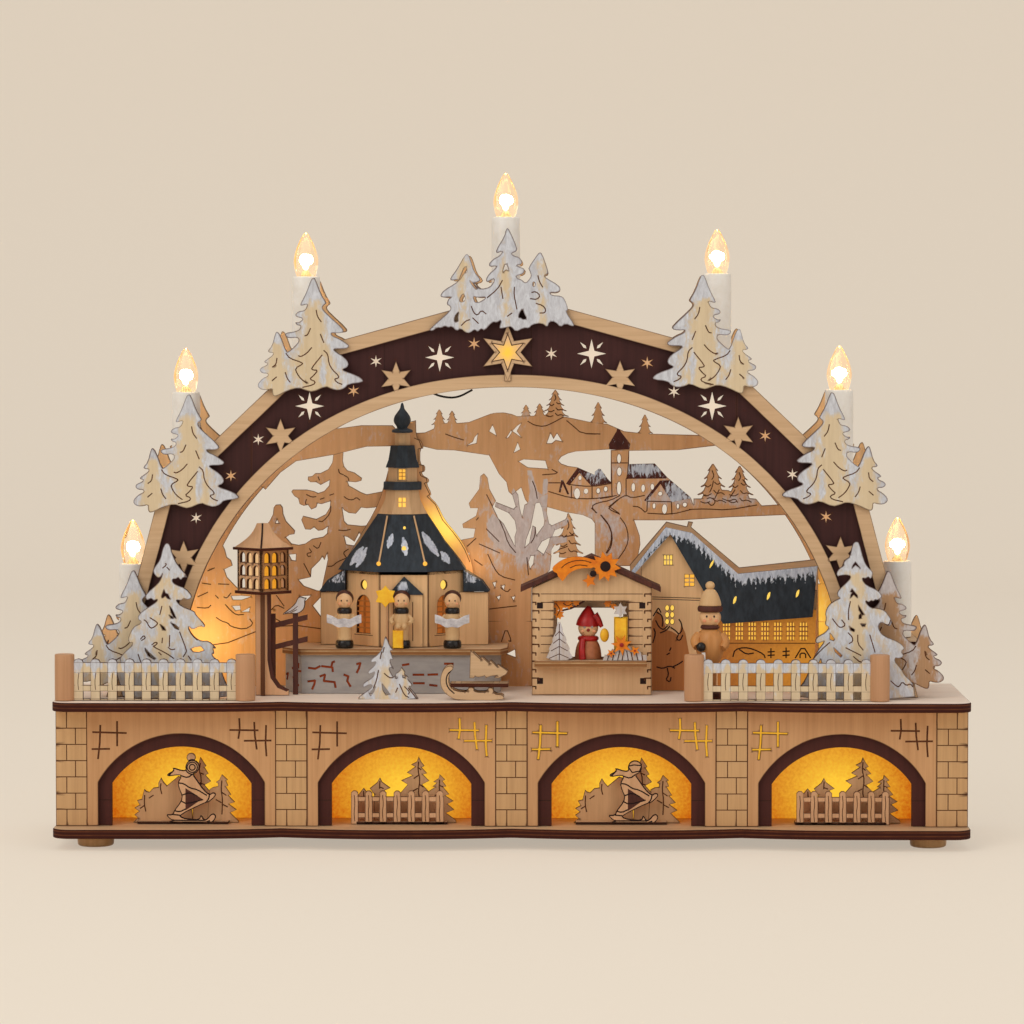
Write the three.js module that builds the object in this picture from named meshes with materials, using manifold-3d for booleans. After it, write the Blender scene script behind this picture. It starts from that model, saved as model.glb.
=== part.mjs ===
// A raised candle arch: a lit plinth with four niches, a double arch with seven
// electric candles, and a village scene of cut plywood and turned wood.
// Millimetres, +Z up, front towards -Y, origin on the ground under the middle.
import * as THREE from "three";
import { mergeVertices } from "three/addons/utils/BufferGeometryUtils.js";
import Module from "manifold-3d";

const wasm = await Module();
wasm.setup();

// Stock and fit
const fit = 0.3; // clearance between pieces that touch
const plateStock = 6; // plywood of the two plates
const boardStock = 3; // plywood of walls, arches and cut-outs
const sheetStock = 1; // translucent sheet behind the niches

// Plinth
const plinthLength = 600;
const frontReach = 75; // from the middle line to the front bulges
const rearReach = 75;
const scallopDepth = 10; // how far the kinks stand back between the bulges
const plateCorner = 12;
const footHeight = 8;
const footRadius = 12;
const footInset = 26; // foot centre in from the plate's ends
const footFront = 30; // foot centre behind the bulges
const footRear = 20; // foot centre in from the rear edge
const wallHeight = 77; // clear height between the plates
const wallSetback = 20; // facade behind the bulges
const bayCount = 4;
const endMargin = 11.2; // how far the end bays stand in from the plates' ends
const bayPitch = (plinthLength - 2 * endMargin) / bayCount;
const nicheHalf = 54.6; // half width of the niche in the facade
const nicheShoulder = 29; // straight jamb above the bottom plate
const nicheTop = 61;
const trimWidth = 8.8; // how far the trim shows inside the niche
const trimLap = 4; // how far the trim board runs on behind the facade
const trimSill = 5; // strip that ties the four trims together
const sheetDepth = 45; // glow sheet behind the facade
const lampGap = 26; // lamp rail behind the glow sheet
const lampHeight = 30;
const lampRadius = 9;
const sceneGap = 4; // niche scenes behind the trim board
const gripRadius = 9; // finger hole in the rear board
const leadWidth = 10; // notch for the mains lead at the rear board's foot
const leadInset = 60; // notch in from the plinth's end

// Slits cut like window bars beside each niche, [x, z, x, z] from its middle and the floor
const slitWidth = 1.2;
const slits = [
  [-57, 62, -36.5, 62],
  [-57, 51, -47, 51],
  [-52, 46, -52, 65.5],
  [-41.8, 54, -41.8, 68.5],
  [32, 64, 50.2, 64],
  [41, 57.7, 58, 57.7],
  [38.8, 59, 38.8, 70.5],
  [49.2, 52, 49.2, 68],
  [55.6, 47.5, 55.6, 66],
];

// Arch
const archFront = -30; // front face of the dark panel
const archRear = 50; // front face of the rear arch
const openingHalf = 219.6; // half width of the opening at deck height
const openingRise = 204.5;
const openingPower = 2.1; // a little squarer than an ellipse
const innerRim = 8.4;
const outerRim = 9.2;
const archOutline = [
  [openingHalf + 48.4, 0],
  [openingHalf + 12.9, openingRise * 0.657],
  [openingHalf * 0.602, openingRise + 25.4],
  [0, openingRise + 61.7],
]; // right half of the outer edge, above the deck
const rimStarRadius = 11.4;
const topStarRadius = 18.8;
const cutStarRadius = 4.3;
const sparkleRadius = 9.6;

// Candles
const tubeRadius = 9.5;
const tubeLength = 51;
const tubeBore = 5.1;
const boreDepth = 14;
const bulbRadius = 8.35;
const bulbHeight = 29.5;
const capClearance = 0.35; // lamp cap inside the bore
const capLength = 13;
const blockHalf = 13;
const blockHeight = 12;

// Each candle's middle, the top of its tube above the deck, and its tree's middle
const candles = [
  { x: -254.5, top: 86, tree: -249, side: -1 },
  { x: -218.5, top: 201, tree: -212.5, side: -1 },
  { x: -138, top: 278, tree: -130.5, side: -1 },
  { x: -4.5, top: 317.6, tree: -1.8, side: 0 },
  { x: 136.5, top: 280, tree: 125.4, side: 1 },
  { x: 218.2, top: 202.5, tree: 211, side: 1 },
  { x: 257.5, top: 88, tree: 248, side: 1 },
];

// Deck furniture
const postRadius = 6.5;
const postHeight = 30.4;
const fenceHeight = 27;
const fenceLayer = -58; // middle of the two picket fences
const picketPitch = 11.1;
const picketWidth = 4.6;
const firLayer = -45;
const platformHeight = 30;
const churchX = -73;
const churchWidth = 79;
const churchWall = 50.5; // wall above the platform
const stallLow = 13.2;
const stallHigh = 92.6;
const stallFront = -17;
const stallDepth = 22;
const stallEaves = 71.4;
const houseFront = 14;

// Heights that follow
const floorZ = footHeight + plateStock;
const deckZ = floorZ + wallHeight + plateStock;
const facadeY = -frontReach + wallSetback;
const sheetY = facadeY + sheetDepth;
const endX = plinthLength / 2 - 1;
const rearBoardY = rearReach - boardStock - fit;
const archBack = archFront + boardStock; // rear face of the dark panel
const overlayFace = archFront - fit - boardStock; // front face of the light overlay
const clusterFace = overlayFace - fit - boardStock;
const platformTop = deckZ + platformHeight;
const churchRear = archRear - 4;
const churchFront = churchRear - churchWidth / 2 - 0.5;
const singerLine = churchFront - 7; // middle of the three singers
const platformFront = churchFront - 15;

const paint = (color, roughness = 0.7) =>
  new THREE.MeshStandardMaterial({ color, roughness, metalness: 0 });
const birch = paint("#d8ba8c");
const dark = paint("#43211f", 0.6);
const snowy = paint("#c9ccd0");
const turned = paint("#dcb68a", 0.55);
const roofing = paint("#2b3036", 0.8);
const stone = paint("#8d8e92", 0.85);
const glow = paint("#f8a928", 0.6);
const tubeWhite = paint("#f4efe6", 0.4);
const lampGlass = paint("#f3d9a0", 0.1);

const part = new THREE.Group();
part.name = "candle_arch";

function add(name, geometry, material) {
  const mesh = new THREE.Mesh(geometry, material);
  mesh.name = name;
  part.add(mesh);
}

// Closed meshes to solids and back
function solidOf(geometry) {
  const bare = geometry.clone();
  bare.deleteAttribute("normal");
  bare.deleteAttribute("uv");
  const merged = mergeVertices(bare, 1e-4);
  const triVerts = new Uint32Array(merged.index.array);
  const vertProperties = merged.attributes.position.array;
  return new wasm.Manifold(new wasm.Mesh({ numProp: 3, vertProperties, triVerts }));
}

function geometryOf(solid) {
  const mesh = solid.getMesh();
  const geometry = new THREE.BufferGeometry();
  geometry.setAttribute("position", new THREE.BufferAttribute(mesh.vertProperties, 3));
  geometry.setIndex(new THREE.BufferAttribute(mesh.triVerts, 1));
  geometry.computeVertexNormals();
  return geometry;
}

const join = (...shapes) =>
  geometryOf(shapes.map(solidOf).reduce((sum, next) => sum.add(next)));
const cut = (body, ...tools) =>
  geometryOf(tools.map(solidOf).reduce((left, tool) => left.subtract(tool), solidOf(body)));

// Shapes of flat stock
const shapeOf = (points) => new THREE.Shape(points.map(([u, v]) => new THREE.Vector2(u, v)));

// A board standing in the XZ plane, from its front face back by its thickness
function board(points, front, thickness = boardStock) {
  const options = { depth: thickness, bevelEnabled: false };
  const geometry = new THREE.ExtrudeGeometry(shapeOf(points), options);
  return geometry.rotateX(Math.PI / 2).translate(0, front + thickness, 0);
}

// A plate lying in the XY plane, from its underside up by its thickness
function slab(points, low, thickness) {
  const options = { depth: thickness, bevelEnabled: false };
  return new THREE.ExtrudeGeometry(shapeOf(points), options).translate(0, 0, low);
}

function box(low, high) {
  const size = high.map((value, i) => value - low[i]);
  const middle = high.map((value, i) => (value + low[i]) / 2);
  return new THREE.BoxGeometry(...size).translate(...middle);
}

function rod(radius, low, high, x, y, sides = 12) {
  const geometry = new THREE.CylinderGeometry(radius, radius, high - low, sides);
  return geometry.rotateX(Math.PI / 2).translate(x, y, (low + high) / 2);
}

// A turned piece: profile points are [radius, height]
function turn(profile, x, y, z, sides = 12) {
  const points = profile.map(([radius, height]) => new THREE.Vector2(radius, height));
  return new THREE.LatheGeometry(points, sides).rotateX(Math.PI / 2).translate(x, y, z);
}

function ball(radius, x, y, z, sides = 10, rings = 6) {
  const geometry = new THREE.SphereGeometry(radius, sides, rings);
  return geometry.rotateX(Math.PI / 2).translate(x, y, z);
}

// A solid through rings of equal count, each a list of [x, y, z], from low to high
function loft(rings) {
  const count = rings[0].length;
  const index = [];
  for (let k = 0; k + 1 < rings.length; k++)
    for (let i = 0; i < count; i++) {
      const j = (i + 1) % count;
      const a = k * count + i;
      const b = k * count + j;
      index.push(a, b, b + count, a, b + count, a + count);
    }
  const top = (rings.length - 1) * count;
  for (let i = 1; i + 1 < count; i++) {
    index.push(0, i + 1, i);
    index.push(top, top + i, top + i + 1);
  }
  const geometry = new THREE.BufferGeometry();
  geometry.setAttribute("position", new THREE.Float32BufferAttribute(rings.flat(2), 3));
  geometry.setIndex(index);
  geometry.computeVertexNormals();
  return geometry;
}

const mirrored = (points) => points.map(([u, v]) => [-u, v]).reverse();

// Outline of a star round its middle, its first point up
function star(x, z, radius, waist, points = 6) {
  const outline = [];
  for (let i = 0; i < points * 2; i++) {
    const reach = i % 2 ? waist : radius;
    const angle = (Math.PI * i) / points;
    outline.push([x + reach * Math.sin(angle), z + reach * Math.cos(angle)]);
  }
  return outline;
}

// Outline of a fir: branches widen tier by tier, and each droops from a notch
function fir(x, base, width, height, tiers = 5, trunk = 0.1) {
  const half = [[0, height]];
  const crown = height * (1 - trunk);
  for (let i = 1; i <= tiers; i++) {
    const share = i / tiers;
    const reach = (width / 2) * Math.pow(share, 0.8);
    const droop = height - crown * share;
    half.push([reach, droop]);
    if (i < tiers) half.push([reach * 0.5, droop + (crown / tiers) * 0.16]);
  }
  half.push([width * 0.06, height - crown + height * 0.02]);
  half.push([width * 0.06, 0]);
  const left = half.slice(1).reverse().map(([u, v]) => [-u, v]);
  return [...left, ...half].map(([u, v]) => [x + u, base + v]);
}

// Plates: the front edge bulges between kinks that line up with every second column
function plateOutline() {
  const half = plinthLength / 2;
  const waveHalf = half / 4;
  const points = [];
  const frontAt = (x) => {
    const away = Math.abs(x) > half - waveHalf ? 0 : (Math.abs(x) % (waveHalf * 2)) - waveHalf;
    return -frontReach + scallopDepth * (away / waveHalf) ** 2;
  };
  const corner = (x, y, from) => {
    for (let i = 0; i <= 3; i++) {
      const angle = from + (i * Math.PI) / 6;
      points.push([x + plateCorner * Math.cos(angle), y + plateCorner * Math.sin(angle)]);
    }
  };
  corner(-half + plateCorner, -frontReach + plateCorner, Math.PI);
  const steps = 24;
  for (let i = 2; i < steps - 1; i++) {
    const x = -half + (plinthLength * i) / steps;
    points.push([x, frontAt(x)]);
  }
  corner(half - plateCorner, -frontReach + plateCorner, -Math.PI / 2);
  points.push([half, rearReach], [-half, rearReach]);
  return points;
}

const bayMiddles = [...Array(bayCount).keys()].map((i) => (i - (bayCount - 1) / 2) * bayPitch);

// Outline of a niche: straight jambs under a round arch
function nicheOutline(x, half, low, shoulder, top) {
  const rise = top - shoulder;
  const radius = (half * half + rise * rise) / (2 * rise);
  const start = Math.asin(half / radius);
  const points = [[x - half, low]];
  const steps = 7;
  for (let i = 0; i <= steps; i++) {
    const angle = -start + (2 * start * i) / steps;
    points.push([x + radius * Math.sin(angle), top - radius + radius * Math.cos(angle)]);
  }
  points.push([x + half, low]);
  return points;
}

function slitCutter([u1, v1, u2, v2], x) {
  const grow = slitWidth / 2;
  const low = [x + u1 - grow, facadeY - 1, floorZ + v1 - grow];
  return box(low, [x + u2 + grow, facadeY + boardStock + 1, floorZ + v2 + grow]);
}

function addPlinth() {
  const outline = plateOutline();
  add("bottom_plate", slab(outline, footHeight, plateStock), birch);
  add("top_plate", slab(outline, deckZ - plateStock, plateStock), birch);
  const low = floorZ + fit;
  const high = floorZ + wallHeight - fit;
  const facade = [[-endX, low], [endX, low], [endX, high], [-endX, high]];
  const shoulder = floorZ + nicheShoulder;
  const top = floorZ + nicheTop;
  const niches = bayMiddles.map((x) =>
    board(nicheOutline(x, nicheHalf, low - 1, shoulder, top), facadeY - 1, boardStock + 2),
  );
  const cutters = bayMiddles.flatMap((x) => slits.map((slit) => slitCutter(slit, x)));
  add("front_wall", cut(board(facade, facadeY), ...niches, ...cutters), birch);

  const trimY = facadeY + boardStock + fit;
  const lap = nicheHalf + trimLap;
  const trims = bayMiddles.map((x) =>
    board(nicheOutline(x, lap, low, shoulder, top + trimLap), trimY),
  );
  const sillEnd = bayMiddles[bayCount - 1];
  const sill = box([-sillEnd, trimY, low], [sillEnd, trimY + boardStock, low + trimSill]);
  const inner = nicheHalf - trimWidth;
  const innerTop = top - trimWidth;
  const holes = bayMiddles.map((x) =>
    board(nicheOutline(x, inner, low - 1, shoulder - 1, innerTop), trimY - 1, boardStock + 2),
  );
  add("trim_board", cut(join(...trims, sill), ...holes), dark);

  const wallFront = trimY;
  const wallBack = rearBoardY - fit;
  for (const [name, side] of [["left_wall", -1], ["right_wall", 1]]) {
    const xs = [side * endX, side * (endX - boardStock)].sort((a, b) => a - b);
    add(name, box([xs[0], wallFront, low], [xs[1], wallBack, high]), birch);
  }
  const rear = box([-endX, rearBoardY, low], [endX, rearBoardY + boardStock, high]);
  const grip = rod(gripRadius, -1, boardStock + 1, 0, 0, 12);
  grip.rotateX(-Math.PI / 2).translate(0, rearBoardY, floorZ + wallHeight / 2);
  const leadX = -endX + leadInset;
  const leadLow = [leadX - leadWidth / 2, rearBoardY - 1, low - 1];
  const lead = box(leadLow, [leadX + leadWidth / 2, rearReach, low + leadWidth]);
  add("rear_board", cut(rear, grip, lead), birch);

  const sheetEnd = endX - boardStock - fit;
  add("glow_sheet", box([-sheetEnd, sheetY, low], [sheetEnd, sheetY + sheetStock, high]), glow);
  addLampRail(low);
  for (const [row, y] of [["front", -frontReach + footFront], ["rear", rearReach - footRear]])
    for (const [end, side] of [["left", -1], ["right", 1]]) {
      const x = side * (plinthLength / 2 - footInset);
      add(`foot_${row}_${end}`, rod(footRadius, 0, footHeight - fit, x, y, 14), turned);
    }
}

// One rail on two legs carries the four lamps behind the sheet
function addLampRail(low) {
  const y = sheetY + lampGap;
  const z = floorZ + lampHeight;
  const end = bayMiddles[bayCount - 1] + 12;
  const rail = box([-end, y, z - 6], [end, y + 8, z + 6]);
  const legs = [-1, 1].map((side) =>
    box([side * bayPitch - 6, y, low], [side * bayPitch + 6, y + 8, z - 5]),
  );
  const profile = [[0, -2], [lampRadius - 2, -2], [lampRadius - 2, 6], [lampRadius, 11], [5, 19], [0, 20]];
  const lamps = bayMiddles.map((x) =>
    turn(profile, 0, 0, 0, 8).rotateX(Math.PI / 2).translate(x, y, z),
  );
  add("lamp_rail", join(rail, ...legs, ...lamps), tubeWhite);
}

// Niche scenes stand on one foot strip each, firs behind and the figure in front
function addNicheScenes() {
  const low = floorZ + fit;
  const front = facadeY + boardStock * 2 + fit * 2 + sceneGap;
  const back = front + 9;
  bayMiddles.forEach((x, i) => {
    const strip = box([x - 24, front, low], [x + 26, back + boardStock, low + 2]);
    const shapes = i % 2 ? picketScene(x, low, front, back) : skierScene(x, low, front, back);
    add(`niche_scene_${i + 1}`, join(strip, ...shapes), birch);
  });
}

function picketScene(x, low, front, back) {
  const firs = [
    [-13, 24, 31],
    [11, 30, 44],
    [25, 24, 32],
  ];
  const pickets = board(picketOutline(x - 33, low, 7, 9.4, 4.2, 21), front, 2);
  const windows = picketWindows(x - 33, low, 7, 9.4, 4.2, [[8, 15]], front);
  return [
    cut(pickets, ...windows),
    ...firs.map(([u, width, height]) => board(fir(x + u, low, width, height, 3), back)),
  ];
}

// Cutters between the pickets, one row for each pair of heights
function picketWindows(x, low, count, pitch, width, rows, front) {
  const windows = [];
  for (let i = 0; i < count - 1; i++)
    for (const [from, to] of rows) {
      const near = [x + width + i * pitch, front - 1, low + from];
      windows.push(box(near, [x + (i + 1) * pitch, front + boardStock + 1, low + to]));
    }
  return windows;
}

function picketOutline(x, low, count, pitch, width, height) {
  const points = [[x, low]];
  for (let i = 0; i < count; i++) {
    const left = x + i * pitch;
    points.push([left, low + height - 3], [left + width / 2, low + height]);
    points.push([left + width, low + height - 3]);
  }
  points.push([x + (count - 1) * pitch + width, low]);
  return points;
}

function skierScene(x, low, front, back) {
  const firs = [[-16, 36, 34], [10, 26, 46], [25, 26, 36]];
  const skier = [
    [-18, 0], [17, 0], [21, 4], [19, 8], [13, 4], [9, 5], [17, 16], [12, 25], [5, 31],
    [10, 37], [7, 43], [1, 43], [-3, 38], [-13, 36], [-14, 33], [-5, 33], [-9, 20], [-4, 14],
    [-11, 5], [-18, 3],
  ];
  return [
    board(skier.map(([u, v]) => [x + u, low + v]), front, 2),
    ...firs.map(([u, width, height]) => board(fir(x + u, low, width, height, 3), back)),
  ];
}

// A place on the opening's edge, grown by a margin
function onBand(angle, grow) {
  const across = Math.abs(Math.cos(angle)) ** (2 / openingPower) * Math.sign(Math.cos(angle));
  const up = Math.abs(Math.sin(angle)) ** (2 / openingPower);
  return [(openingHalf + grow) * across, deckZ + fit + (openingRise + grow) * up];
}

function starOnBand([degrees, reach], radius, waist) {
  const [x, z] = onBand((degrees * Math.PI) / 180, reach);
  return star(x, z, radius, waist);
}

const openingEdge = (grow, steps = 28) =>
  [...Array(steps + 1).keys()].map((i) => onBand((Math.PI * i) / steps, grow));

// The outer edge from left to right, moved in by a margin
function outerEdge(inset) {
  const right = archOutline.map(([x, z]) => [x, deckZ + fit + z]);
  const all = [...right, ...mirrored(right).slice(1)];
  const moved = all.slice(0, -1).map(([x, z], i) => {
    const [x2, z2] = all[i + 1];
    const long = Math.hypot(x2 - x, z2 - z);
    const nx = -(z2 - z) / long;
    const nz = (x2 - x) / long;
    return [[x + nx * inset, z + nz * inset], [x2 + nx * inset, z2 + nz * inset]];
  });
  const meet = ([[ax, az], [bx, bz]], [[cx, cz], [dx, dz]]) => {
    const den = (ax - bx) * (cz - dz) - (az - bz) * (cx - dx);
    const t = ((ax - cx) * (cz - dz) - (az - cz) * (cx - dx)) / den;
    return [ax + t * (bx - ax), az + t * (bz - az)];
  };
  const ground = [[-1e3, deckZ + fit], [1e3, deckZ + fit]];
  const lines = [ground, ...moved, ground];
  return lines.slice(1).map((line, i) => meet(lines[i], line)).reverse();
}

const bandOutline = () => [...outerEdge(0), ...openingEdge(0)];

// Stars on the band, [degrees from the opening's right foot, distance above its edge]
const cutStars = [
  [149.5, 20.7], [140.2, 18.8], [132.6, 23], [115, 17.4], [109.9, 30.4], [95.1, 29.4],
  [84.5, 23], [70.1, 29.3], [64.4, 17.9], [47.9, 24.7], [40.1, 19.1], [30.9, 20.1],
];
const sparkles = [[122.5, 21.3], [100.4, 23.1], [78.6, 26.4], [57.8, 20.7]];
const rimStars = [[156.4, 15.6], [129.3, 15.6], [107.8, 15.8], [73.4, 15.2], [51.6, 14.9], [24.3, 16.9]];
const topStar = [90.5, 23];

function sparkleHoles([degrees, reach]) {
  const [x, z] = onBand((degrees * Math.PI) / 180, reach);
  const holes = [star(x, z, sparkleRadius, sparkleRadius * 0.3, 4)];
  for (let i = 0; i < 4; i++) {
    const angle = Math.PI / 4 + (Math.PI / 2) * i;
    const along = [Math.sin(angle), Math.cos(angle)];
    const at = (reach, off) => [
      x + sparkleRadius * (along[0] * reach + along[1] * off),
      z + sparkleRadius * (along[1] * reach - along[0] * off),
    ];
    holes.push([at(0.58, 0), at(0.72, 0.12), at(1.12, 0), at(0.72, -0.12)]);
  }
  return holes;
}

function addArch() {
  const holes = cutStars.map((place) => starOnBand(place, cutStarRadius, 1.4));
  holes.push(...sparkles.flatMap(sparkleHoles));
  const cutters = holes.map((outline) => board(outline, archFront - 1, boardStock + 2));
  add("arch_panel", cut(board(bandOutline(), archFront), ...cutters), dark);

  const outer = board([...outerEdge(0), ...outerEdge(outerRim).reverse()], overlayFace);
  const inner = board([...openingEdge(innerRim).reverse(), ...openingEdge(0)], overlayFace);
  const feet = [-1, 1].map((side) => {
    const xs = [side * (openingHalf + 3), side * (archOutline[0][0] - 4)].sort((a, b) => a - b);
    const low = deckZ + fit;
    return box([xs[0], overlayFace, low], [xs[1], overlayFace + boardStock, low + 12]);
  });
  const stars = rimStars.map((place) =>
    board(starOnBand(place, rimStarRadius, rimStarRadius * 0.44), overlayFace),
  );
  const top = starOnBand(topStar, topStarRadius, topStarRadius * 0.44);
  add("arch_rims", join(outer, inner, ...feet, ...stars, board(top, overlayFace)), birch);
}

// Trees that crown a candle's foot, each [offset, foot drop, width, height]
const sideTrees = [[0, 0, 50, 76], [-23, 3, 27, 42]];
const topTrees = [[0, 0, 44, 64], [-27, 4, 30, 52], [22, 4, 30, 50]];

function crownTrees({ top, tree, side }, tiers) {
  const foot = deckZ + top - (side ? 76 : 74);
  const base = Math.max(foot, deckZ + fit);
  const trees = side ? sideTrees : topTrees;
  return trees.map(([u, drop, width, height]) => {
    const middle = side > 0 ? tree - u : tree + u;
    return fir(middle, base + drop, width, height + foot - base, tiers, 0.03);
  });
}

function addCandles() {
  const y = (archBack + archRear) / 2;
  candles.forEach((candle, i) => {
    const crest = crownTrees(candle, 4).map((outline) => board(outline, clusterFace));
    add(`tree_cluster_${i + 1}`, join(...crest), snowy);
    const low = deckZ + candle.top - tubeLength;
    const tube = [
      [0, 0], [tubeRadius, 0], [tubeRadius, tubeLength], [tubeBore, tubeLength],
      [tubeBore, tubeLength - boreDepth], [0, tubeLength - boreDepth],
    ];
    add(`candle_${i + 1}`, turn(tube, candle.x, y, low, 14), tubeWhite);
    const cap = tubeBore - capClearance;
    const bulb = [
      [0, -capLength], [cap, -capLength + 1], [cap, fit], [6.6, fit], [bulbRadius, 8],
      [bulbRadius * 0.9, 14], [bulbRadius * 0.48, 23], [0, bulbHeight],
    ];
    add(`bulb_${i + 1}`, turn(bulb, candle.x, y, deckZ + candle.top, 10), lampGlass);
  });
}

// The rear arch carries the landscape, its own trees and the candle blocks
function addRearArch() {
  const pieces = [board(bandOutline(), archRear)];
  for (const candle of candles) {
    pieces.push(...crownTrees(candle, 3).map((outline) => board(outline, archRear)));
    const high = deckZ + candle.top - tubeLength - fit;
    const low = [candle.x - blockHalf, archBack + fit, high - blockHeight];
    pieces.push(box(low, [candle.x + blockHalf, archRear + 1, high]));
  }
  pieces.push(...landscape().map((outline) => board(outline, archRear)));
  add("arch_rear", join(...pieces), birch);
}

// Landscape outlines, [x, height above the deck]
function landscape() {
  const hills = [
    [-128, 178], [-95, 173], [-57, 172], [-38, 178], [-18, 183], [0, 185], [30, 189], [55, 184],
    [80, 178], [105, 172], [134, 166], [134, 160], [110, 160], [80, 159], [62, 152], [40, 153],
    [37, 142], [52, 128], [66, 126], [100, 133], [130, 124], [184, 124], [184, 115], [127, 115],
    [108, 118], [112, 100], [98, 78], [60, 74], [76, 96], [64, 112], [36, 126], [12, 134],
    [-8, 152], [-26, 160], [-63, 164], [-95, 158], [-132, 150],
  ];
  const village = [
    [36, 124], [36, 139], [46, 151], [58, 150], [64, 144], [65, 144], [65, 168], [63, 171],
    [67, 178], [71, 184], [75, 178], [79, 171], [77, 168], [77, 151], [97, 150], [104, 141],
    [104, 146], [116, 139], [121, 129], [121, 117], [60, 117],
  ];
  const bare = [
    [0, 0], [34, 0], [24, 60], [22, 88], [38, 112], [22, 100], [20, 128], [24, 140], [14, 126],
    [11, 146], [6, 124], [9, 102], [-4, 118], [-12, 134], [-8, 112], [5, 92], [6, 60],
  ];
  const ground = [
    [-232, 0], [232, 0], [228, 30], [200, 44], [150, 40], [100, 60], [60, 82], [40, 76],
    [0, 58], [-60, 50], [-120, 46], [-180, 60], [-229, 32],
  ];
  const place = (points) => points.map(([x, h]) => [x, deckZ + fit + h]);
  return [
    ...[hills, village, bare, ground].map(place),
    fir(-119.5, deckZ + 30, 66, 130, 5, 0.1),
    fir(-163, deckZ + 20, 62, 104, 4, 0.1),
    fir(-204, deckZ + 10, 44, 84, 4, 0.1),
    fir(-20, deckZ + 30, 46, 115, 5, 0.1),
    fir(38, deckZ + 50, 34, 68, 4, 0.1),
    fir(140, deckZ + 112, 26, 38, 3, 0.1),
    fir(160, deckZ + 112, 24, 36, 3, 0.1),
    fir(-45, deckZ + 170, 16, 18, 3, 0.1),
    fir(15, deckZ + 178, 18, 15, 3, 0.1),
    fir(30, deckZ + 180, 16, 20, 3, 0.1),
    fir(58, deckZ + 176, 14, 17, 3, 0.1),
    fir(89, deckZ + 168, 12, 16, 3, 0.1),
  ];
}

// A picket fence between two dowels
function addFence(name, left, right) {
  const low = deckZ + fit;
  const first = left + postRadius;
  const span = right - left - postRadius * 2;
  const count = Math.round(span / picketPitch) + 1;
  const pitch = (span - picketWidth + 1) / (count - 1);
  const start = first - 0.5;
  const front = fenceLayer - boardStock / 2;
  const outline = picketOutline(start, low, count, pitch, picketWidth, fenceHeight);
  const rows = [[9, 18], [1.5, 5.5]];
  const windows = picketWindows(start, low, count, pitch, picketWidth, rows, front);
  const posts = [left, right].map((x) => rod(postRadius, low, low + postHeight, x, fenceLayer));
  add(name, join(cut(board(outline, front), ...windows), ...posts), snowy);
}

function addDeckTrees() {
  const low = deckZ + fit;
  const front = firLayer - boardStock / 2;
  add("fir_left", board(fir(-plinthLength / 2 + 71, low, 62, 103, 6, 0.06), front), snowy);
  add("fir_right", board(fir(plinthLength / 2 - 72, low, 60, 104, 6, 0.06), front), snowy);
  const foot = box([-98, front, low], [-64, front + boardStock, low + 2]);
  const pair = [fir(-80.5, low, 32, 42, 5, 0.06), fir(-68, low, 18, 22, 4, 0.06)];
  add("small_firs", join(foot, ...pair.map((outline) => board(outline, front))), snowy);
}

// Sled: two curled runners under a slatted bed, with a felled fir on it
function addSled() {
  const low = deckZ + fit;
  const runner = [
    [-6, 0], [-40, 0], [-46, 4], [-48, 11], [-44, 18], [-38, 17], [-43, 12], [-42, 7],
    [-38, 4], [-34, 4], [-34, 9], [-30, 9], [-30, 4], [-14, 4], [-14, 9], [-10, 9], [-10, 4], [-6, 4],
  ].map(([u, v]) => [u + 2, low + v]);
  const runners = [-54, -40].map((y) => board(runner, y, 2));
  const bed = box([-40, -55, low + 8.5], [-4, -37, low + 11]);
  const rings = [
    [-44, 2.5], [-38, 6], [-36, 3.5], [-26, 8], [-24, 4.5], [-12, 9.5], [-9, 5.5], [2, 10], [3, 2],
  ].map(([x, radius]) =>
    [...Array(6).keys()].map((i) => {
      const angle = (Math.PI * i) / 3;
      return [x, -46 + radius * Math.cos(angle), low + 15 + radius * 0.7 * Math.sin(angle)];
    }),
  );
  add("sled", join(...runners, bed, loft(rings)), birch);
}

// Street lantern: a crossed post, a case with windows and a flared roof
function addLantern() {
  const low = deckZ + fit;
  const x = -165;
  const y = -20;
  const square = (half, z) =>
    [[-1, -1], [1, -1], [1, 1], [-1, 1]].map(([u, v]) => [x + u * half, y + v * half, z]);
  const post = box([x - 5, y - 1.5, low], [x + 5, y + 1.5, deckZ + 69]);
  const across = box([x - 1.5, y - 5, low], [x + 1.5, y + 5, deckZ + 69]);
  const bracket = [[x - 3, low], [x + 14, low], [x + 14, low + 4], [x + 5, low + 12], [x - 3, low + 12]];
  const plate = loft([square(13.3, deckZ + 68), square(13.3, deckZ + 70)]);
  const outer = loft([square(12, deckZ + 69.5), square(12.4, deckZ + 97)]);
  const inner = loft([square(10, deckZ + 71.5), square(10.4, deckZ + 99)]);
  const panes = [0, 1, 2].flatMap((row) =>
    [-5, 5].flatMap((off) => {
      const z = deckZ + 74 + row * 8;
      return [
        box([x + off - 2.8, y - 20, z], [x + off + 2.8, y + 20, z + 5]),
        box([x - 20, y + off - 2.8, z], [x + 20, y + off + 2.8, z + 5]),
      ];
    }),
  );
  const frame = cut(outer, inner, ...panes);
  const roof = loft([
    square(14.2, deckZ + 97),
    square(13.6, deckZ + 98.5),
    square(7.5, deckZ + 104),
    square(2.8, deckZ + 114.5),
  ]);
  const turnedFrame = join(plate, frame, roof);
  const quarter = new THREE.Matrix4()
    .makeTranslation(x, y, 0)
    .multiply(new THREE.Matrix4().makeRotationZ(Math.PI / 4))
    .multiply(new THREE.Matrix4().makeTranslation(-x, -y, 0));
  turnedFrame.applyMatrix4(quarter);
  add("lantern", join(post, across, board(bracket, y - 1.5), turnedFrame), birch);
}

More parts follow.
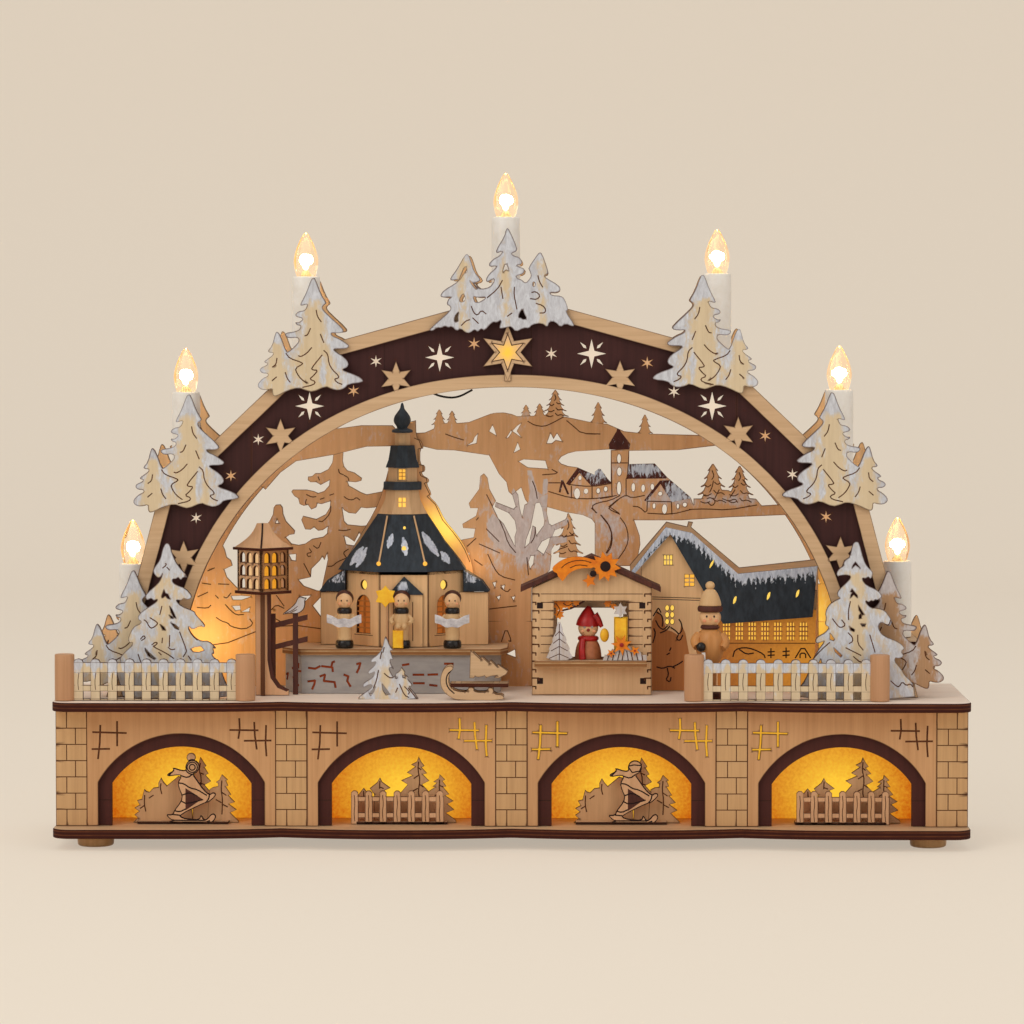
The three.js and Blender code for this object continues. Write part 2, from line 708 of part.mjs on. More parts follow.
function addRailFence() {
  const low = deckZ + fit;
  const y = platformFront - 6;
  const posts = [-160, -146].map((x) => box([x - 1.5, y, low], [x + 1.5, y + 3, deckZ + 50]));
  const rail = (z) => board([[-168, z - 2], [-136, z + 6], [-136, z + 9], [-168, z + 1]], y);
  const bird = [
    [-150, 48], [-141, 46], [-134, 47], [-131, 51], [-135, 54], [-141, 51], [-152, 50],
  ].map(([u, v]) => [u, deckZ + v]);
  add("rail_fence", join(...posts, rail(deckZ + 24), rail(deckZ + 38), board(bird, y)), dark);
}

// Half an octagon whose flat rear lies at one depth
function octagonRing(width, z, rear, x = churchX) {
  const half = width / 2;
  const side = half * Math.tan(Math.PI / 8);
  const middle = rear - 0.5;
  return [
    [x + half, rear, z], [x - half, rear, z], [x - half, middle - side, z],
    [x - side, middle - half, z], [x + side, middle - half, z], [x + half, middle - side, z],
  ];
}

function addChurch() {
  const low = deckZ + fit;
  const rear = churchRear;
  const deck = platformTop - 4;
  const wallTop = platformTop + churchWall;
  const stoneLine = [
    [-152, rear],
    [-152, 8],
    [-140.5, platformFront + 3],
    [-25, platformFront + 3],
    [-8, 8],
    [-8, rear],
    [-12, rear],
    [-12, 10],
    [-27, platformFront + 7],
    [-138.5, platformFront + 7],
    [-148, 10],
    [-148, rear],
  ];
  const topLine = [
    [-154, rear],
    [-154, 6],
    [-141, platformFront],
    [-8, platformFront],
    [-3, 6],
    [-3, rear],
  ];
  const top = slab(topLine, deck, 4);
  add("church_platform", join(slab(stoneLine, low, deck - low + 1), top), stone);

  const base = platformTop + fit;
  const outer = loft([octagonRing(churchWidth, base, rear), octagonRing(churchWidth, wallTop, rear)]);
  const hollow = loft([
    octagonRing(churchWidth - 6, base - 2, rear + 2), octagonRing(churchWidth - 6, wallTop - 3, rear + 2),
  ]);
  const annexes = [-1, 1].map((side) => {
    const xs = [churchX + side * (churchWidth / 2 - 3), churchX + side * (churchWidth / 2 + 17)];
    xs.sort((a, b) => a - b);
    return box([xs[0], 26, base], [xs[1], rear, base + 35.5]);
  });
  const windows = [-28, 28].map((off) =>
    box([churchX + off - 5, 0, base + 10], [churchX + off + 5, 30, base + 34]),
  );
  add("church", cut(join(outer, ...annexes), hollow, ...windows), birch);

  const roofLow = wallTop + fit;
  const mainRoof = loft([
    octagonRing(churchWidth + 7, roofLow, rear), octagonRing(churchWidth - 1, roofLow + 6, rear),
    octagonRing(56, roofLow + 19, rear), octagonRing(33.5, roofLow + 37, rear),
  ]);
  const wings = [-1, 1].map((side) => {
    const near = churchX + side * (churchWidth / 2 + fit);
    const far = churchX + side * (churchWidth / 2 + 18);
    const outline = [
      [near, base + 36], [far, base + 36], [far - side * 5, base + 43], [near, roofLow + 1],
    ];
    return board(outline, 24, rear - 24);
  });
  add("church_roof", join(mainRoof, ...wings), roofing);
  addTower(roofLow + 37 + fit, rear);
}

// Tower rings are [width, height], then a turned onion
function addTower(base, rear) {
  const rings = [
    [33.5, 0], [24, 9], [21.4, 16], [25.4, 16.1], [25.4, 21.5], [19.4, 21.6], [19.4, 31],
    [22.5, 31.1], [17.5, 38], [16, 46], [10.3, 46.1], [10.3, 55],
  ].map(([width, height]) => octagonRing(width, base + height, rear));
  const onion = [[0, -1], [7, 0], [7, 2], [4, 3], [5.6, 8], [4.6, 12], [1.4, 17], [0, 20]];
  add("church_tower", join(loft(rings), turn(onion, churchX, rear - 6, base + 54.5, 10)), roofing);
}

// Three turned singers on one thin foot strip
function addSingers() {
  const base = platformTop + fit;
  const y = singerLine;
  const profile = [
    [0, 0], [5.6, 0], [5.6, 6], [4.2, 7], [5.8, 13], [4.6, 22], [3, 26], [5.4, 30], [4.6, 35], [0, 37],
  ];
  const figures = [-112, -74, -40].map((x) => turn(profile, x, y, base, 8));
  const strip = box([-112, y - 1, base], [-40, y + 1, base + 1]);
  const sheets = [-112, -40].map((x) => box([x - 11, y - 7, base + 17], [x + 11, y - 3, base + 19]));
  const staff = box([-83, y - 3, base], [-81.4, y - 1.4, base + 34]);
  const foot = box([-83, y - 3, base], [-74, y + 1, base + 1]);
  const lamp = box([-79.5, y - 7, base], [-73, y - 1, base + 11]);
  const starPlate = board(star(-83, base + 36, 7, 3.4), y - 3, 1.6);
  const all = [...figures, strip, ...sheets, staff, foot, lamp, starPlate];
  add("carol_singers", join(...all), turned);
}

function addStall() {
  const low = deckZ + fit;
  const mid = (stallLow + stallHigh) / 2;
  const eaves = deckZ + stallEaves;
  const gable = (inset, front, depth, sink = 0) =>
    board(
      [
        [stallLow + inset, low - sink], [stallHigh - inset, low - sink],
        [stallHigh - inset, eaves - inset], [mid, eaves + 18 - inset], [stallLow + inset, eaves - inset],
      ],
      front,
      depth,
    );
  const back = stallFront + stallDepth;
  const shell = gable(0, stallFront, stallDepth);
  const room = gable(boardStock, stallFront + boardStock, stallDepth - boardStock * 2, 2);
  const hatch = box([27.8, stallFront - 1, deckZ + 24], [77, back + 1, deckZ + 62.8]);
  const counter = box([14.9, stallFront - 9, deckZ + 19.5], [89.3, stallFront + 1, deckZ + 23.5]);
  add("stall", join(cut(shell, room, hatch), counter), birch);

  const roofLine = (lift) => [
    [stallLow - 7.5, eaves - 3 + lift], [mid, eaves + 18 + lift], [stallHigh + 6, eaves - 3 + lift],
  ];
  const roof = board([...roofLine(fit + 0.2), ...roofLine(4).reverse()], stallFront - 3, stallDepth + 6);
  const comet = board(star(61.8, eaves + 13.5, 9.8, 5.4, 8), stallFront - 5.5, 3);
  const tail = [
    [61.8, eaves + 17], [50, eaves + 20], [38, eaves + 18.5], [27, eaves + 12], [30, eaves + 10.5],
    [40, eaves + 13], [50, eaves + 14], [61.8, eaves + 9],
  ];
  add("stall_roof", join(roof, comet, board(tail, stallFront - 5.5, 3)), dark);

  const keeper = [
    [0, 0], [7, 0], [7, 26], [6, 36], [3.4, 42], [6.6, 45], [6.4, 51], [5, 53], [2, 58], [0, 59],
  ];
  add("stall_keeper", turn(keeper, 50, stallFront + stallDepth / 2, low, 10), turned);
}

// The house is a flat front with a larger twin behind it and a roof board on top
function addHouse() {
  const low = deckZ + fit;
  const wall = [
    [88, 0], [202, 0], [204, 70], [152, 82], [120, 106], [104, 109], [88, 90],
  ].map(([u, v]) => [u, low + v]);
  const twin = [
    [84, 0], [207, 0], [206, 88], [152, 82.5], [124, 108], [120, 109], [104, 113], [84, 88],
  ].map(([u, v]) => [u, low + v]);
  const rooms = box([125, houseFront + 1, low], [200, houseFront + 23, low + 4]);
  const boards = [board(wall, houseFront), board(twin, houseFront + 22)];
  add("house", join(...boards, rooms), birch);
  const roof = [
    [80, 84], [104, 111], [121, 107], [152, 78.5], [204, 81], [201, 50], [140, 46], [106, 102], [84, 82],
  ].map(([u, v]) => [u, low + v]);
  add("house_roof", board(roof, houseFront - fit - boardStock), roofing);
}

function addTurnedFigure() {
  const low = deckZ + fit;
  const profile = [
    [0, 0], [9, 0], [9, 4], [4, 6], [4, 22], [8.6, 28], [9.6, 37], [8, 44], [5, 47], [7.2, 49],
    [7, 57], [8.4, 58], [8.2, 61], [4, 70], [1.6, 72], [3.1, 74.5], [0, 77],
  ];
  const x = plinthLength / 2 - 169.5;
  const y = -40;
  const arm = ball(4, x - 9, y - 2, low + 38, 6, 4);
  const mitten = ball(3.4, x - 5, y - 9, low + 35, 6, 4);
  add("turned_figure", join(turn(profile, x, y, low, 10), arm, mitten), turned);
}

addPlinth();
addNicheScenes();
addArch();
addRearArch();
addCandles();
addFence("fence_left", -plinthLength / 2 + 7.5, -plinthLength / 2 + 126);
addFence("fence_right", plinthLength / 2 - 180.5, plinthLength / 2 - 59.2);
addDeckTrees();
addSled();
addLantern();
addRailFence();
addChurch();
addSingers();
addStall();
addHouse();
addTurnedFigure();

export default part;
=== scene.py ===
import bpy
import numpy as np
from mathutils import Matrix, Vector
from mathutils.geometry import delaunay_2d_cdt


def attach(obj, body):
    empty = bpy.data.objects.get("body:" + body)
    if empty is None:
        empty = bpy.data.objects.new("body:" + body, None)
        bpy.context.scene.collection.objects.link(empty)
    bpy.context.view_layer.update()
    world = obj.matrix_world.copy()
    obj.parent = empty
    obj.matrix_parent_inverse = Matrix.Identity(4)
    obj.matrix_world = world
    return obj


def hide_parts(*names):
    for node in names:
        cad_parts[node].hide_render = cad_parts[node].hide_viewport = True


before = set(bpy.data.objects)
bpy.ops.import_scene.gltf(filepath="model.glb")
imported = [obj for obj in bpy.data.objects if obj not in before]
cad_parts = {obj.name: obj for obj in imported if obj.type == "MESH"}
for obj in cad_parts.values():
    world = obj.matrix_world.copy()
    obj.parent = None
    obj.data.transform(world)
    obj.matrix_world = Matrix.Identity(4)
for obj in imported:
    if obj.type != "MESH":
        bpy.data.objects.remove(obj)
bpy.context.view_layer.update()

mm = 0.001  # lengths are in millimetres until a mesh is written
fullTurn = 6.2832
deckZ = 97.0  # top of the plinth
floorZ = 14.0  # floor inside the plinth

cameraSetup = {
    "place": (31.75, -2775.0, 350.4),
    "turnLeft": 0.66,  # degrees
    "tiltDown": 2.73,
    "lens": 146.5, "sensor": 36.0, "farEnd": 50.0,
    "pixels": 4166.7,  # enlargement: pixels for a millimetre at a distance of one millimetre
    "middle": (560, 313),  # the pixel straight ahead of a level view from that place
}


def placeCamera(setup):
    data = bpy.data.cameras.new("photoCamera")
    data.lens = setup["lens"]
    data.sensor_width = setup["sensor"]
    data.clip_end = setup["farEnd"]
    camera = bpy.data.objects.new("photoCamera", data)
    turn = Matrix.Rotation(np.radians(setup["turnLeft"]), 4, "Z")
    tilt = Matrix.Rotation(np.radians(90.0 - setup["tiltDown"]), 4, "X")
    camera.matrix_world = Matrix.Translation(Vector(setup["place"]) * mm) @ turn @ tilt
    bpy.context.collection.objects.link(camera)
    bpy.context.scene.camera = camera


placeCamera(cameraSetup)
print("camera placed")


def tint(code):
    # sRGB hex to the linear colour that shaders take
    value = np.array([int(code[i:i + 2], 16) for i in (1, 3, 5)]) / 255.0
    linear = np.where(value <= 0.04045, value / 12.92, ((value + 0.055) / 1.055) ** 2.4)
    return (*linear, 1.0)


class Wiring:
    # a material's node tree with short calls for the nodes that the finishes share
    def __init__(self, name, roughness, specular=None):
        self.material = bpy.data.materials.new(name)
        self.material.use_nodes = True
        self.tree = self.material.node_tree
        self.shader = self.tree.nodes["Principled BSDF"]
        self.shader.inputs["Roughness"].default_value = roughness
        if specular is not None:
            self.shader.inputs["Specular IOR Level"].default_value = specular
        self.coords = None

    def node(self, kind, inputs=None, **settings):
        made = self.tree.nodes.new(kind)
        for key, value in settings.items():
            setattr(made, key, value)
        for key, value in (inputs or {}).items():
            self.feed(made.inputs[key], value)
        return made

    def feed(self, socket, value):
        if isinstance(value, bpy.types.NodeSocket):
            self.tree.links.new(value, socket)
        elif isinstance(value, str):
            socket.default_value = tint(value)
        else:
            socket.default_value = value

    def objectPoint(self):
        if self.coords is None:
            self.coords = self.node("ShaderNodeTexCoord").outputs["Object"]
        return self.coords

    def noise(self, stretch, detail=4.0, roughness=0.6, distortion=0.0):
        mapped = self.node("ShaderNodeMapping", {"Vector": self.objectPoint(), "Scale": stretch})
        inputs = {"Vector": mapped.outputs[0], "Scale": 1.0, "Detail": detail,
                  "Roughness": roughness, "Distortion": distortion}
        return self.node("ShaderNodeTexNoise", inputs).outputs["Fac"]

    def ramp(self, value, low, high, fromLow=0.0, toHigh=1.0):
        inputs = {"Value": value, "From Min": low, "From Max": high, "To Min": fromLow, "To Max": toHigh}
        return self.node("ShaderNodeMapRange", inputs, clamp=True).outputs[0]

    def blend(self, amount, first, second, kind="MIX"):
        made = self.node("ShaderNodeMix", data_type="RGBA", blend_type=kind)
        self.feed(made.inputs[0], amount)
        self.feed(made.inputs[6], first)
        self.feed(made.inputs[7], second)
        return made.outputs[2]

    def math(self, kind, first, second=0.5):
        made = self.node("ShaderNodeMath", operation=kind)
        self.feed(made.inputs[0], first)
        self.feed(made.inputs[1], second)
        return made.outputs[0]

    def attribute(self, name):
        return self.node("ShaderNodeAttribute", attribute_name=name).outputs["Fac"]

    def finish(self, colour, height=None, depth=0.0001, strength=0.5):
        self.feed(self.shader.inputs["Base Color"], colour)
        if height is not None:
            inputs = {"Height": height, "Strength": strength, "Distance": depth}
            self.feed(self.shader.inputs["Normal"], self.node("ShaderNodeBump", inputs).outputs[0])
        return self.material


woods = {
    # base, dark streak, grain stretch along x, y, z, snow cover, roughness
    "birch": ("#d6b48e", "#b38d66", (9, 60, 330), 0.0, 0.55),
    "facadeBirch": ("#d2a274", "#b07e50", (330, 60, 9), 0.0, 0.55),
    "brickBirch": ("#d2a878", "#b48a5e", (330, 60, 9), 0.0, 0.55),
    "birchUpright": ("#deb78b", "#b98d62", (330, 60, 9), 0.0, 0.55),
    "wallWood": ("#efc391", "#cb9d6c", (330, 60, 9), 0.0, 0.55),
    "lanternWood": ("#b98251", "#7a4d2a", (300, 60, 9), 0.0, 0.55),
    "birchSnow": ("#e0caa4", "#c6ad86", (330, 60, 12), 1.0, 0.62),
    # the snowy birch with shade painted in, for trees that stand in shade
    "shadeSnow": ("#bf9468", "#96683f", (330, 60, 12), 0.7, 0.62),
    "slopeWood": ("#e3ae78", "#bb8049", (200, 60, 9), 0.75, 0.62),
    "deckWash": ("#f4e2d2", "#dcc2ac", (9, 330, 60), 0.0, 0.6),
    "stained": ("#43211f", "#2a110f", (300, 60, 7), 0.0, 0.6),
    "stainedTrim": ("#4e231c", "#32140f", (240, 60, 9), 0.0, 0.6),
    "shadeWood": ("#bf7a44", "#95582c", (330, 60, 9), 0.0, 0.55),
    "amberWood": ("#cc8f54", "#a96b38", (220, 220, 10), 0.0, 0.32),
    "figureWood": ("#e0b188", "#b5865a", (200, 60, 9), 0.0, 0.55),
    "sceneWood": ("#dcae80", "#b2875c", (200, 60, 9), 0.0, 0.55),
    "turned": ("#d9b384", "#bd9260", (220, 220, 10), 0.0, 0.42),
    "dowel": ("#c69670", "#ab7d56", (240, 240, 9), 0.0, 0.5),
}


def woodFinish(name, base, dark, stretch, snow, roughness):
    # fine streaks along the grain over slow bands, a burnt rim, and brushed snow on top
    w = Wiring(name, roughness, 0.25)
    streak = w.noise(stretch, 6.0, 0.7)
    band = w.noise([s * 0.12 + 4 for s in stretch], 3.0, 0.5, 0.4)
    colour = w.blend(w.ramp(streak, 0.42, 0.72, 0.0, 0.55), base, dark)
    colour = w.blend(w.ramp(band, 0.35, 0.7, 0.0, 0.22), colour, dark)
    if snow:
        brush = w.noise((420, 260, 150), 5.0, 0.7, 0.5)
        patch = w.noise((110, 60, 80), 3.0, 0.6)
        cover = w.math("ADD", w.attribute("snow"), w.ramp(patch, 0.3, 0.7, -0.24, 0.24))
        cover = w.math("ADD", cover, w.ramp(brush, 0.3, 0.7, -0.3, 0.3))
        cover = w.ramp(cover, 0.28, 0.72, 0.08 * snow, snow)
        paint = w.blend(w.ramp(brush, 0.3, 0.7), "#b4b4bb", "#dcdfe6")
        colour = w.blend(cover, colour, paint)
    burn = w.math("MULTIPLY", w.attribute("burn"), w.ramp(band, 0.3, 0.6, 0.75, 1.05))
    colour = w.blend(w.ramp(burn, 0.45, 0.9, 0.0, 0.85), colour, "#4a2413")
    if name == "slopeWood":  # lamps stand behind the slopes and shine through; their glow is also painted on as warm emission
        warm = w.math("MULTIPLY", w.attribute("lit"), w.ramp(band, 0.3, 0.7, 0.8, 1.1))
        w.feed(w.shader.inputs["Emission Color"], w.blend(w.ramp(warm, 0.0, 0.9), "#c4661a", "#ffcf40"))
        w.feed(w.shader.inputs["Emission Strength"], warm)
    return w.finish(colour, streak, 0.00006, 0.4)


def roofFinish(name, colour, other):
    # dull paint with brushed snow where the attribute puts it
    w = Wiring(name, 0.66, 0.3)
    drift = w.noise((300, 60, 120), 4.0, 0.65)
    brush = w.noise((520, 300, 160), 5.0, 0.75, 0.5)
    cover = w.math("ADD", w.attribute("snow"), w.ramp(brush, 0.3, 0.7, -0.38, 0.38))
    colour = w.blend(w.ramp(drift, 0.35, 0.68), colour, other)
    amount = w.ramp(cover, 0.44, 0.62)
    snow = w.blend(w.ramp(brush, 0.35, 0.65), "#a9b1c4", "#dfe4ee")
    return w.finish(w.blend(amount, colour, snow), brush, 0.0001, 0.4)


def edgeFinish(name, dark, ply, bands):
    # the cut edge: burnt brown with the paler veneers showing as lines
    w = Wiring(name, 0.75, 0.2)
    phase = w.math("MULTIPLY", w.attribute("across"), bands * fullTurn)
    line = w.ramp(w.math("COSINE", phase, 0.0), -1.0, -0.2, 1.0, 0.0)
    soot = w.noise((90, 90, 90), 4.0, 0.7)
    colour = w.blend(w.math("MULTIPLY", line, w.ramp(soot, 0.3, 0.7, 0.25, 0.8)), dark, ply)
    return w.finish(colour, soot, 0.0001, 0.5)


def plainPaint(name, colour, other, roughness, stretch=(160, 160, 160)):
    # brushed or sprayed paint: a slow drift between two near colours and a fine tooth
    w = Wiring(name, roughness, 0.35)
    drift = w.noise(stretch, 4.0, 0.65)
    tooth = w.noise((900, 900, 900), 2.0, 0.5)
    return w.finish(w.blend(w.ramp(drift, 0.35, 0.68), colour, other), tooth, 0.00005, 0.3)


def glowFinish(name, inner, outer, strength):
    # a lit translucent face, brighter where the attribute says that the lamp is near
    w = Wiring(name, 0.6)
    mottle = w.noise((520, 520, 520), 4.0, 0.7)
    near = w.math("ADD", w.attribute("lit"), w.ramp(mottle, 0.3, 0.7, -0.16, 0.16))
    colour = w.blend(w.ramp(near, 0.0, 0.95), outer, inner)
    w.feed(w.shader.inputs["Emission Color"], colour)
    w.shader.inputs["Emission Strength"].default_value = strength
    return w.finish("#8a5418", mottle, 0.0004, 0.8)


def glassFinish(name):
    # clear lamp glass, faintly amber where it is seen edge on
    w = Wiring(name, 0.03)
    w.shader.inputs["IOR"].default_value = 1.3
    w.shader.inputs["Transmission Weight"].default_value = 1.0
    rim = w.node("ShaderNodeLayerWeight", {"Blend": 0.35}).outputs["Facing"]
    ripple = w.noise((240, 240, 90), 2.0, 0.5)
    colour = w.blend(w.ramp(rim, 0.25, 0.95), "#fff6e4", "#f0b263")
    w.feed(w.shader.inputs["Emission Color"], "#ffb85a")
    w.feed(w.shader.inputs["Emission Strength"], w.ramp(rim, 0.1, 1.0, 0.10, 0.35))
    return w.finish(colour, ripple, 0.0002, 0.3)


def metalFinish(name, colour):
    w = Wiring(name, 0.32)
    w.shader.inputs["Metallic"].default_value = 1.0
    wear = w.noise((300, 300, 300), 4.0, 0.6)
    return w.finish(w.blend(w.ramp(wear, 0.35, 0.7), colour, "#a88446"), wear, 0.00005, 0.3)


def lampFinish(name, colour, strength):
    # the glowing middle of a lamp: strongest at its heart, where it faces us
    w = Wiring(name, 0.5)
    rim = w.node("ShaderNodeLayerWeight", {"Blend": 0.4}).outputs["Facing"]
    w.feed(w.shader.inputs["Emission Color"], w.blend(rim, "#fff1cc", colour))
    w.feed(w.shader.inputs["Emission Strength"], w.ramp(rim, 0.0, 1.0, strength, strength * 0.25))
    return w.finish(colour)


brushPaints = {
    # colour, the colour that it drifts to, roughness, stretch of the drift
    "scorch": ("#6b3a1c", "#46210f", 0.8, (400, 400, 400)),
    "scorchDark": ("#2a110c", "#1d0b08", 0.8),
    "anthracite": ("#262d35", "#39424c", 0.62, (300, 60, 120)),
    "timber": ("#43201a", "#5d3020", 0.7, (300, 60, 40)),
    "blackGloss": ("#15110f", "#241a17", 0.25),
    "skin": ("#e8bd8f", "#dba877", 0.35),
    "blush": ("#df8f66", "#e8a981", 0.4),
    "hair": ("#3a1c12", "#552a1a", 0.35, (300, 300, 60)),
    "songPaper": ("#e9e7ea", "#b9b7bf", 0.6, (260, 200, 300)),
    "yellowPaint": ("#ffcb33", "#f5aa1e", 0.4),
    "redPaint": ("#b3201c", "#8d1414", 0.35),
    "orangePaint": ("#f08c12", "#d96f0a", 0.45),
    "pinkCoat": ("#c07850", "#a8623c", 0.45),
    "snowWash": ("#d0ccd0", "#bfae9f", 0.6, (260, 200, 60)),
    "stoneGrey": ("#9b9592", "#aba49f", 0.8, (60, 60, 200)),
    # orange that paints the glow in the platform's slots
    "rust": ("#a2441c", "#7c2f14", 0.8, (300, 300, 300)),
    "ivory": ("#f3efe9", "#ece6dc", 0.34),
    "milkGlass": ("#f6e7c6", "#efdcb2", 0.2),
}
cutEdges = {  # burnt colour, colour of the pale veneers, how many waves of them
    "burnt": ("#2c130c", "#7d5132", 1.5),
    "plateEdge": ("#3a140b", "#7a4526", 2.5),
    "stainedEdge": ("#24100e", "#3a1c18", 1.5),
    "plyLight": ("#8f6038", "#dcb98a", 1.5),
}
litFaces = {  # colour near the lamp, colour away from it, strength
    "latticeGlow": ("#c8702c", "#8a4318", 0.7),
    "wingGlow": ("#f0a032", "#94501f", 0.5),
    "lanternGlow": ("#ffb52e", "#a8480c", 0.85),
    "niche": ("#ffcf3a", "#bb5400", 0.92),
    "starHeart": ("#ffcf45", "#d2b085", 0.85),
    "starShine": ("#f0e2cb", "#d9a06a", 0.82),
    "litWood": ("#b5662a", "#94501f", 0.35),
    "paneGlow": ("#ffd49a", "#a4561c", 0.72),
    "windowGlow": ("#ffd861", "#f3a52c", 1.0),
}
roofPaints = {"snowyRoof": ("#252b32", "#363e47"), "brownRoof": ("#451d17", "#5e2c21")}
otherFinishes = {"glass": (glassFinish,), "brass": (metalFinish, "#c9a35a"),
                 "filament": (lampFinish, "#ffe2a0", 6.0)}

finishes = {name: make(name, *values) for name, (make, *values) in otherFinishes.items()}
for make, table in ((woodFinish, woods), (plainPaint, brushPaints), (edgeFinish, cutEdges),
                    (glowFinish, litFaces), (roofFinish, roofPaints)):
    finishes.update({name: make(name, *values) for name, values in table.items()})


def pairs(*numbers):
    return np.array(numbers, float).reshape(-1, 2)


views = {  # left, top and enlargement of each part of the photograph in which outlines were read
    "hills": (410, 380, 7.467), "town": (600, 400, 7.84), "trees": (265, 425, 7.292),
         "bare": (440, 460, 6.272),
    "left": (190, 470, 6.533), "skier": (125, 750, 13.635), "pickets": (348, 752, 13.754),
         "stall": (530, 550, 10.45),
    "house": (530, 540, 4.286), "stone": (240, 560, 4.6875),
}


def seen(view, depth, *numbers):
    # points read in such a part, carried to the board at that depth
    left, top, zoom = views[view]
    x, y, z = cameraSetup["place"]
    across, up = cameraSetup["middle"]
    step = (depth - y) / cameraSetup["pixels"]  # millimetres across one pixel there
    u, v = pairs(*numbers).T / zoom
    return np.stack([x + (left + u - across) * step, z - (top + v - up) * step], 1)


def clipped(outline, low):
    # the part of an outline above a level, which becomes its lower side
    outline = np.asarray(outline, float)
    return np.column_stack([outline[:, 0], np.maximum(outline[:, 1], low)])


def within(outline, x, z):
    # a point is inside if the line from it to the left crosses the outline an odd number of times
    start, end = outline, np.roll(outline, -1, 0)
    rise = np.where(start[:, 1] == end[:, 1], 1e-9, end[:, 1] - start[:, 1])
    passes = (start[:, 1] > z[:, None]) != (end[:, 1] > z[:, None])
    hit = start[:, 0] + (z[:, None] - start[:, 1]) / rise * (end[:, 0] - start[:, 0])
    return (passes & (hit < x[:, None])).sum(1) % 2 == 1


def smooth(points, rounds=2, closed=True):
    # corner cutting: each side keeps its points at a quarter and at three quarters
    points = np.asarray(points, float)
    for _ in range(rounds):
        first = points if closed else points[:-1]
        second = np.roll(points, -1, 0) if closed else points[1:]
        cut = np.stack([first * 0.75 + second * 0.25, first * 0.25 + second * 0.75], 1)
        cut = cut.reshape(-1, points.shape[1])
        points = cut if closed else np.vstack([points[:1], cut, points[-1:]])
    return points


def stroke(points, width=0.8, rounds=1):
    # a drawn line as one short quadrilateral for each of its steps
    line = smooth(points, rounds, closed=False)
    step = line[1:] - line[:-1]
    along = step / np.linalg.norm(step, axis=1, keepdims=True)
    side = np.stack([-along[:, 1], along[:, 0]], 1) * width / 2
    first = line[:-1] - along * width * 0.25
    second = line[1:] + along * width * 0.25
    return list(np.stack([first - side, second - side, second + side, first + side], 1))


def strokes(lines, width=0.8, rounds=1):
    return [quad for line in lines for quad in stroke(line, width, rounds)]


def moved(points, x=0.0, z=0.0, flip=False, scale=1.0):
    points = np.asarray(points, float) * scale
    if flip:
        points = points[::-1] * (-1, 1)
    return points + (x, z)


def rectangle(left, low, right, high):
    return pairs(left, low, right, low, right, high, left, high)


def ellipse(x, z, across, up, count=24):
    angle = np.linspace(0, 2 * np.pi, count, endpoint=False)
    return np.stack([x + across * np.cos(angle), z + up * np.sin(angle)], 1)


def starShape(x, z, radius, waist, points=6, turn=0.0):
    angle = np.pi * np.arange(points * 2) / points + turn
    reach = np.where(np.arange(points * 2) % 2, waist, radius)
    return np.stack([x - reach * np.sin(angle), z + reach * np.cos(angle)], 1)


def lattice(x, z, across, up, columns, rows, width=0.55):
    # glazing bars of a window on its board's own plane
    upright = [x - across + 2 * across * i / columns for i in range(1, columns)]
    level = [z - up + 2 * up * i / rows for i in range(1, rows)]
    lines = [[(at, z - up), (at, z + up)] for at in upright] + [[(x - across, at), (x + across, at)]
                                                                for at in level]
    return strokes(lines, width, 0)


def archedWindow(x, z, across, up, steps=14):
    # straight sides under a half circle
    angle = np.linspace(0, np.pi, steps)
    arc = np.stack([x + across * np.cos(angle), z + up - across + across * np.sin(angle)], 1)
    return np.vstack([pairs(x - across, z - up, x + across, z - up), arc])


def firOutline(x, low, width, height, tiers=4):
    # each tier droops to a wider tip and steps back under it
    right = [(0, height)]
    for i in range(1, tiers + 1):
        share = i / tiers
        reach = width / 2 * share ** 0.8
        z = height * (1 - 0.9 * share)
        right += [(reach * 0.62, z + height / tiers * 0.3), (reach, z), (reach * 0.9, z - height * 0.02),
                  (reach * 0.55, z + height * 0.03)]
    right += [(width * 0.3, height * 0.04), (width * 0.3, 0)]
    right = np.array(right)
    left = right[1:][::-1] * (-1, 1)
    return smooth(np.vstack([right, left]), 1) + (x, low)


firCurls = [  # shares of the fir's width and height
    pairs(-0.02, 0.82, 0.03, 0.7, -0.03, 0.62), pairs(0.04, 0.56, 0.12, 0.5, 0.2, 0.55),
    pairs(-0.05, 0.5, -0.14, 0.44, -0.2, 0.5), pairs(0.02, 0.38, 0.1, 0.3, 0.22, 0.33, 0.3, 0.28),
    pairs(-0.04, 0.3, -0.16, 0.24, -0.3, 0.28), pairs(0, 0.2, 0.08, 0.12, 0.2, 0.16, 0.34, 0.1),
    pairs(-0.08, 0.12, -0.2, 0.08, -0.32, 0.12),
]


def firLines(x, low, width, height):
    # short burnt curls under the tiers on both sides of the trunk
    return [curl * (width, height) + (x, low) for curl in firCurls]


def standing(y):
    return np.array([[0, y, 0], [1, 0, 0], [0, 0, 1]], float)  # faces the front


def lying(z):
    return np.array([[0, 0, z], [1, 0, 0], [0, 1, 0]], float)  # faces up


def facing(origin, across):
    # an upright board whose face turns with its width's direction
    across = np.array([*across, 0.0]) / np.hypot(*across)
    return np.array([origin, across, [0, 0, 1]], float)


def edgeGap(points, starts, ends):
    # each point's distance to the nearest of the outline's sides
    gap = np.full(len(points), 1e9)
    run = ends - starts
    square = np.maximum((run ** 2).sum(1), 1e-12)
    for rows in np.array_split(np.arange(len(points)), len(points) * len(starts) // 1500000 + 1):
        offset = points[rows, None] - starts[None]
        share = np.clip((offset * run).sum(2) / square, 0, 1)
        gap[rows] = np.sqrt(((offset - share[..., None] * run) ** 2).sum(2).min(1))
    return gap


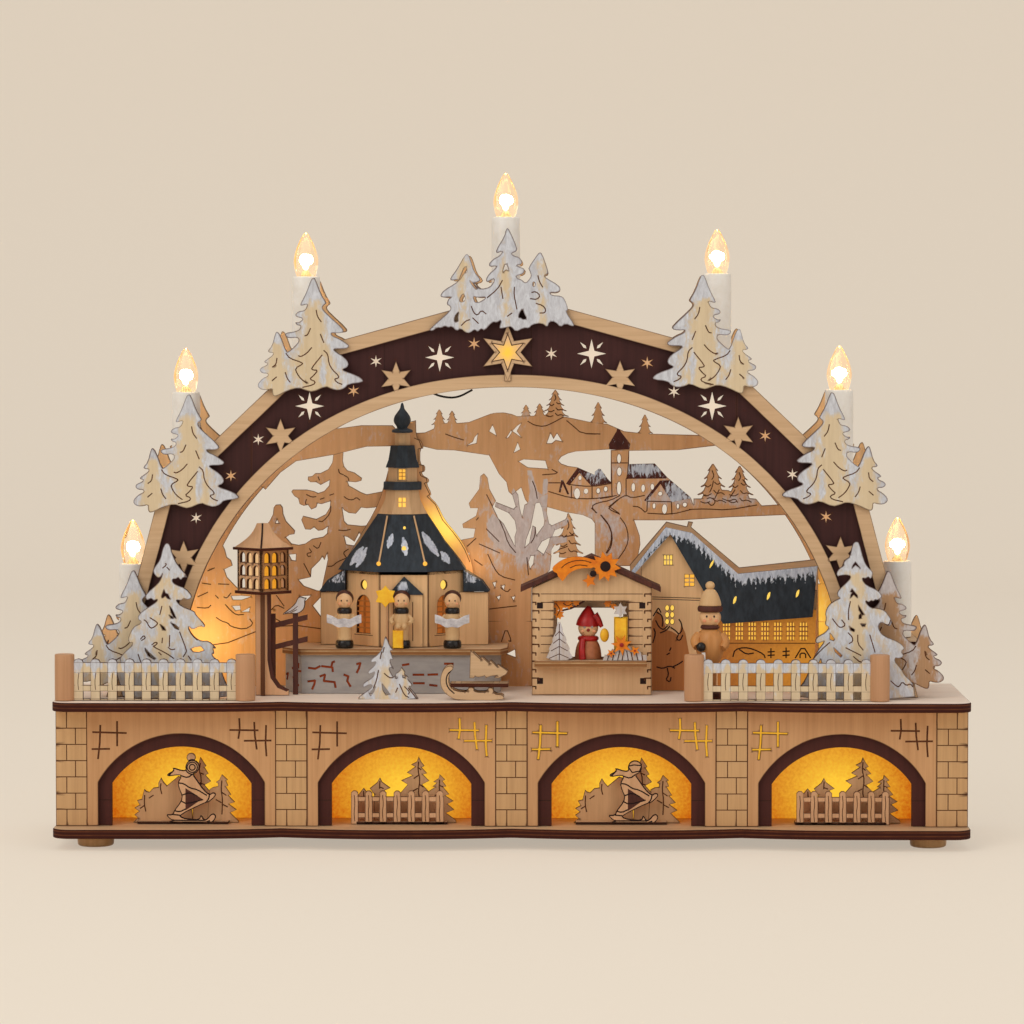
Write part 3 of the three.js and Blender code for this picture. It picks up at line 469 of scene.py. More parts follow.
def flatBoard(solids, holes=(), grooves=(), paints=(), place=None, thick=3.0, face="birch",
              edge="burnt", groove="scorch", sunk=0.35, soft=0.0, grid=3.2, snow=None, rim=0.7):
    # outlines cut each other into one net of triangles; a triangle stays if a solid holds it and no hole
    # does, grooves sink a little, paints only change the finish, and walls close the rest
    shapes = [*solids, *holes, *grooves, *(outline for _, outline in paints)]
    loops = []
    for outline in shapes:
        outline = np.asarray(outline, float)
        turned = np.roll(outline, -1, 0)
        area = (outline[:, 0] * turned[:, 1] - turned[:, 0] * outline[:, 1]).sum()
        loops.append(outline if area > 0 else outline[::-1])
    counts = np.array([len(loop) for loop in loops])
    firsts = np.cumsum(counts) - counts
    extra = []
    cutting = loops[:len(solids) + len(holes)]
    starts = np.vstack(cutting)
    ends = np.vstack([np.roll(loop, -1, 0) for loop in cutting])
    if rim:
        run = ends - starts
        length = np.linalg.norm(run, axis=1)
        steps = np.maximum(1, np.round(length / 1.6)).astype(int)
        owner = np.repeat(np.arange(len(starts)), steps)
        order = np.arange(steps.sum()) - np.repeat(np.cumsum(steps) - steps, steps)
        share = (order + 0.5) / steps[owner]
        side = np.stack([-run[:, 1], run[:, 0]], 1) / np.maximum(length, 1e-9)[:, None]
        base = starts[owner] + run[owner] * share[:, None]
        for away in (rim, -rim):
            extra.append(base + side[owner] * away)
    if grid:
        low, high = starts.min(0), starts.max(0)
        across = np.arange(low[0], high[0], grid)
        up = np.arange(low[1], high[1], grid)
        mesh = np.stack(np.meshgrid(across, up, indexing="ij"), 2)
        mesh[:, ::2, 0] += grid / 2
        extra.append(mesh.reshape(-1, 2))
    if extra:
        extra = np.vstack(extra)
        extra = extra[edgeGap(extra, starts, ends) > rim * 0.9]
    else:
        extra = np.zeros((0, 2))
    points = np.vstack([*loops, extra])
    faces = [list(range(first, first + count)) for first, count in zip(firsts, counts)]
    net = delaunay_2d_cdt([Vector(p) for p in points], [], faces, 1, 1e-5, True)
    points = np.array([tuple(p) for p in net[0]])
    triangles, levels, slots = [], [], []
    holeFrom, grooveFrom = len(solids), len(solids) + len(holes)
    paintFrom = grooveFrom + len(grooves)
    names = [face, edge, groove]
    for name, _ in paints:
        if name not in names:
            names.append(name)
    for triangle, owners in zip(net[2], net[5]):
        inside = False
        level, paint = 0, 0
        for owner in owners:
            if owner < holeFrom:
                inside = True
            elif owner < grooveFrom:
                inside = False
                break
            elif owner < paintFrom:
                level = 1
            else:
                paint = max(paint, owner - paintFrom + 1)
        if inside and len(triangle) == 3:
            triangles.append(triangle)
            levels.append(level)
            slots.append(2 if level else names.index(paints[paint - 1][0]) if paint else 0)
    triangles, levels, slots = np.array(triangles), np.array(levels), np.array(slots)
    a, b, c = (points[triangles[:, i]] for i in range(3))
    area = (b - a)[:, 0] * (c - a)[:, 1] - (b - a)[:, 1] * (c - a)[:, 0]
    triangles = np.where(area[:, None] < 0, triangles[:, ::-1], triangles)
    keep = np.abs(area) > 1e-7
    triangles, levels, slots = triangles[keep], levels[keep], slots[keep]

    total = len(points)
    tail = triangles.ravel()
    head = np.roll(triangles, -1, 1).ravel()
    owner = np.repeat(np.arange(len(triangles)), 3)
    key = tail * total + head
    order = np.argsort(key)
    found = np.searchsorted(key[order], head * total + tail)
    found = np.minimum(found, len(key) - 1)
    match = order[found]
    paired = key[match] == head * total + tail
    outer = ~paired
    drop = paired & (levels[owner] == 0) & (levels[owner[match]] == 1)

    gap = edgeGap(points, points[tail[outer]], points[head[outer]])
    bevel = np.zeros_like(points)
    if soft:
        run = points[head[outer]] - points[tail[outer]]
        run /= np.maximum(np.linalg.norm(run, axis=1, keepdims=True), 1e-9)
        inward = np.stack([-run[:, 1], run[:, 0]], 1)
        np.add.at(bevel, tail[outer], inward)
        np.add.at(bevel, head[outer], inward)
        bevel /= np.maximum(np.linalg.norm(bevel, axis=1, keepdims=True), 1e-9)

    # rows of points: face, sunk face, rounded front rim, back
    depths = [0.0, sunk, soft, thick - soft, thick]
    flat = [points + bevel * soft, points, points, points, points + bevel * soft]
    rows = np.vstack([np.column_stack([p, np.full(total, d)]) for p, d in zip(flat, depths)])
    level = levels[:, None] * total
    blocks = [triangles + level, triangles[:, ::-1] + total * 4]
    marks = [slots, np.zeros(len(triangles), int)]
    t, h = tail[outer], head[outer]
    edgeLevel = levels[owner[outer]] * total
    rings = [2, 3, 4] if soft else [4]
    low = (t + edgeLevel, h + edgeLevel)
    for ring in rings:
        high = (t + total * ring, h + total * ring)
        blocks.append(np.column_stack([low[0], high[0], high[1], low[1]]))
        marks.append(np.ones(len(t), int))
        low = high
    t, h = tail[drop], head[drop]
    blocks.append(np.column_stack([t, t + total, h + total, h]))
    marks.append(np.full(len(t), 2))
    origin, across, up = place
    out = np.cross(across, up)
    verts = origin + rows[:, :1] * across + rows[:, 1:2] * up - rows[:, 2:] * out
    burn = np.tile(np.clip(1 - gap / (rim * 2 if rim else 1.0), 0, 1), 5)
    if not rim:
        burn[:] = 0
    cover = np.zeros(len(rows)) if snow is None else np.clip(snow(rows[:, 0], rows[:, 1]), -1, 2)
    bent = [False, False, *[True] * len(rings), False]  # only the outer walls are shaded round
    return {"verts": verts, "faces": blocks, "marks": marks, "names": names, "bent": bent,
            "burn": burn, "across": rows[:, 2] / thick, "snow": cover}


def shining(part, lit):
    # how near its lamp a part is: one number for all of it, or one for each of its points
    part["lit"] = np.broadcast_to(lit, len(part["verts"]))
    return part


def glowPane(outline, place, depth, lit, finish="windowGlow"):
    # a thin lit sheet behind a cut-out
    origin, across, up = place
    behind = np.array([origin - np.cross(across, up) * depth, across, up])
    return shining(flatBoard([outline], place=behind, thick=0.6, face=finish, edge=finish, rim=0, grid=2.0),
                   lit)


def strips(outlines, place, thick, finish):
    # bars or twigs of one finish, without a burnt rim
    return flatBoard(outlines, place=place, thick=thick, face=finish, edge=finish, rim=0, grid=0)


def surface(grid, finish):
    # a grid of points, rows along the piece and columns round it, closed at its ends by fans; where the
    # volume comes out negative, the faces point inwards and are turned round
    rows, columns = grid.shape[:2]
    left = np.arange(rows * columns).reshape(rows, columns)
    right = np.roll(left, -1, 1)
    points = grid.reshape(-1, 3)
    start = np.column_stack([right[0], left[0], np.full(columns, len(points))])
    end = np.column_stack([left[-1], right[-1], np.full(columns, len(points) + 1)])
    blocks = [np.stack([left[:-1], right[:-1], right[1:], left[1:]], 2).reshape(-1, 4), start, end]
    verts = np.vstack([points, grid[0].mean(0), grid[-1].mean(0)])
    volume = 0.0
    for block in blocks:
        for i in range(1, block.shape[1] - 1):
            a, b, c = verts[block[:, 0]], verts[block[:, i]], verts[block[:, i + 1]]
            volume += (a * np.cross(b, c)).sum()
    if volume < 0:
        blocks = [block[:, ::-1] for block in blocks]
    marks = [np.zeros(len(block), int) for block in blocks]
    return {"verts": verts, "faces": blocks, "marks": marks, "names": [finish]}


def revolved(profile, centre, finish, sides=28, rounds=2, ripple=None):
    # a turned piece: the profile [radius, height] goes once round its upright axis
    line = smooth(profile, rounds, closed=False)
    angle = np.linspace(0, 2 * np.pi, sides, endpoint=False)
    reach = np.maximum(line[:, :1], 0.02)
    if ripple:
        reach = reach * (1 + ripple(line[:, 1:], angle[None]))
    x = reach * np.cos(angle)
    y = reach * np.sin(angle)
    z = np.broadcast_to(line[:, 1:], x.shape)
    return surface(np.stack([x, y, z], 2) + np.array(centre, float), finish)


def ovoid(centre, radii, finish, sides=20, rows=12):
    # an ellipsoid: latitude along the rows, longitude round them
    lat = np.linspace(-np.pi / 2, np.pi / 2, rows)[:, None]
    lon = np.linspace(0, 2 * np.pi, sides, endpoint=False)[None]
    reach = np.maximum(np.cos(lat), 0.01)
    grid = np.stack([reach * np.cos(lon), reach * np.sin(lon), np.sin(lat) + 0 * lon], 2)
    return surface(grid * np.array(radii) + np.array(centre), finish)


def tube(path, radius, finish, sides=12, rounds=2):
    # a round section carried along a path; radius may be one number or one for each point
    path = np.asarray(path, float)
    width = np.broadcast_to(np.asarray(radius, float), (len(path),))
    line = smooth(np.column_stack([path, width]), rounds, closed=False)
    path, width = line[:, :3], line[:, 3]
    along = np.gradient(path, axis=0)
    along /= np.linalg.norm(along, axis=1, keepdims=True)
    guide = np.array([0.0, 0.0, 1.0]) if abs(along[:, 2]).mean() < 0.7 else np.array([0.0, 1.0, 0.0])
    side = np.cross(along, guide)
    side /= np.linalg.norm(side, axis=1, keepdims=True)
    up = np.cross(side, along)
    angle = np.linspace(0, 2 * np.pi, sides, endpoint=False)[None, :, None]
    section = side[:, None] * np.cos(angle) + up[:, None] * np.sin(angle)
    return surface(path[:, None] + width[:, None, None] * section, finish)


def figureParts(rows, at, side=1):
    # turned, round and bent parts, measured from a figure's foot: kind, finish, profile, centre or path,
    # then the radii and how finely it is cut; side -1 mirrors it
    parts = []
    for kind, finish, shape, *rest in rows:
        if kind == "turned":
            parts.append(revolved(shape, at, finish, *rest))
        else:
            make = ovoid if kind == "ball" else tube
            parts.append(make(np.array(shape) * (side, 1, 1) + at, rest[0], finish, *rest[1:]))
    return parts


def wholeFigure(figure):
    # the body, what both sides have alike, and the nose
    parts = figureParts(figure["body"], figure["at"])
    for side in (-1, 1):
        parts += figureParts(figure["sides"], figure["at"], side)
    return parts + figureParts(figure["nose"], figure["at"])


def makePiece(name, parts, nodes=(), body="arch", crease=32.0):
    # joins the parts' arrays into one mesh and tells the frame what it stands for
    names = []
    for part in parts:
        for finish in part["names"]:
            if finish not in names:
                names.append(finish)
    verts, loops, totals, marks, bent = [], [], [], [], []
    extras = {"burn": [], "across": [], "snow": [], "lit": []}
    base = 0
    for part in parts:
        lookup = np.array([names.index(finish) for finish in part["names"]])
        verts.append(part["verts"])
        flags = part.get("bent") or [True] * len(part["faces"])
        for block, mark, flag in zip(part["faces"], part["marks"], flags):
            loops.append(block.ravel() + base)
            totals.append(np.full(len(block), block.shape[1]))
            marks.append(lookup[mark])
            bent.append(np.full(len(block), flag))
        for key, rows in extras.items():
            value = part.get(key)
            rows.append(np.zeros(len(part["verts"])) if value is None else value)
        base += len(part["verts"])
    verts, loops, totals, marks, bent = map(np.concatenate, (verts, loops, totals, marks, bent))
    used = np.zeros(len(verts), bool)
    used[loops] = True
    renumber = np.cumsum(used) - 1
    mesh = bpy.data.meshes.new(name)
    mesh.vertices.add(int(used.sum()))
    mesh.vertices.foreach_set("co", (verts[used] * mm).ravel())
    mesh.loops.add(len(loops))
    mesh.loops.foreach_set("vertex_index", renumber[loops])
    mesh.polygons.add(len(totals))
    mesh.polygons.foreach_set("loop_start", np.cumsum(totals) - totals)
    mesh.polygons.foreach_set("loop_total", totals)
    mesh.polygons.foreach_set("material_index", marks)
    mesh.polygons.foreach_set("use_smooth", bent)
    mesh.update(calc_edges=True)
    mesh.set_sharp_from_angle(angle=np.radians(crease))
    for key, rows in extras.items():
        values = np.concatenate(rows)[used]
        if values.any():
            mesh.attributes.new(key, "FLOAT", "POINT").data.foreach_set("value", values)
    for finish in names:
        mesh.materials.append(finishes[finish])
    piece = bpy.data.objects.new(name, mesh)
    bpy.context.collection.objects.link(piece)
    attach(piece, body)
    if nodes:
        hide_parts(*nodes)
    return piece


def dress(node, finish):
    # a CAD node keeps its shape and takes a finish
    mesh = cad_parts[node].data
    mesh.materials.clear()
    mesh.materials.append(finishes[finish])


print("finishes and helpers ready")

plinth = {
    "half": 300.0, "front": -75.0, "rear": 75.0, "dip": 10.0, "corner": 12.0,
    "plate": 6.0, "facade": -55.0, "shine": -51.95, "trimFront": -51.7, "bayPitch": 144.4,
    "columns": (-288.8, -144.4, 0.0, 144.4, 288.8), "columnHalf": 10.2,
    "courses": (25.2, 35.8, 46.5, 57.2, 67.9, 78.6), "joint": (3.0, -2.8),  # how far the joints step aside
    "shoulder": 29.0, "nicheHalf": 54.6, "nicheTop": 61.0, "trim": 8.8, "low": floorZ + 0.3,
    "high": floorZ + 76.7, "shineBox": (-60, floorZ + 43, 60, floorZ + 73), "sill": 5, "trimJoint": 31,
    "foot": pairs(0, 0, 9, 0, 11.4, 0.5, 12, 2, 12, 5.5, 11.4, 7.4, 9, 7.7, 0, 7.7),
    "footX": {"left": -274.0, "right": 274.0}, "footY": {"front": -45.0, "rear": 55.0},
}
bays = [(i - 1.5) * plinth["bayPitch"] for i in range(4)]


def plateOutline(steps=160):
    # the front edge swings out between kinks by a square law; quarter circles turn its corners
    half, corner, front = plinth["half"], plinth["corner"], plinth["front"]
    wave = half / 4
    across = np.linspace(-half + corner, half - corner, steps)
    away = np.where(np.abs(across) > half - wave, 0, (np.abs(across) % (wave * 2)) - wave)
    edge = np.stack([across, front + plinth["dip"] * (away / wave) ** 2], 1)
    turn = np.linspace(np.pi, 1.5 * np.pi, 9)[:-1]
    quarter = np.stack([corner * np.cos(turn), corner * np.sin(turn)], 1)
    left = quarter + (-half + corner, front + corner)
    right = (quarter * (-1, 1))[::-1] + (half - corner, front + corner)
    rear = pairs(half, plinth["rear"], -half, plinth["rear"])
    return np.vstack([left, edge, right, rear])


def nicheShape(x, half, low, shoulder, top, steps=48):
    # upright jambs under one arc through both shoulders and the crown
    rise = top - shoulder
    radius = (half ** 2 + rise ** 2) / (2 * rise)
    angle = np.linspace(1, -1, steps) * np.arcsin(half / radius)
    arc = np.stack([x + radius * np.sin(angle), top - radius + radius * np.cos(angle)], 1)
    return np.vstack([pairs(x - half, low, x + half, low), arc])


def brickLines():
    # borders and courses of the five engraved columns; the joints of even courses step aside
    lines = []
    low, high, half = plinth["low"], plinth["high"], plinth["columnHalf"]
    levels = [low, *plinth["courses"], high]
    for number, x in enumerate(plinth["columns"]):
        side = -1 if number < 3 else 1
        lines += [[(edge, low), (edge, high)] for edge in (x - half, x + half)
                  if abs(edge) < plinth["half"] - 2]
        lines += [[(x - half, z), (x + half, z)] for z in plinth["courses"]]
        for i, (start, end) in enumerate(zip(levels[:-1], levels[1:])):
            joint = x + side * plinth["joint"][i % 2]
            lines.append([(joint, start), (joint, end)])
    return lines


slitMarks = {
    "left": [[(-58, 62), (-36, 61.4)], [(-58.5, 50.8), (-47, 51)],
             [(-53, 66.5), (-53.4, 55), (-54.6, 44.5)], [(-42, 69), (-42, 53)]],
    "right": [[(32, 63.5), (50.5, 63.3)], [(41.5, 56.4), (59, 56.6)],
              [(38.2, 71), (38.5, 64), (37.6, 58)], [(48, 68.5), (48.4, 60), (49.6, 51)],
              [(55.8, 66.5), (55.4, 55), (56, 46.5)]],
}
openSlits = {(1, "right"), (2, "left"), (2, "right"), (3, "left")}  # the rest are only burnt in


def buildPlates():
    outline = plateOutline()
    for name, top, finish in (("bottom", floorZ, "birch"), ("top", deckZ, "deckWash")):
        plate = flatBoard([outline], place=lying(top), thick=plinth["plate"], face=finish, edge="plateEdge",
                          soft=0.5)
        makePiece(f"{name}Plate", [plate], [f"{name}_plate"])


def buildFacade():
    # the front with its niches, engraved columns and slits, and the dark trim board behind it
    low, high, half = plinth["low"], plinth["high"], plinth["columnHalf"]
    end = plinth["half"] - 1
    top, shoulder = floorZ + plinth["nicheTop"], floorZ + plinth["shoulder"]
    niches = [nicheShape(x, plinth["nicheHalf"], low - 1, shoulder, top) for x in bays]
    slits = {True: [], False: []}
    for bay, x in enumerate(bays):
        for side, marks in slitMarks.items():
            slits[(bay, side) in openSlits] += [[(x + u, floorZ + v) for u, v in line] for line in marks]
    burnt = strokes(brickLines(), 0.6, 0) + strokes(slits[False], 1.2, 0)
    columns = [("brickBirch", rectangle(max(x - half, -end), low, min(x + half, end), high))
               for x in plinth["columns"]]
    facade = flatBoard([rectangle(-end, low, end, high)], [*niches, *strokes(slits[True], 1.3, 0)], burnt,
                       columns, standing(plinth["facade"]), rim=0.6, face="facadeBirch")
    # the open slits show a lit sheet that leaves the niches free
    lit = [rectangle(*plinth["shineBox"]) + (x, 0) for x in bays]
    shine = flatBoard(lit, niches, place=standing(plinth["shine"]), thick=0.2, face="niche", edge="niche",
                      rim=0, grid=0)
    makePiece("facade", [facade, shining(shine, 0.55)], ["front_wall"])

    lap, inner = plinth["nicheHalf"] + 4, plinth["nicheHalf"] - plinth["trim"]
    trims = [nicheShape(x, lap, low, shoulder, top + 4) for x in bays]
    sill = rectangle(bays[0], low, bays[3], low + plinth["sill"])
    gaps = [nicheShape(x, inner, low - 1, shoulder - 1, top - plinth["trim"]) for x in bays]
    z = plinth["trimJoint"]
    joints = [[(x + side * (inner - 0.5), z), (x + side * (inner + 12), z)] for x in bays
              for side in (-1, 1)]
    trim = flatBoard([*trims, sill], gaps, strokes(joints, 0.35, 0), place=standing(plinth["trimFront"]),
                     face="stainedTrim", edge="stainedEdge", groove="scorchDark", sunk=0.2)
    makePiece("nicheTrim", [trim], ["trim_board"])


def buildFeet():
    for row, y in plinth["footY"].items():
        for side, x in plinth["footX"].items():
            name = f"foot_{row}_{side}"
            makePiece(name, [revolved(plinth["foot"], (x, y, 0), "turned", 36)], [name])


buildPlates()
buildFacade()
for name in ("left_wall", "right_wall", "rear_board"):
    dress(name, "birch")
dress("lamp_rail", "ivory")
buildFeet()
print("plinth done")


glowSheet = {
    "half": 295.6, "low": 14.3, "high": 90.7, "y": -10.0, "lampHeight": 33.0, "reach": 50.0, "bulge": 0.35,
}


def buildGlowSheet():
    # a sheet on a grid; its lit value falls off with the distance to the nearest lamp
    across = np.linspace(-glowSheet["half"], glowSheet["half"], 240)
    x, z = np.meshgrid(across, np.linspace(glowSheet["low"], glowSheet["high"], 34), indexing="ij")
    y = glowSheet["y"] + glowSheet["bulge"] * np.sin(x * 0.9) * np.sin(z * 0.8)
    near = np.min([np.hypot(x - bay, (z - glowSheet["lampHeight"]) * 1.25) for bay in bays], 0)
    lit = np.clip(1.12 - (near / glowSheet["reach"]) ** 0.9, 0, 1)
    front, rear = (np.stack([x, y + depth, z], 2) for depth in (0.0, 1.0))
    sheet = surface(np.concatenate([front, rear[:, ::-1]], 1), "niche")
    value = np.concatenate([lit, lit[:, ::-1]], 1).ravel()
    makePiece("glowSheet", [shining(sheet, [*value, 0, 0])], ["glow_sheet"])


buildGlowSheet()
print("glow sheet done")


sideTree = {
    "trunk": (74, 0.33), "lowTrunk": (23.9, 39, 0.32), "streak": (6.5, 13), "cuts": [],
    "outline": pairs(0, 74.1, 1.4, 73.3, 4.6, 64.3, 8.7, 56.7, 7.9, 55.6, 3.8, 57, 4.6, 54.5, 6, 52.6,
                     9.5, 52.2, 12, 50.1, 11.2, 48.4, 7.1, 47.5, 7.4, 46.3, 9.8, 44.7, 12.1, 45, 11, 43.1,
                     8.4, 42.6, 8.7, 40.6, 11.4, 39, 18.6, 37.9, 18.5, 36, 16.4, 34.3, 10.4, 35, 9.4,
                     32.7, 11.4, 30, 16.1, 25.9, 17.7, 25.3, 21.8, 36.5, 23.9, 39, 25.1, 37.6, 27.2, 29.4,
                     30.1, 26.2, 29.2, 25, 26.1, 24.8, 27.2, 22.9, 32.5, 19.3, 31.9, 18.3, 29.9, 17.9,
                     31.2, 16.5, 34.4, 15.2, 35.5, 13.4, 33.8, 11.4, 29.9, 11.2, 29.9, 9.7, 33.2, 8.2,
                     36.5, 4.9, 36.6, 2.2, 33.8, 0.4, 30, 0.5, 27.1, 1.5, 27.1, -1.6, 26.2, -3.8, 23.4,
                     -3.3, 16.9, 0, 9.8, 1.9, 4.9, 0, 0.5, -1.1, -8.2, 2.8, -11.4, 1.1, -16.4, 0, -20.7,
                     1.6, -22.9, 4.3, -32.2, 5.3, -32.8, 7.1, -29.4, 9.8, -20.1, 13, -19.2, 14.1, -22.3,
                     15.2, -23.3, 18, -20.7, 21.8, -13.5, 26.3, -13.7, 27.5, -21.8, 27.5, -23.5, 29.2,
                     -22.3, 30.6, -16.9, 34.2, -12.4, 36, -11.4, 38, -15.8, 37.6, -19.9, 38.3, -19.3,
                     40.9, -8.2, 51.1, -5.9, 54, -6.3, 55.6, -8.4, 57.2, -8.2, 58.3, -4.9, 63.8, -1.2,
                     73.7),
    "lines": [
        pairs(-1.9, 52.9, -2.7, 48.5, -5.2, 45.2), pairs(-4.6, 37.1, -6.8, 31.6),
        pairs(1.9, 40.9, 3.8, 36.5, 5.7, 36), pairs(1.1, 28.3, 4.4, 24.5, 8.2, 22.3, 9.8, 22.9),
        pairs(-5.7, 23.4, 1.4, 14.7, 0.5, 13.6, -3, 13.4, 0, 9.8, 2.7, 7.6, -1.4, 6, 0, 3.8, 7.1, 2.2),
        pairs(-6.8, 26.4, -9.5, 24, -10.1, 18, -12.5, 13.6, -16.6, 9.8, -16.4, 8.2, -13.6, 7.6, -15.3,
              5.5, -18.8, 4.1),
        pairs(24, 21.3, 24.5, 17.4, 27, 15.5), pairs(24.3, 9, 27.2, 6.5),
        pairs(18, 24.5, 15.8, 21.3, 7.6, 18.5, 7.1, 17.4, 12, 14.7, 10.9, 11.4, 8.2, 7.6, 4.4, 4.9),
        pairs(18.5, 12, 17.4, 8.2, 15.3, 5.5),
    ],
}
topTree = {
    "stems": (-29.5, -1.5, 20.5),
    "outline": pairs(-1, 68.4, 0.4, 67, 5.5, 55.4, 4.8, 52.8, 1.4, 51.6, 3.6, 50, 7, 49.1, 8.6, 46.5, 8.3,
                     44.3, 4.8, 44, 7, 42.8, 10.5, 41.5, 9.6, 38.1, 4.8, 37.1, 5.5, 35.2, 8.3, 34.6, 10.8,
                     32.1, 13.3, 34.6, 14.6, 37.1, 13.5, 40.3, 12.6, 42.1, 17.7, 49.7, 19.9, 52.5, 21.8,
                     51.6, 25, 42.8, 26, 38.4, 23.1, 37.1, 24, 35.9, 32.8, 30.8, 34.1, 27.7, 31.6, 25.8,
                     26.5, 26.1, 28.4, 24.2, 34.1, 23.9, 36.6, 22, 39.1, 14.8, 37.2, 13.5, 43.2, 5, 42,
                     3.5, 37.2, 5.7, 33.8, 3.1, 30.3, 6.9, 26.5, 6.9, 25.3, 3.1, 21.5, 6, 15.2, 5, 13.3,
                     2.5, 9.6, 2.8, 4.5, 0, 1.4, 3.8, -1.1, 3.1, -5.5, 2.2, -6.5, 3.1, -4.9, 8.2, -8.1, 6,
                     -10.6, 6.9, -16.2, 0.6, -18.1, 2.5, -20.6, 0, -22.5, 1.9, -25.7, -0.6, -28.5, -0.3,
                     -31.6, 2.5, -34.5, 0.6, -37.6, 3.8, -39.8, 2.8, -42, 4.1, -44.5, 2.5, -47, 3.1,
                     -50.2, 0.6, -52.7, 1.3, -49.6, 4.4, -38.2, 14.5, -38.6, 17, -41.1, 18.2, -39.8, 22,
                     -37.6, 23, -43.9, 22.6, -45.3, 24.2, -42.6, 27.7, -35.1, 32.1, -32.6, 34.6, -38.2,
                     33.7, -38.6, 35.5, -34.5, 40.9, -28.8, 50.9, -26.9, 51.3, -25, 47.2, -22.8, 39.6,
                     -18.7, 35.2, -19.1, 33.3, -23.1, 32.1, -20.6, 29.6, -18.1, 28.3, -12.5, 29.6, -9.9,
                     33.3, -9.9, 35.2, -14.3, 32.4, -15.3, 34.6, -13.1, 38.4, -9.3, 41.5, -8.1, 43.4,
                     -12.5, 42.8, -13.4, 44.7, -10.6, 47.8, -5.5, 50.6, -4.3, 53.2, -8.1, 51.6, -8.6,
                     53.8, -3, 62.9, -2.1, 67),
    "cuts": [
        pairs(-28.6, 44, -27.2, 39.6, -29.8, 38.4, -32.6, 34, -31.6, 37.1),
        pairs(-30.1, 25.8, -28.5, 22, -30.1, 19.8, -32.9, 20.4),
        pairs(-32.6, 13.8, -33.8, 10.1, -33.2, 6.9, -36, 6.9, -35.4, 10.7),
        pairs(-26.3, 34.6, -23.1, 31.4, -20.6, 27.4, -23.8, 30.5),
        pairs(-23.8, 23.6, -20.6, 22.6, -14, 23, -21.6, 18.6),
        pairs(-2.1, 45.9, 0.1, 39.9, -1.8, 41.5, -4.3, 39),
        pairs(8.9, 15.7, 9.9, 12, 11.8, 8.8, 8.9, 8.5, 8, 9.7, 6.4, 9.4, 6.7, 12),
        pairs(16.2, 33.3, 17.4, 31.4, 16.2, 29.6, 15.5, 31.4),
    ],
    "lines": [
        pairs(-4.3, 34, -7.4, 28.3, -14.3, 22.6), pairs(-5.2, 29.6, -4, 22),
        pairs(3.6, 29.6, 3.3, 24.5, 5.2, 15.1), pairs(19, 37.1, 19.9, 33.3, 22.1, 29.6),
        pairs(14.9, 26.1, 17.7, 26.7, 20.6, 23.9, 18.4, 21.4, 14, 22),
        pairs(17.7, 18.9, 22.1, 17.6, 24.3, 14.8, 23.4, 12.6, 20.3, 12.6),
        pairs(-24.7, 17, -23.1, 12.6, -20.6, 11, -18.1, 14.5, -15, 12),
        pairs(-31.3, 4.4, -28.2, 7.5, -25.7, 8.2), pairs(-23.8, 9.4, -20, 5.7),
        pairs(-1.1, 10.4, 2, 12.6),
    ],
}
crowns = [  # middle, foot, side of each candle's trees
    (-249.5, 107.0, -1), (-212.5, 223.0, -1), (-130.3, 299.6, -1), (-1.8, 338.0, 0),
    (125.3, 301.5, 1), (210.5, 224.5, 1), (248.0, 107.0, 1),
]
crownDepth = -36.6


def nearTrunk(axes):
    # snow grows with the distance from the nearest trunk, measured in branch lengths
    def cover(x, z):
        reach = np.full(x.shape, 9.0)
        for middle, foot, height, slope in axes:
            half = 3.0 + np.maximum(foot + height - z, 0) * slope
            reach = np.minimum(reach, np.abs(x - middle) / half)
            tip = np.clip((z - foot - height * 0.72) / (height * 0.14), 0, 1) * (np.abs(x - middle) < 9)
            reach = np.maximum(reach, tip * 1.1)
        return (reach - 0.5) * 1.1 + 0.42
    return cover


def sideCover(middle, foot, side):
    # a tall and a low tree, with one streak of snow between the low one's limbs
    (height, slope), (away, low, lowSlope), (aside, level) = (sideTree[name]
                                                              for name in ("trunk", "lowTrunk", "streak"))
    base = nearTrunk([(middle, foot, height, slope), (middle + side * away, foot, low, lowSlope)])

    def cover(x, z):
        across, up = np.abs(x - middle + side * aside) / 3.2, np.abs(z - foot - level) / 13
        return np.maximum(base(x, z), 0.9 - across ** 2 - up ** 4)
    return cover


def topCover(middle, foot):
    # three trees, whose outer stems lean apart; more snow lies from half their height upwards
    def cover(x, z):
        leans = [x - middle - stem - (z - foot) * 0.03 * np.sign(stem) for stem in topTree["stems"]]
        return 0.28 + np.abs(leans).min(0) * 0.11 + np.clip((z - foot - 45) * 0.05, 0, 0.5)
    return cover


def crownBoard(middle, foot, side, y, finish):
    tree = sideTree if side else topTree
    place = (middle, foot, side < 0)
    outline = moved(smooth(tree["outline"], 1), *place)
    lines = [moved(line, *place) for line in tree["lines"]]
    cuts = [moved(smooth(cut, 1), *place) for cut in tree["cuts"]]
    cover = sideCover(middle, foot, side) if side else topCover(middle, foot)
    return flatBoard([outline], cuts, strokes(lines, 0.75), place=standing(y), face=finish,
                     snow=cover, grid=2.5, rim=0.8)


def buildCrowns():
    for number, crown in enumerate(crowns, 1):
        finish = "shadeSnow" if number == len(crowns) else "birchSnow"  # the last one stands in shade, which its darker finish paints in
        board = crownBoard(*crown, crownDepth, finish)
        makePiece(f"crownTrees_{number}", [board], [f"tree_cluster_{number}"])


buildCrowns()
print("crown trees done")


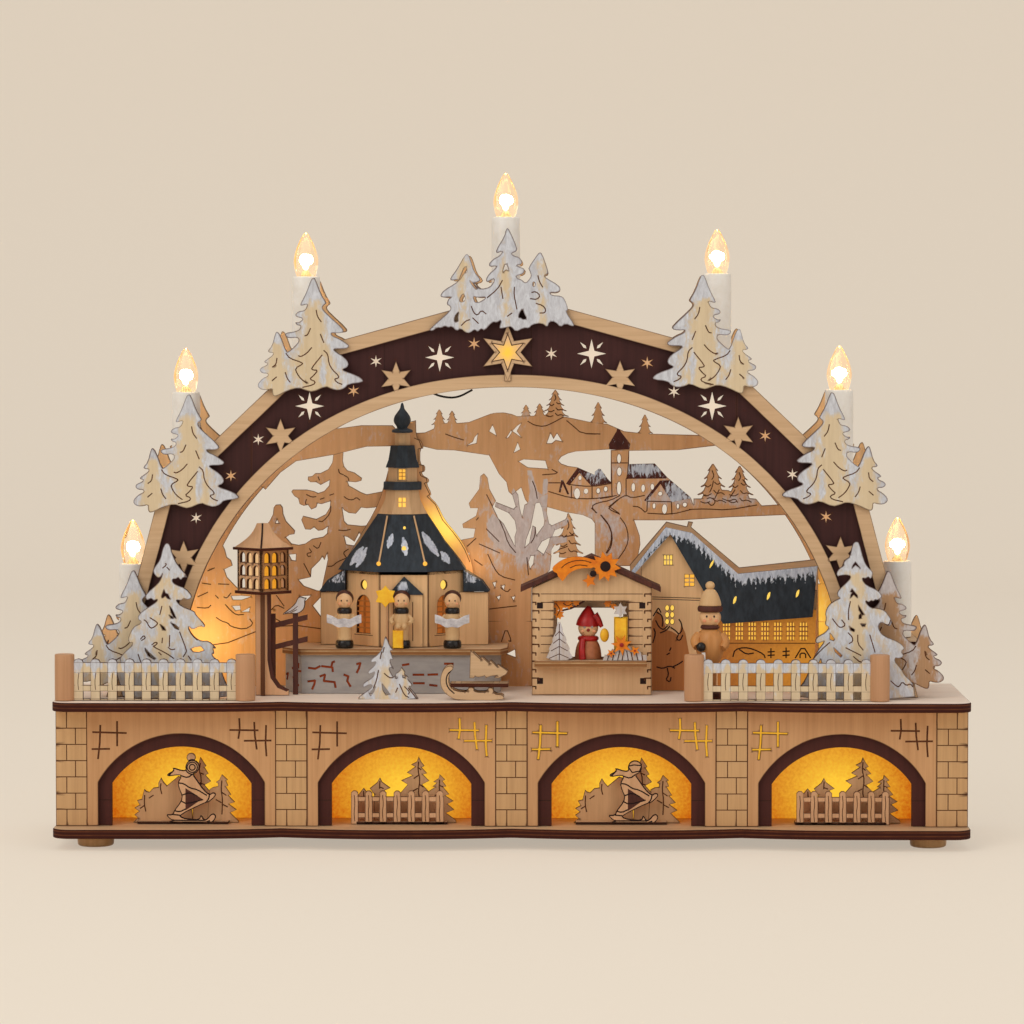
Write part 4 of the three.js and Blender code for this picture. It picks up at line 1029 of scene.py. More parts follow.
arch = {
    "half": 219.6, "rise": 204.5, "power": 2.1, "foot": deckZ + 0.3,
    "outer": pairs(268, 0, 232.5, 134.4, 132.2, 229.9, 0, 266.2),
    "innerRim": 8.4, "outerRim": 9.2,
    "cutStars": pairs(149.5, 20.7, 140.2, 18.8, 132.6, 23, 115, 17.4, 109.9, 30.4, 95.1, 29.4, 84.5, 23,
                      70.1, 29.3, 64.4, 17.9, 47.9, 24.7, 40.1, 19.1, 30.9, 20.1),
    "sparkles": pairs(122.5, 21.3, 100.4, 23.1, 78.6, 26.4, 57.8, 20.7),
    "rimStars": pairs(156.4, 15.6, 129.3, 15.6, 107.8, 15.8, 73.4, 15.2, 51.6, 14.9, 24.3, 16.9),
    "topStar": (90.5, 23.0),
    "front": -30.0, "rimsFront": -33.3, "starFront": -34.2, "shineFront": -26.8,
    "seams": [pairs(-84, 300, -84, 370), pairs(13, 300, 13, 370), pairs(148, 240, 148, 330),
              pairs(-172, 230, -172, 300)],
    "shines": {"cutStars": (5.2, 0.75, 0.1), "sparkles": (11.6, 1.0, 1.0)},  # size and light, odd and even
    "footBox": (222.6, 264.0, 12), "stem": (-2.2, -19, 2.2, -11),
    "lead": [(-54, -25, 298.4), (-46, -25, 295.2), (-36, -25, 294.6), (-26, -25, 300.0)], "leadRadius": 0.7,
}


def onBand(degrees, grow):
    # a point beside the opening's edge, which is a little squarer than an ellipse
    angle = np.radians(np.asarray(degrees, float))
    share = 2 / arch["power"]
    across = np.abs(np.cos(angle)) ** share * np.sign(np.cos(angle))
    up = np.abs(np.sin(angle)) ** share
    return np.stack([(arch["half"] + grow) * across, arch["foot"] + (arch["rise"] + grow) * up], -1)


def openingEdge(grow, steps=140):
    return onBand(np.linspace(0, 180, steps), grow)


def outerEdge(inset):
    # straight sides between the corners, each moved in by the same margin
    right = arch["outer"] + (0, arch["foot"])
    line = np.vstack([right, (right[:-1] * (-1, 1))[::-1]])
    run = np.diff(line, axis=0)
    normal = np.stack([-run[:, 1], run[:, 0]], 1) / np.linalg.norm(run, axis=1, keepdims=True)
    start, end = line[:-1] + normal * inset, line[1:] + normal * inset
    ground = arch["foot"]
    starts = np.vstack([[-1e3, ground], start, [-1e3, ground]])
    ends = np.vstack([[1e3, ground], end, [1e3, ground]])
    p, r = starts[:-1], ends[:-1] - starts[:-1]
    q, s = starts[1:], ends[1:] - starts[1:]
    cross = r[:, 0] * s[:, 1] - r[:, 1] * s[:, 0]
    gap = q - p
    t = (gap[:, 0] * s[:, 1] - gap[:, 1] * s[:, 0]) / cross
    return p + r * t[:, None]


def bandOutline():
    return np.vstack([outerEdge(0), openingEdge(0)[::-1]])


def sparkleShapes(place):
    # a four-pointed star with a thin drop between each pair of its points
    x, z = onBand(*place)
    shapes = [starShape(x, z, 9.6, 2.6, 4)]
    drop = pairs(0, 0.5, 0.1, 0.68, 0, 1.12, -0.1, 0.68) * 9.6
    for quarter in range(4):
        angle = np.pi / 4 + np.pi / 2 * quarter
        turn = np.array([[np.cos(angle), np.sin(angle)], [-np.sin(angle), np.cos(angle)]])
        shapes.append(drop @ turn + (x, z))
    return shapes


def buildArchPanel():
    holes = [starShape(*onBand(*place), 4.4, 1.3) for place in arch["cutStars"]]
    for place in arch["sparkles"]:
        holes += sparkleShapes(place)
    panel = flatBoard([bandOutline()], holes, strokes(arch["seams"], 0.3, 0), place=standing(arch["front"]),
                      face="stained", edge="stainedEdge", groove="scorchDark", sunk=0.15, rim=0.6)
    makePiece("archPanel", [panel], ["arch_panel"])
    # lit discs behind the cut stars; every second small one is only half lit
    shines = []
    for group, (size, *lights) in arch["shines"].items():
        for number, place in enumerate(arch[group]):
            disc = flatBoard([ellipse(*onBand(*place), size, size)], place=standing(arch["shineFront"]),
                             thick=0.3, face="starShine", edge="starShine", rim=0)
            shines.append(shining(disc, lights[number % 2]))
    makePiece("starLights", shines)


def buildArchRims():
    outer = np.vstack([outerEdge(0), outerEdge(arch["outerRim"])[::-1]])
    inner = np.vstack([openingEdge(arch["innerRim"]), openingEdge(0)[::-1]])
    ground, (near, far, height) = arch["foot"], arch["footBox"]
    feet = [rectangle(left, ground, right, ground + height) for left, right in ((near, far), (-far, -near))]
    stars = [starShape(*onBand(*place), 11.4, 5.2) for place in arch["rimStars"]]
    x, z = onBand(*arch["topStar"])
    big, gap, core = (starShape(x, z, *sizes) for sizes in ((18.8, 8.6), (12.2, 5.4), (11.2, 4.9)))
    rims = flatBoard([outer, inner, *feet, *stars, big], place=standing(arch["rimsFront"]), rim=0.6)
    makePiece("archRims", [rims], ["arch_rims"])
    front = arch["starFront"]
    ring = flatBoard([big, rectangle(*arch["stem"]) + (x, z)], [gap], place=standing(front), thick=0.85,
                     rim=0.5)
    # the heart is painted as a glow, brightest in its middle
    heart = flatBoard([core], place=standing(front + 0.2), thick=0.65, face="starHeart", rim=0, grid=1.5)
    shining(heart, np.clip(1.25 - np.hypot(heart["verts"][:, 0] - x, heart["verts"][:, 2] - z) / 6.4, 0, 1))
    dark = flatBoard([gap], place=standing(front + 0.7), thick=0.15, face="scorchDark", rim=0)
    # a short piece of the lamps' lead hangs out under the rim
    lead = tube(arch["lead"], arch["leadRadius"], "blackGloss", 8)
    makePiece("topStar", [ring, heart, dark, lead])


buildArchPanel()
buildArchRims()
print("arch done")


candle = {"radius": 9.5, "length": 51.0, "bore": 5.1, "depth": 14.0, "y": 11.5,
          "block": (13, -26.7, 49.8, 12.0)}  # half width, front, back and thickness
candlePlaces = [(-254.5, 86.0), (-218.5, 201.0), (-138.0, 278.0), (-4.5, 317.6),
                (136.5, 280.0), (218.2, 202.5), (257.5, 88.0)]  # across, and the top's height over the deck
bulb = {
    "flutes": 12, "fluteDepth": 0.035, "height": 29.5,
    "glass": pairs(0, -0.4, 5.2, -0.4, 6.3, 0.4, 7.2, 3, 8.35, 8, 8.35, 11, 7.7655, 15, 6.012, 20, 3.507,
                   25, 1.4, 28.6, 0, 29.5),
    "thread": pairs(0, -13, 2, -13, 2.6, -12, 4.3, -11.4, 4.6, -10.9, 4.3, -10, 4.6, -9.1, 4.3, -8.2, 4.6,
                    -7.3, 4.3, -6.4, 4.6, -5.5, 4.3, -4.6, 4.6, -3.7, 4.4, -2, 4.6, -0.6, 0, -0.5),
    "stem": pairs(0, -0.3, 3.4, -0.3, 2.6, 2.2, 1.2, 4.2, 0, 4.6),
    "heart": (9.8, (2.2, 2.2, 5.2)),  # height of its middle and its half sizes
}


def flutes(z, angle):
    # shallow flutes that turn a little with the height and die out at both ends
    fade = np.clip(z / 5, 0, 1) * np.clip((bulb["height"] - z) / 9, 0, 1)
    return bulb["fluteDepth"] * fade * np.abs(np.sin(angle * bulb["flutes"] / 2 + z * 0.05)) * -1


def buildCandles():
    r, length, bore = candle["radius"], candle["length"], candle["bore"]
    deep = length - candle["depth"]
    profile = pairs(0, 0, r - 0.6, 0, r, 0.6, r, 12, r, length - 1.6, r - 0.5, length - 0.2, r - 1.4,
                    length, bore + 0.5, length, bore, length - 0.6, bore, deep, 0, deep)
    rise, radii = bulb["heart"]
    for number, (x, top) in enumerate(candlePlaces, 1):
        body = revolved(profile, (x, candle["y"], deckZ + top - length), "ivory", 40, 1)
        makePiece(f"candleTube_{number}", [body], [f"candle_{number}"])
        base = (x, candle["y"], deckZ + top)
        parts = [revolved(bulb["glass"], base, "glass", 72, 3, flutes),
                 revolved(bulb["thread"], base, "brass", 28, 1),
                 ovoid((x, candle["y"], base[2] + rise), radii, "filament"),
                 revolved(bulb["stem"], base, "milkGlass", 20, 1)]
        makePiece(f"flameBulb_{number}", parts, [f"bulb_{number}"], f"bulb_{number}")


buildCandles()
print("candles done")


landscape = {
    "depth": 50.0,
    "ground": (-229, arch["foot"], 229, arch["foot"] + 44), "besideHouse": (186, arch["foot"], 222, 167),
    "lamps": [  # place and reach of the lamps that shine through, whose glow is painted on, and how strongly
        (-206, 128, 44, 52, 0.5), (-150, 120, 60, 60, 0.14), (0, 205, 400, 240, 0.05),
        (207, 142, 13, 34, 0.95),
    ],
    # place, reach and strength of the snow on the village's roofs, its road and the ground before it
    "drifts": [
        (57, 242, 9, 6, 0.6), (90, 245, 15, 4, 0.7), (111, 232, 9, 7, 0.6), (66, 210, 20, 26, 0.42),
        (130, 224, 46, 4, 0.5),
    ],
    "hills": [
        ("hills",
         (0, 395, 110, 390, 175, 362, 190, 330, 285, 318, 345, 320, 440, 312, 600, 250, 640, 242, 700,
          240, 760, 252, 800, 268, 1020, 262, 1150, 270, 1365, 315, 1475, 325, 1600, 380, 1760, 398, 2150,
          408, 2340, 425, 2340, 480, 2000, 520, 1640, 525, 1490, 515, 1240, 530, 1180, 545, 1130, 570,
          1108, 600, 1130, 622, 1180, 640, 1250, 650, 1250, 700, 1150, 760, 1060, 830, 900, 900, 860, 890,
          830, 800, 760, 855, 735, 830, 720, 760, 665, 700, 590, 560, 330, 522, 200, 518, 0, 470)),
        ("trees",
         (1060, 143, 930, 0, 700, 0, 260, 60, 100, 170, 0, 250, -100, 340, -100, 380, 0, 470, 110, 345,
          225, 262, 497, 215, 740, 155, 1060, 150)),
        ("hills",
         (835, 760, 900, 700, 960, 660, 1100, 640, 1250, 650, 1500, 760, 1568, 780, 1568, 1344, 1400,
          1344, 1425, 1230, 1420, 1150, 1395, 1085, 1355, 1035, 1290, 1005, 1165, 985, 1020, 945, 885,
          925, 860, 890)),
        ("town",
         (-40, 560, 0, 530, 60, 615, 85, 640, 85, 390, 230, 385, 228, 500, 430, 495, 525, 600, 712, 760,
          735, 820, 735, 770, 850, 770, 860, 810, 940, 700, 1010, 705, 1100, 760, 1225, 772, 1270, 825,
          1520, 810, 1520, 895, 1030, 915, 640, 940, 270, 940, 312, 1060, 318, 1130, 300, 1220, 250, 1300,
          -40, 1300)),
    ],
    "firs": [  # view, apex, foot and half width: the ridge, then the village's own
        ("hills", 218, 212, 345, 62), ("hills", 313, 222, 345, 56), ("hills", 866, 178, 290, 56),
        ("hills", 968, 168, 286, 60), ("hills", 1085, 65, 290, 105), ("hills", 1405, 155, 335, 70),
        ("town", 352, 104, 275, 66), ("town", 886, 488, 835, 150), ("town", 1096, 505, 830, 135),
        ("bare", 805, 325, 612, 98),
    ],
    "slopes": [
        # the fir behind the bare tree, the ground under it, the firs on the left
        ("bare", (275, 82, 252, 100, 245, 180, 180, 270, 190, 300, 238, 300, 225, 350, 140, 400, 145, 425,
            220, 430, 210, 485, 112, 505, 130, 545, 185, 585, 165, 690, 270, 760, 300, 850, 300, 1200,
            380, 1500, 575, 1500, 575, 800, 690, 690, 700, 600, 640, 560, 560, 580, 480, 560, 420, 480,
            330, 290, 350, 255, 310, 180, 298, 110)),
        ("left", (205, 485, 222, 520, 235, 570, 262, 590, 272, 625, 218, 650, 235, 700, 330, 800, 480, 810,
            480, 1500, -60, 1500, -60, 900, 60, 720, 130, 560, 180, 500)),
        ("trees", (497, 215, 490, 270, 460, 320, 400, 350, 365, 350, 340, 372, 312, 375, 310, 400, 330, 415,
            370, 415, 405, 435, 470, 400, 465, 440, 430, 480, 385, 495, 350, 480, 300, 470, 200, 470,
            190, 485, 210, 515, 240, 535, 250, 575, 280, 588, 310, 580, 335, 615, 370, 600, 380, 570,
            410, 575, 475, 555, 470, 600, 440, 650, 370, 685, 275, 662, 262, 690, 290, 760, 330, 762,
            355, 745, 385, 770, 420, 765, 455, 740, 450, 790, 420, 815, 340, 830, 290, 865, 240, 875,
            190, 865, 150, 820, 175, 800, 210, 795, 215, 770, 150, 700, 130, 650, 125, 600, 110, 578,
            75, 580, 60, 600, 55, 650, 30, 700, -60, 800, -40, 900, -60, 980, -60, 1568, 900, 1568,
            900, 720, 700, 735, 600, 725, 575, 700, 560, 600, 575, 620, 610, 640, 660, 645, 700, 600,
            740, 605, 800, 600, 870, 570, 870, 480, 740, 505, 700, 490, 610, 440, 600, 410, 660, 415,
            700, 405, 705, 385, 650, 345, 600, 330, 575, 300, 565, 260, 570, 192)),
    ],
    "bareTree": [
        ("bare",
         (545, 60, 575, 60, 590, 130, 615, 190, 640, 210, 650, 120, 672, 118, 678, 230, 670, 330, 685,
          400, 770, 362, 815, 370, 800, 405, 720, 440, 705, 480, 800, 475, 800, 515, 720, 530, 700, 560,
          690, 690, 575, 800, 575, 1500, 465, 1500, 500, 900, 480, 690, 478, 600, 385, 560, 300, 480, 290,
          400, 330, 330, 400, 400, 470, 540, 468, 480, 480, 440, 470, 380, 430, 330, 345, 292, 350, 262,
          460, 305, 475, 290, 445, 190, 460, 178, 490, 215, 500, 300, 515, 355, 530, 280, 550, 270, 565,
          200, 550, 130)),
    ],
    "roofs": [
        ("town", (75, 385, 68, 345, 130, 240, 148, 155, 160, 240, 238, 340, 230, 385)),
        ("town", (225, 500, 430, 495, 525, 600, 520, 612, 205, 615)),
        ("town", (470, 628, 635, 622, 712, 748, 710, 768, 565, 798, 475, 655, 368, 792, 345, 785)),
        ("hills", (1165, 770, 1255, 648, 1410, 640, 1505, 765, 1355, 790, 1265, 690, 1190, 785)),
        ("hills", (1110, 835, 1130, 745, 1145, 745, 1190, 850, 1175, 852, 1140, 775, 1125, 838)),
    ],
    "gaps": [
        ("bare",
         (600, 270, 570, 420, 540, 500, 535, 545, 560, 520, 580, 410, 600, 420, 605, 470, 650, 410, 655,
          380, 640, 300, 625, 265)),
        ("bare", (610, 560, 640, 510, 690, 485, 680, 530, 650, 590)),
        ("bare", (555, 640, 570, 600, 590, 600, 585, 650, 565, 680)),
        ("hills", (1025, 950, 1165, 985, 1175, 1010, 1160, 1040, 1060, 1085, 1040, 1070)),
        ("hills", (812, 605, 850, 590, 1010, 600, 1028, 660, 880, 650)),
        ("hills", (428, 485, 470, 458, 482, 425, 505, 402, 495, 468)),
        ("hills", (592, 380, 615, 335, 628, 360, 645, 412)),
        ("hills", (720, 430, 755, 375, 760, 385, 735, 425)),
        ("hills", (765, 378, 800, 340, 830, 320, 797, 378, 830, 425)),
        ("hills", (775, 540, 805, 465, 822, 515)),
        ("hills", (1022, 470, 1050, 395, 1072, 438, 1098, 395, 1135, 455, 1088, 445, 1058, 470)),
        ("hills",
         (1110, 600, 1130, 570, 1240, 530, 1490, 515, 1500, 750, 1440, 670, 1350, 635, 1180, 640)),
        ("trees", (575, 810, 600, 815, 650, 850, 685, 785, 700, 810, 650, 880, 590, 870)),
        ("trees",
         (395, 990, 415, 960, 430, 985, 450, 935, 455, 980, 405, 1210, 380, 1210, 280, 1175, 240, 1130,
          330, 1110, 335, 1050)),
        ("trees", (170, 945, 222, 940, 220, 990, 190, 985)), ("trees", (250, 1250, 330, 1245, 290, 1285)),
        ("trees", (345, 1320, 410, 1250, 405, 1400)), ("trees", (85, 690, 97, 715, 72, 715)),
        ("left", (262, 825, 330, 822, 395, 828, 330, 850, 275, 850)),
        ("left", (268, 890, 320, 888, 325, 915, 290, 920)), ("left", (330, 930, 385, 900, 380, 928)),
        ("bare", (418, 1218, 470, 1190, 474, 1240)), ("bare", (330, 770, 350, 765, 345, 800)),
        ("bare", (385, 790, 405, 785, 400, 815)), ("bare", (355, 860, 378, 850, 370, 878)),
        ("bare", (450, 860, 470, 855, 462, 880)), ("bare", (700, 900, 1130, 880, 1130, 1240, 700, 1240)),
    ],
    "windows": [
        ("hills",
         ((1270, 728, 12, 18), (1248, 845, 22, 40), (1315, 828, 16, 20), (1406, 825, 13, 20),
          (1462, 812, 13, 19))),
        ("town",
         ((150, 688, 16, 52), (152, 558, 17, 33), (150, 456, 15, 35), (262, 682, 14, 33),
          (339, 689, 14, 29), (411, 678, 14, 23), (473, 732, 16, 16), (425, 828, 11, 22),
          (507, 852, 19, 38), (612, 830, 10, 20), (666, 818, 16, 17))),
    ],
    "lines": [
        ("hills",
         ((880, 305, 930, 335, 1000, 345, 1060, 320, 1160, 265),
          (1170, 300, 1230, 350, 1280, 395, 1420, 400), (265, 400, 330, 425, 400, 445),
          (990, 705, 1115, 695, 1060, 665), (1035, 765, 1130, 765),
          (1035, 830, 1205, 880, 1360, 886, 1500, 866), (1205, 790, 1205, 880), (1360, 790, 1360, 885),
          (1190, 778, 1355, 795, 1500, 770), (1390, 990, 1355, 940, 1400, 915, 1500, 895, 1568, 860),
          (1568, 880, 1500, 940, 1480, 960, 1568, 1000),
          (1425, 1005, 1480, 1070, 1510, 1150, 1500, 1230, 1465, 1290))),
        ("town",
         ((85, 395, 95, 755), (228, 395, 215, 615), (90, 490, 215, 490), (205, 615, 205, 742),
          (0, 770, 70, 760, 130, 745), (75, 830, 150, 770, 205, 742, 250, 765, 350, 745),
          (70, 830, 150, 885), (260, 830, 310, 835, 368, 890, 372, 790), (375, 885, 560, 895, 715, 855),
          (560, 795, 565, 893), (378, 790, 560, 795), (10, 900, 70, 970, 100, 1060, 90, 1150, 55, 1200),
          (160, 920, 205, 980, 225, 1070, 210, 1150, 140, 1250),
          (700, 855, 830, 850, 1000, 860, 1230, 820), (840, 770, 870, 760, 910, 790, 880, 830, 845, 800),
          (960, 770, 1010, 790, 1060, 770, 1080, 800), (890, 630, 880, 680, 860, 720),
          (935, 700, 900, 770), (1120, 620, 1150, 660), (1060, 700, 1020, 760))),
        ("trees",
         ((535, 320, 540, 350, 570, 360), (575, 365, 605, 380, 610, 405), (300, 505, 340, 525, 370, 520),
          (575, 520, 600, 540, 640, 545, 665, 525, 690, 545),
          (320, 900, 340, 930, 300, 935, 310, 960, 330, 955), (350, 880, 385, 905, 405, 855),
          (390, 700, 420, 705, 475, 640, 478, 590), (300, 540, 290, 570, 305, 585),
          (280, 1010, 330, 1105), (605, 905, 565, 930, 590, 965),
          (455, 1030, 490, 1030, 520, 1000, 590, 970), (535, 765, 575, 770, 620, 760),
          (385, 375, 395, 400), (470, 510, 500, 500), (400, 540, 430, 530))),
        ("bare",
         ((292, 215, 400, 430, 425, 520, 475, 580), (290, 430, 370, 510), (245, 525, 375, 582),
          (300, 590, 340, 680, 380, 730, 470, 752), (170, 540, 225, 490), (228, 375, 240, 360),
          (215, 625, 265, 660), (610, 240, 600, 180, 580, 130), (600, 400, 595, 480, 570, 520),
          (545, 610, 555, 720), (310, 935, 480, 915), (385, 1140, 415, 1050, 450, 1140, 430, 1135),
          (730, 565, 800, 540), (780, 480, 840, 470), (380, 800, 420, 830, 440, 810),
          (1010, 345, 1075, 430, 1075, 520, 1045, 580), (950, 300, 985, 330))),
        ("left",
         ((225, 880, 260, 920, 300, 950, 345, 945),
          (165, 965, 200, 990, 240, 1000, 260, 1025, 350, 1045, 410, 1010, 385, 975), (75, 740, 130, 748),
          (180, 745, 250, 748), (160, 820, 180, 840), (215, 830, 235, 840, 262, 805),
          (110, 660, 155, 640), (45, 830, 110, 800), (40, 900, 110, 905, 130, 885),
          (520, 920, 560, 880, 610, 905), (530, 960, 620, 1010), (560, 820, 610, 890),
          (0, 1120, 180, 1155, 420, 1060), (420, 1060, 640, 1010, 860, 1040), (700, 1140, 860, 1130))),
    ],
}


def buildRearArch():
    # the rear board: the band again, the landscape inside it and the trees that stand behind the candles
    depth = landscape["depth"]

    def read(part):
        return [seen(view, depth, *numbers) for view, numbers in landscape[part]]
    firs, firMarks = [], []
    for view, across, top, foot, half in landscape["firs"]:
        (x, high), (right, low) = seen(view, depth, across, top, across + half, foot)
        firs.append(firOutline(x, low, (right - x) * 2, high - low, 5 if half > 70 else 3))
        if half > 80:
            firMarks += firLines(x, low, (right - x) * 2, high - low)
    windows = []
    for view, ovals in landscape["windows"]:
        for across, up, wide, tall in ovals:
            (x, z), (right, top) = seen(view, depth, across, up, across + wide, up - tall)
            windows.append(ellipse(x, z, right - x, top - z, 14))
    lines = [seen(view, depth, *numbers) for view, group in landscape["lines"] for numbers in group]
    bare = read("bareTree")
    paints = [("brownRoof", roof) for roof in read("roofs")]
    ground, besideHouse = rectangle(*landscape["ground"]), rectangle(*landscape["besideHouse"])

    def cover(x, z):
        # snow lies thin on the slopes, thick on the village roofs, the bare tree and the fir behind it
        snow = 0.12 + 0.1 * np.sin(x * 0.11 + z * 0.07)
        for middle, level, across, up, strength in landscape["drifts"]:
            snow = snow + strength * np.exp(-((x - middle) / across) ** 2 - ((z - level) / up) ** 2)
        fir = np.clip(1.3 - np.hypot((x + 12) / 12, (z - 192) / 32), 0, 1)
        for outline in bare:
            snow = snow + within(outline, x, z) * np.clip((z - 168) / 26, 0, 1) * 0.75
        return snow + fir * 0.42
    board = flatBoard([bandOutline(), ground, besideHouse, *read("hills"), *read("slopes"), *firs, *bare],
                      [*read("gaps"), *windows], strokes([*lines, *firMarks], 0.7), paints, standing(depth),
                      face="slopeWood", snow=cover, rim=0.55)
    # the lamps' glow is painted on the board as its lit value
    lit = np.zeros(len(board["verts"]))
    for x, z, across, up, strength in landscape["lamps"]:
        away = ((board["verts"][:, 0] - x) / across) ** 2 + ((board["verts"][:, 2] - z) / up) ** 2
        lit = np.maximum(lit, strength * np.exp(-away))
    parts = [shining(board, lit)]
    for middle, foot, side in crowns:
        parts.append(crownBoard(middle + side * 2.0, foot, side, depth + 0.3, "wallWood"))
    makePiece("rearArch", parts, ["arch_rear"])
    # a block under each candle joins the two boards
    half, front, back, thick = candle["block"]
    blocks = [flatBoard([rectangle(x - half, front, x + half, back)], thick=thick, edge="plateEdge",
                        soft=0.4, place=lying(deckZ + top - candle["length"] - 0.3))
              for x, top in candlePlaces]
    makePiece("candleBlocks", blocks)


buildRearArch()
print("rear arch done")


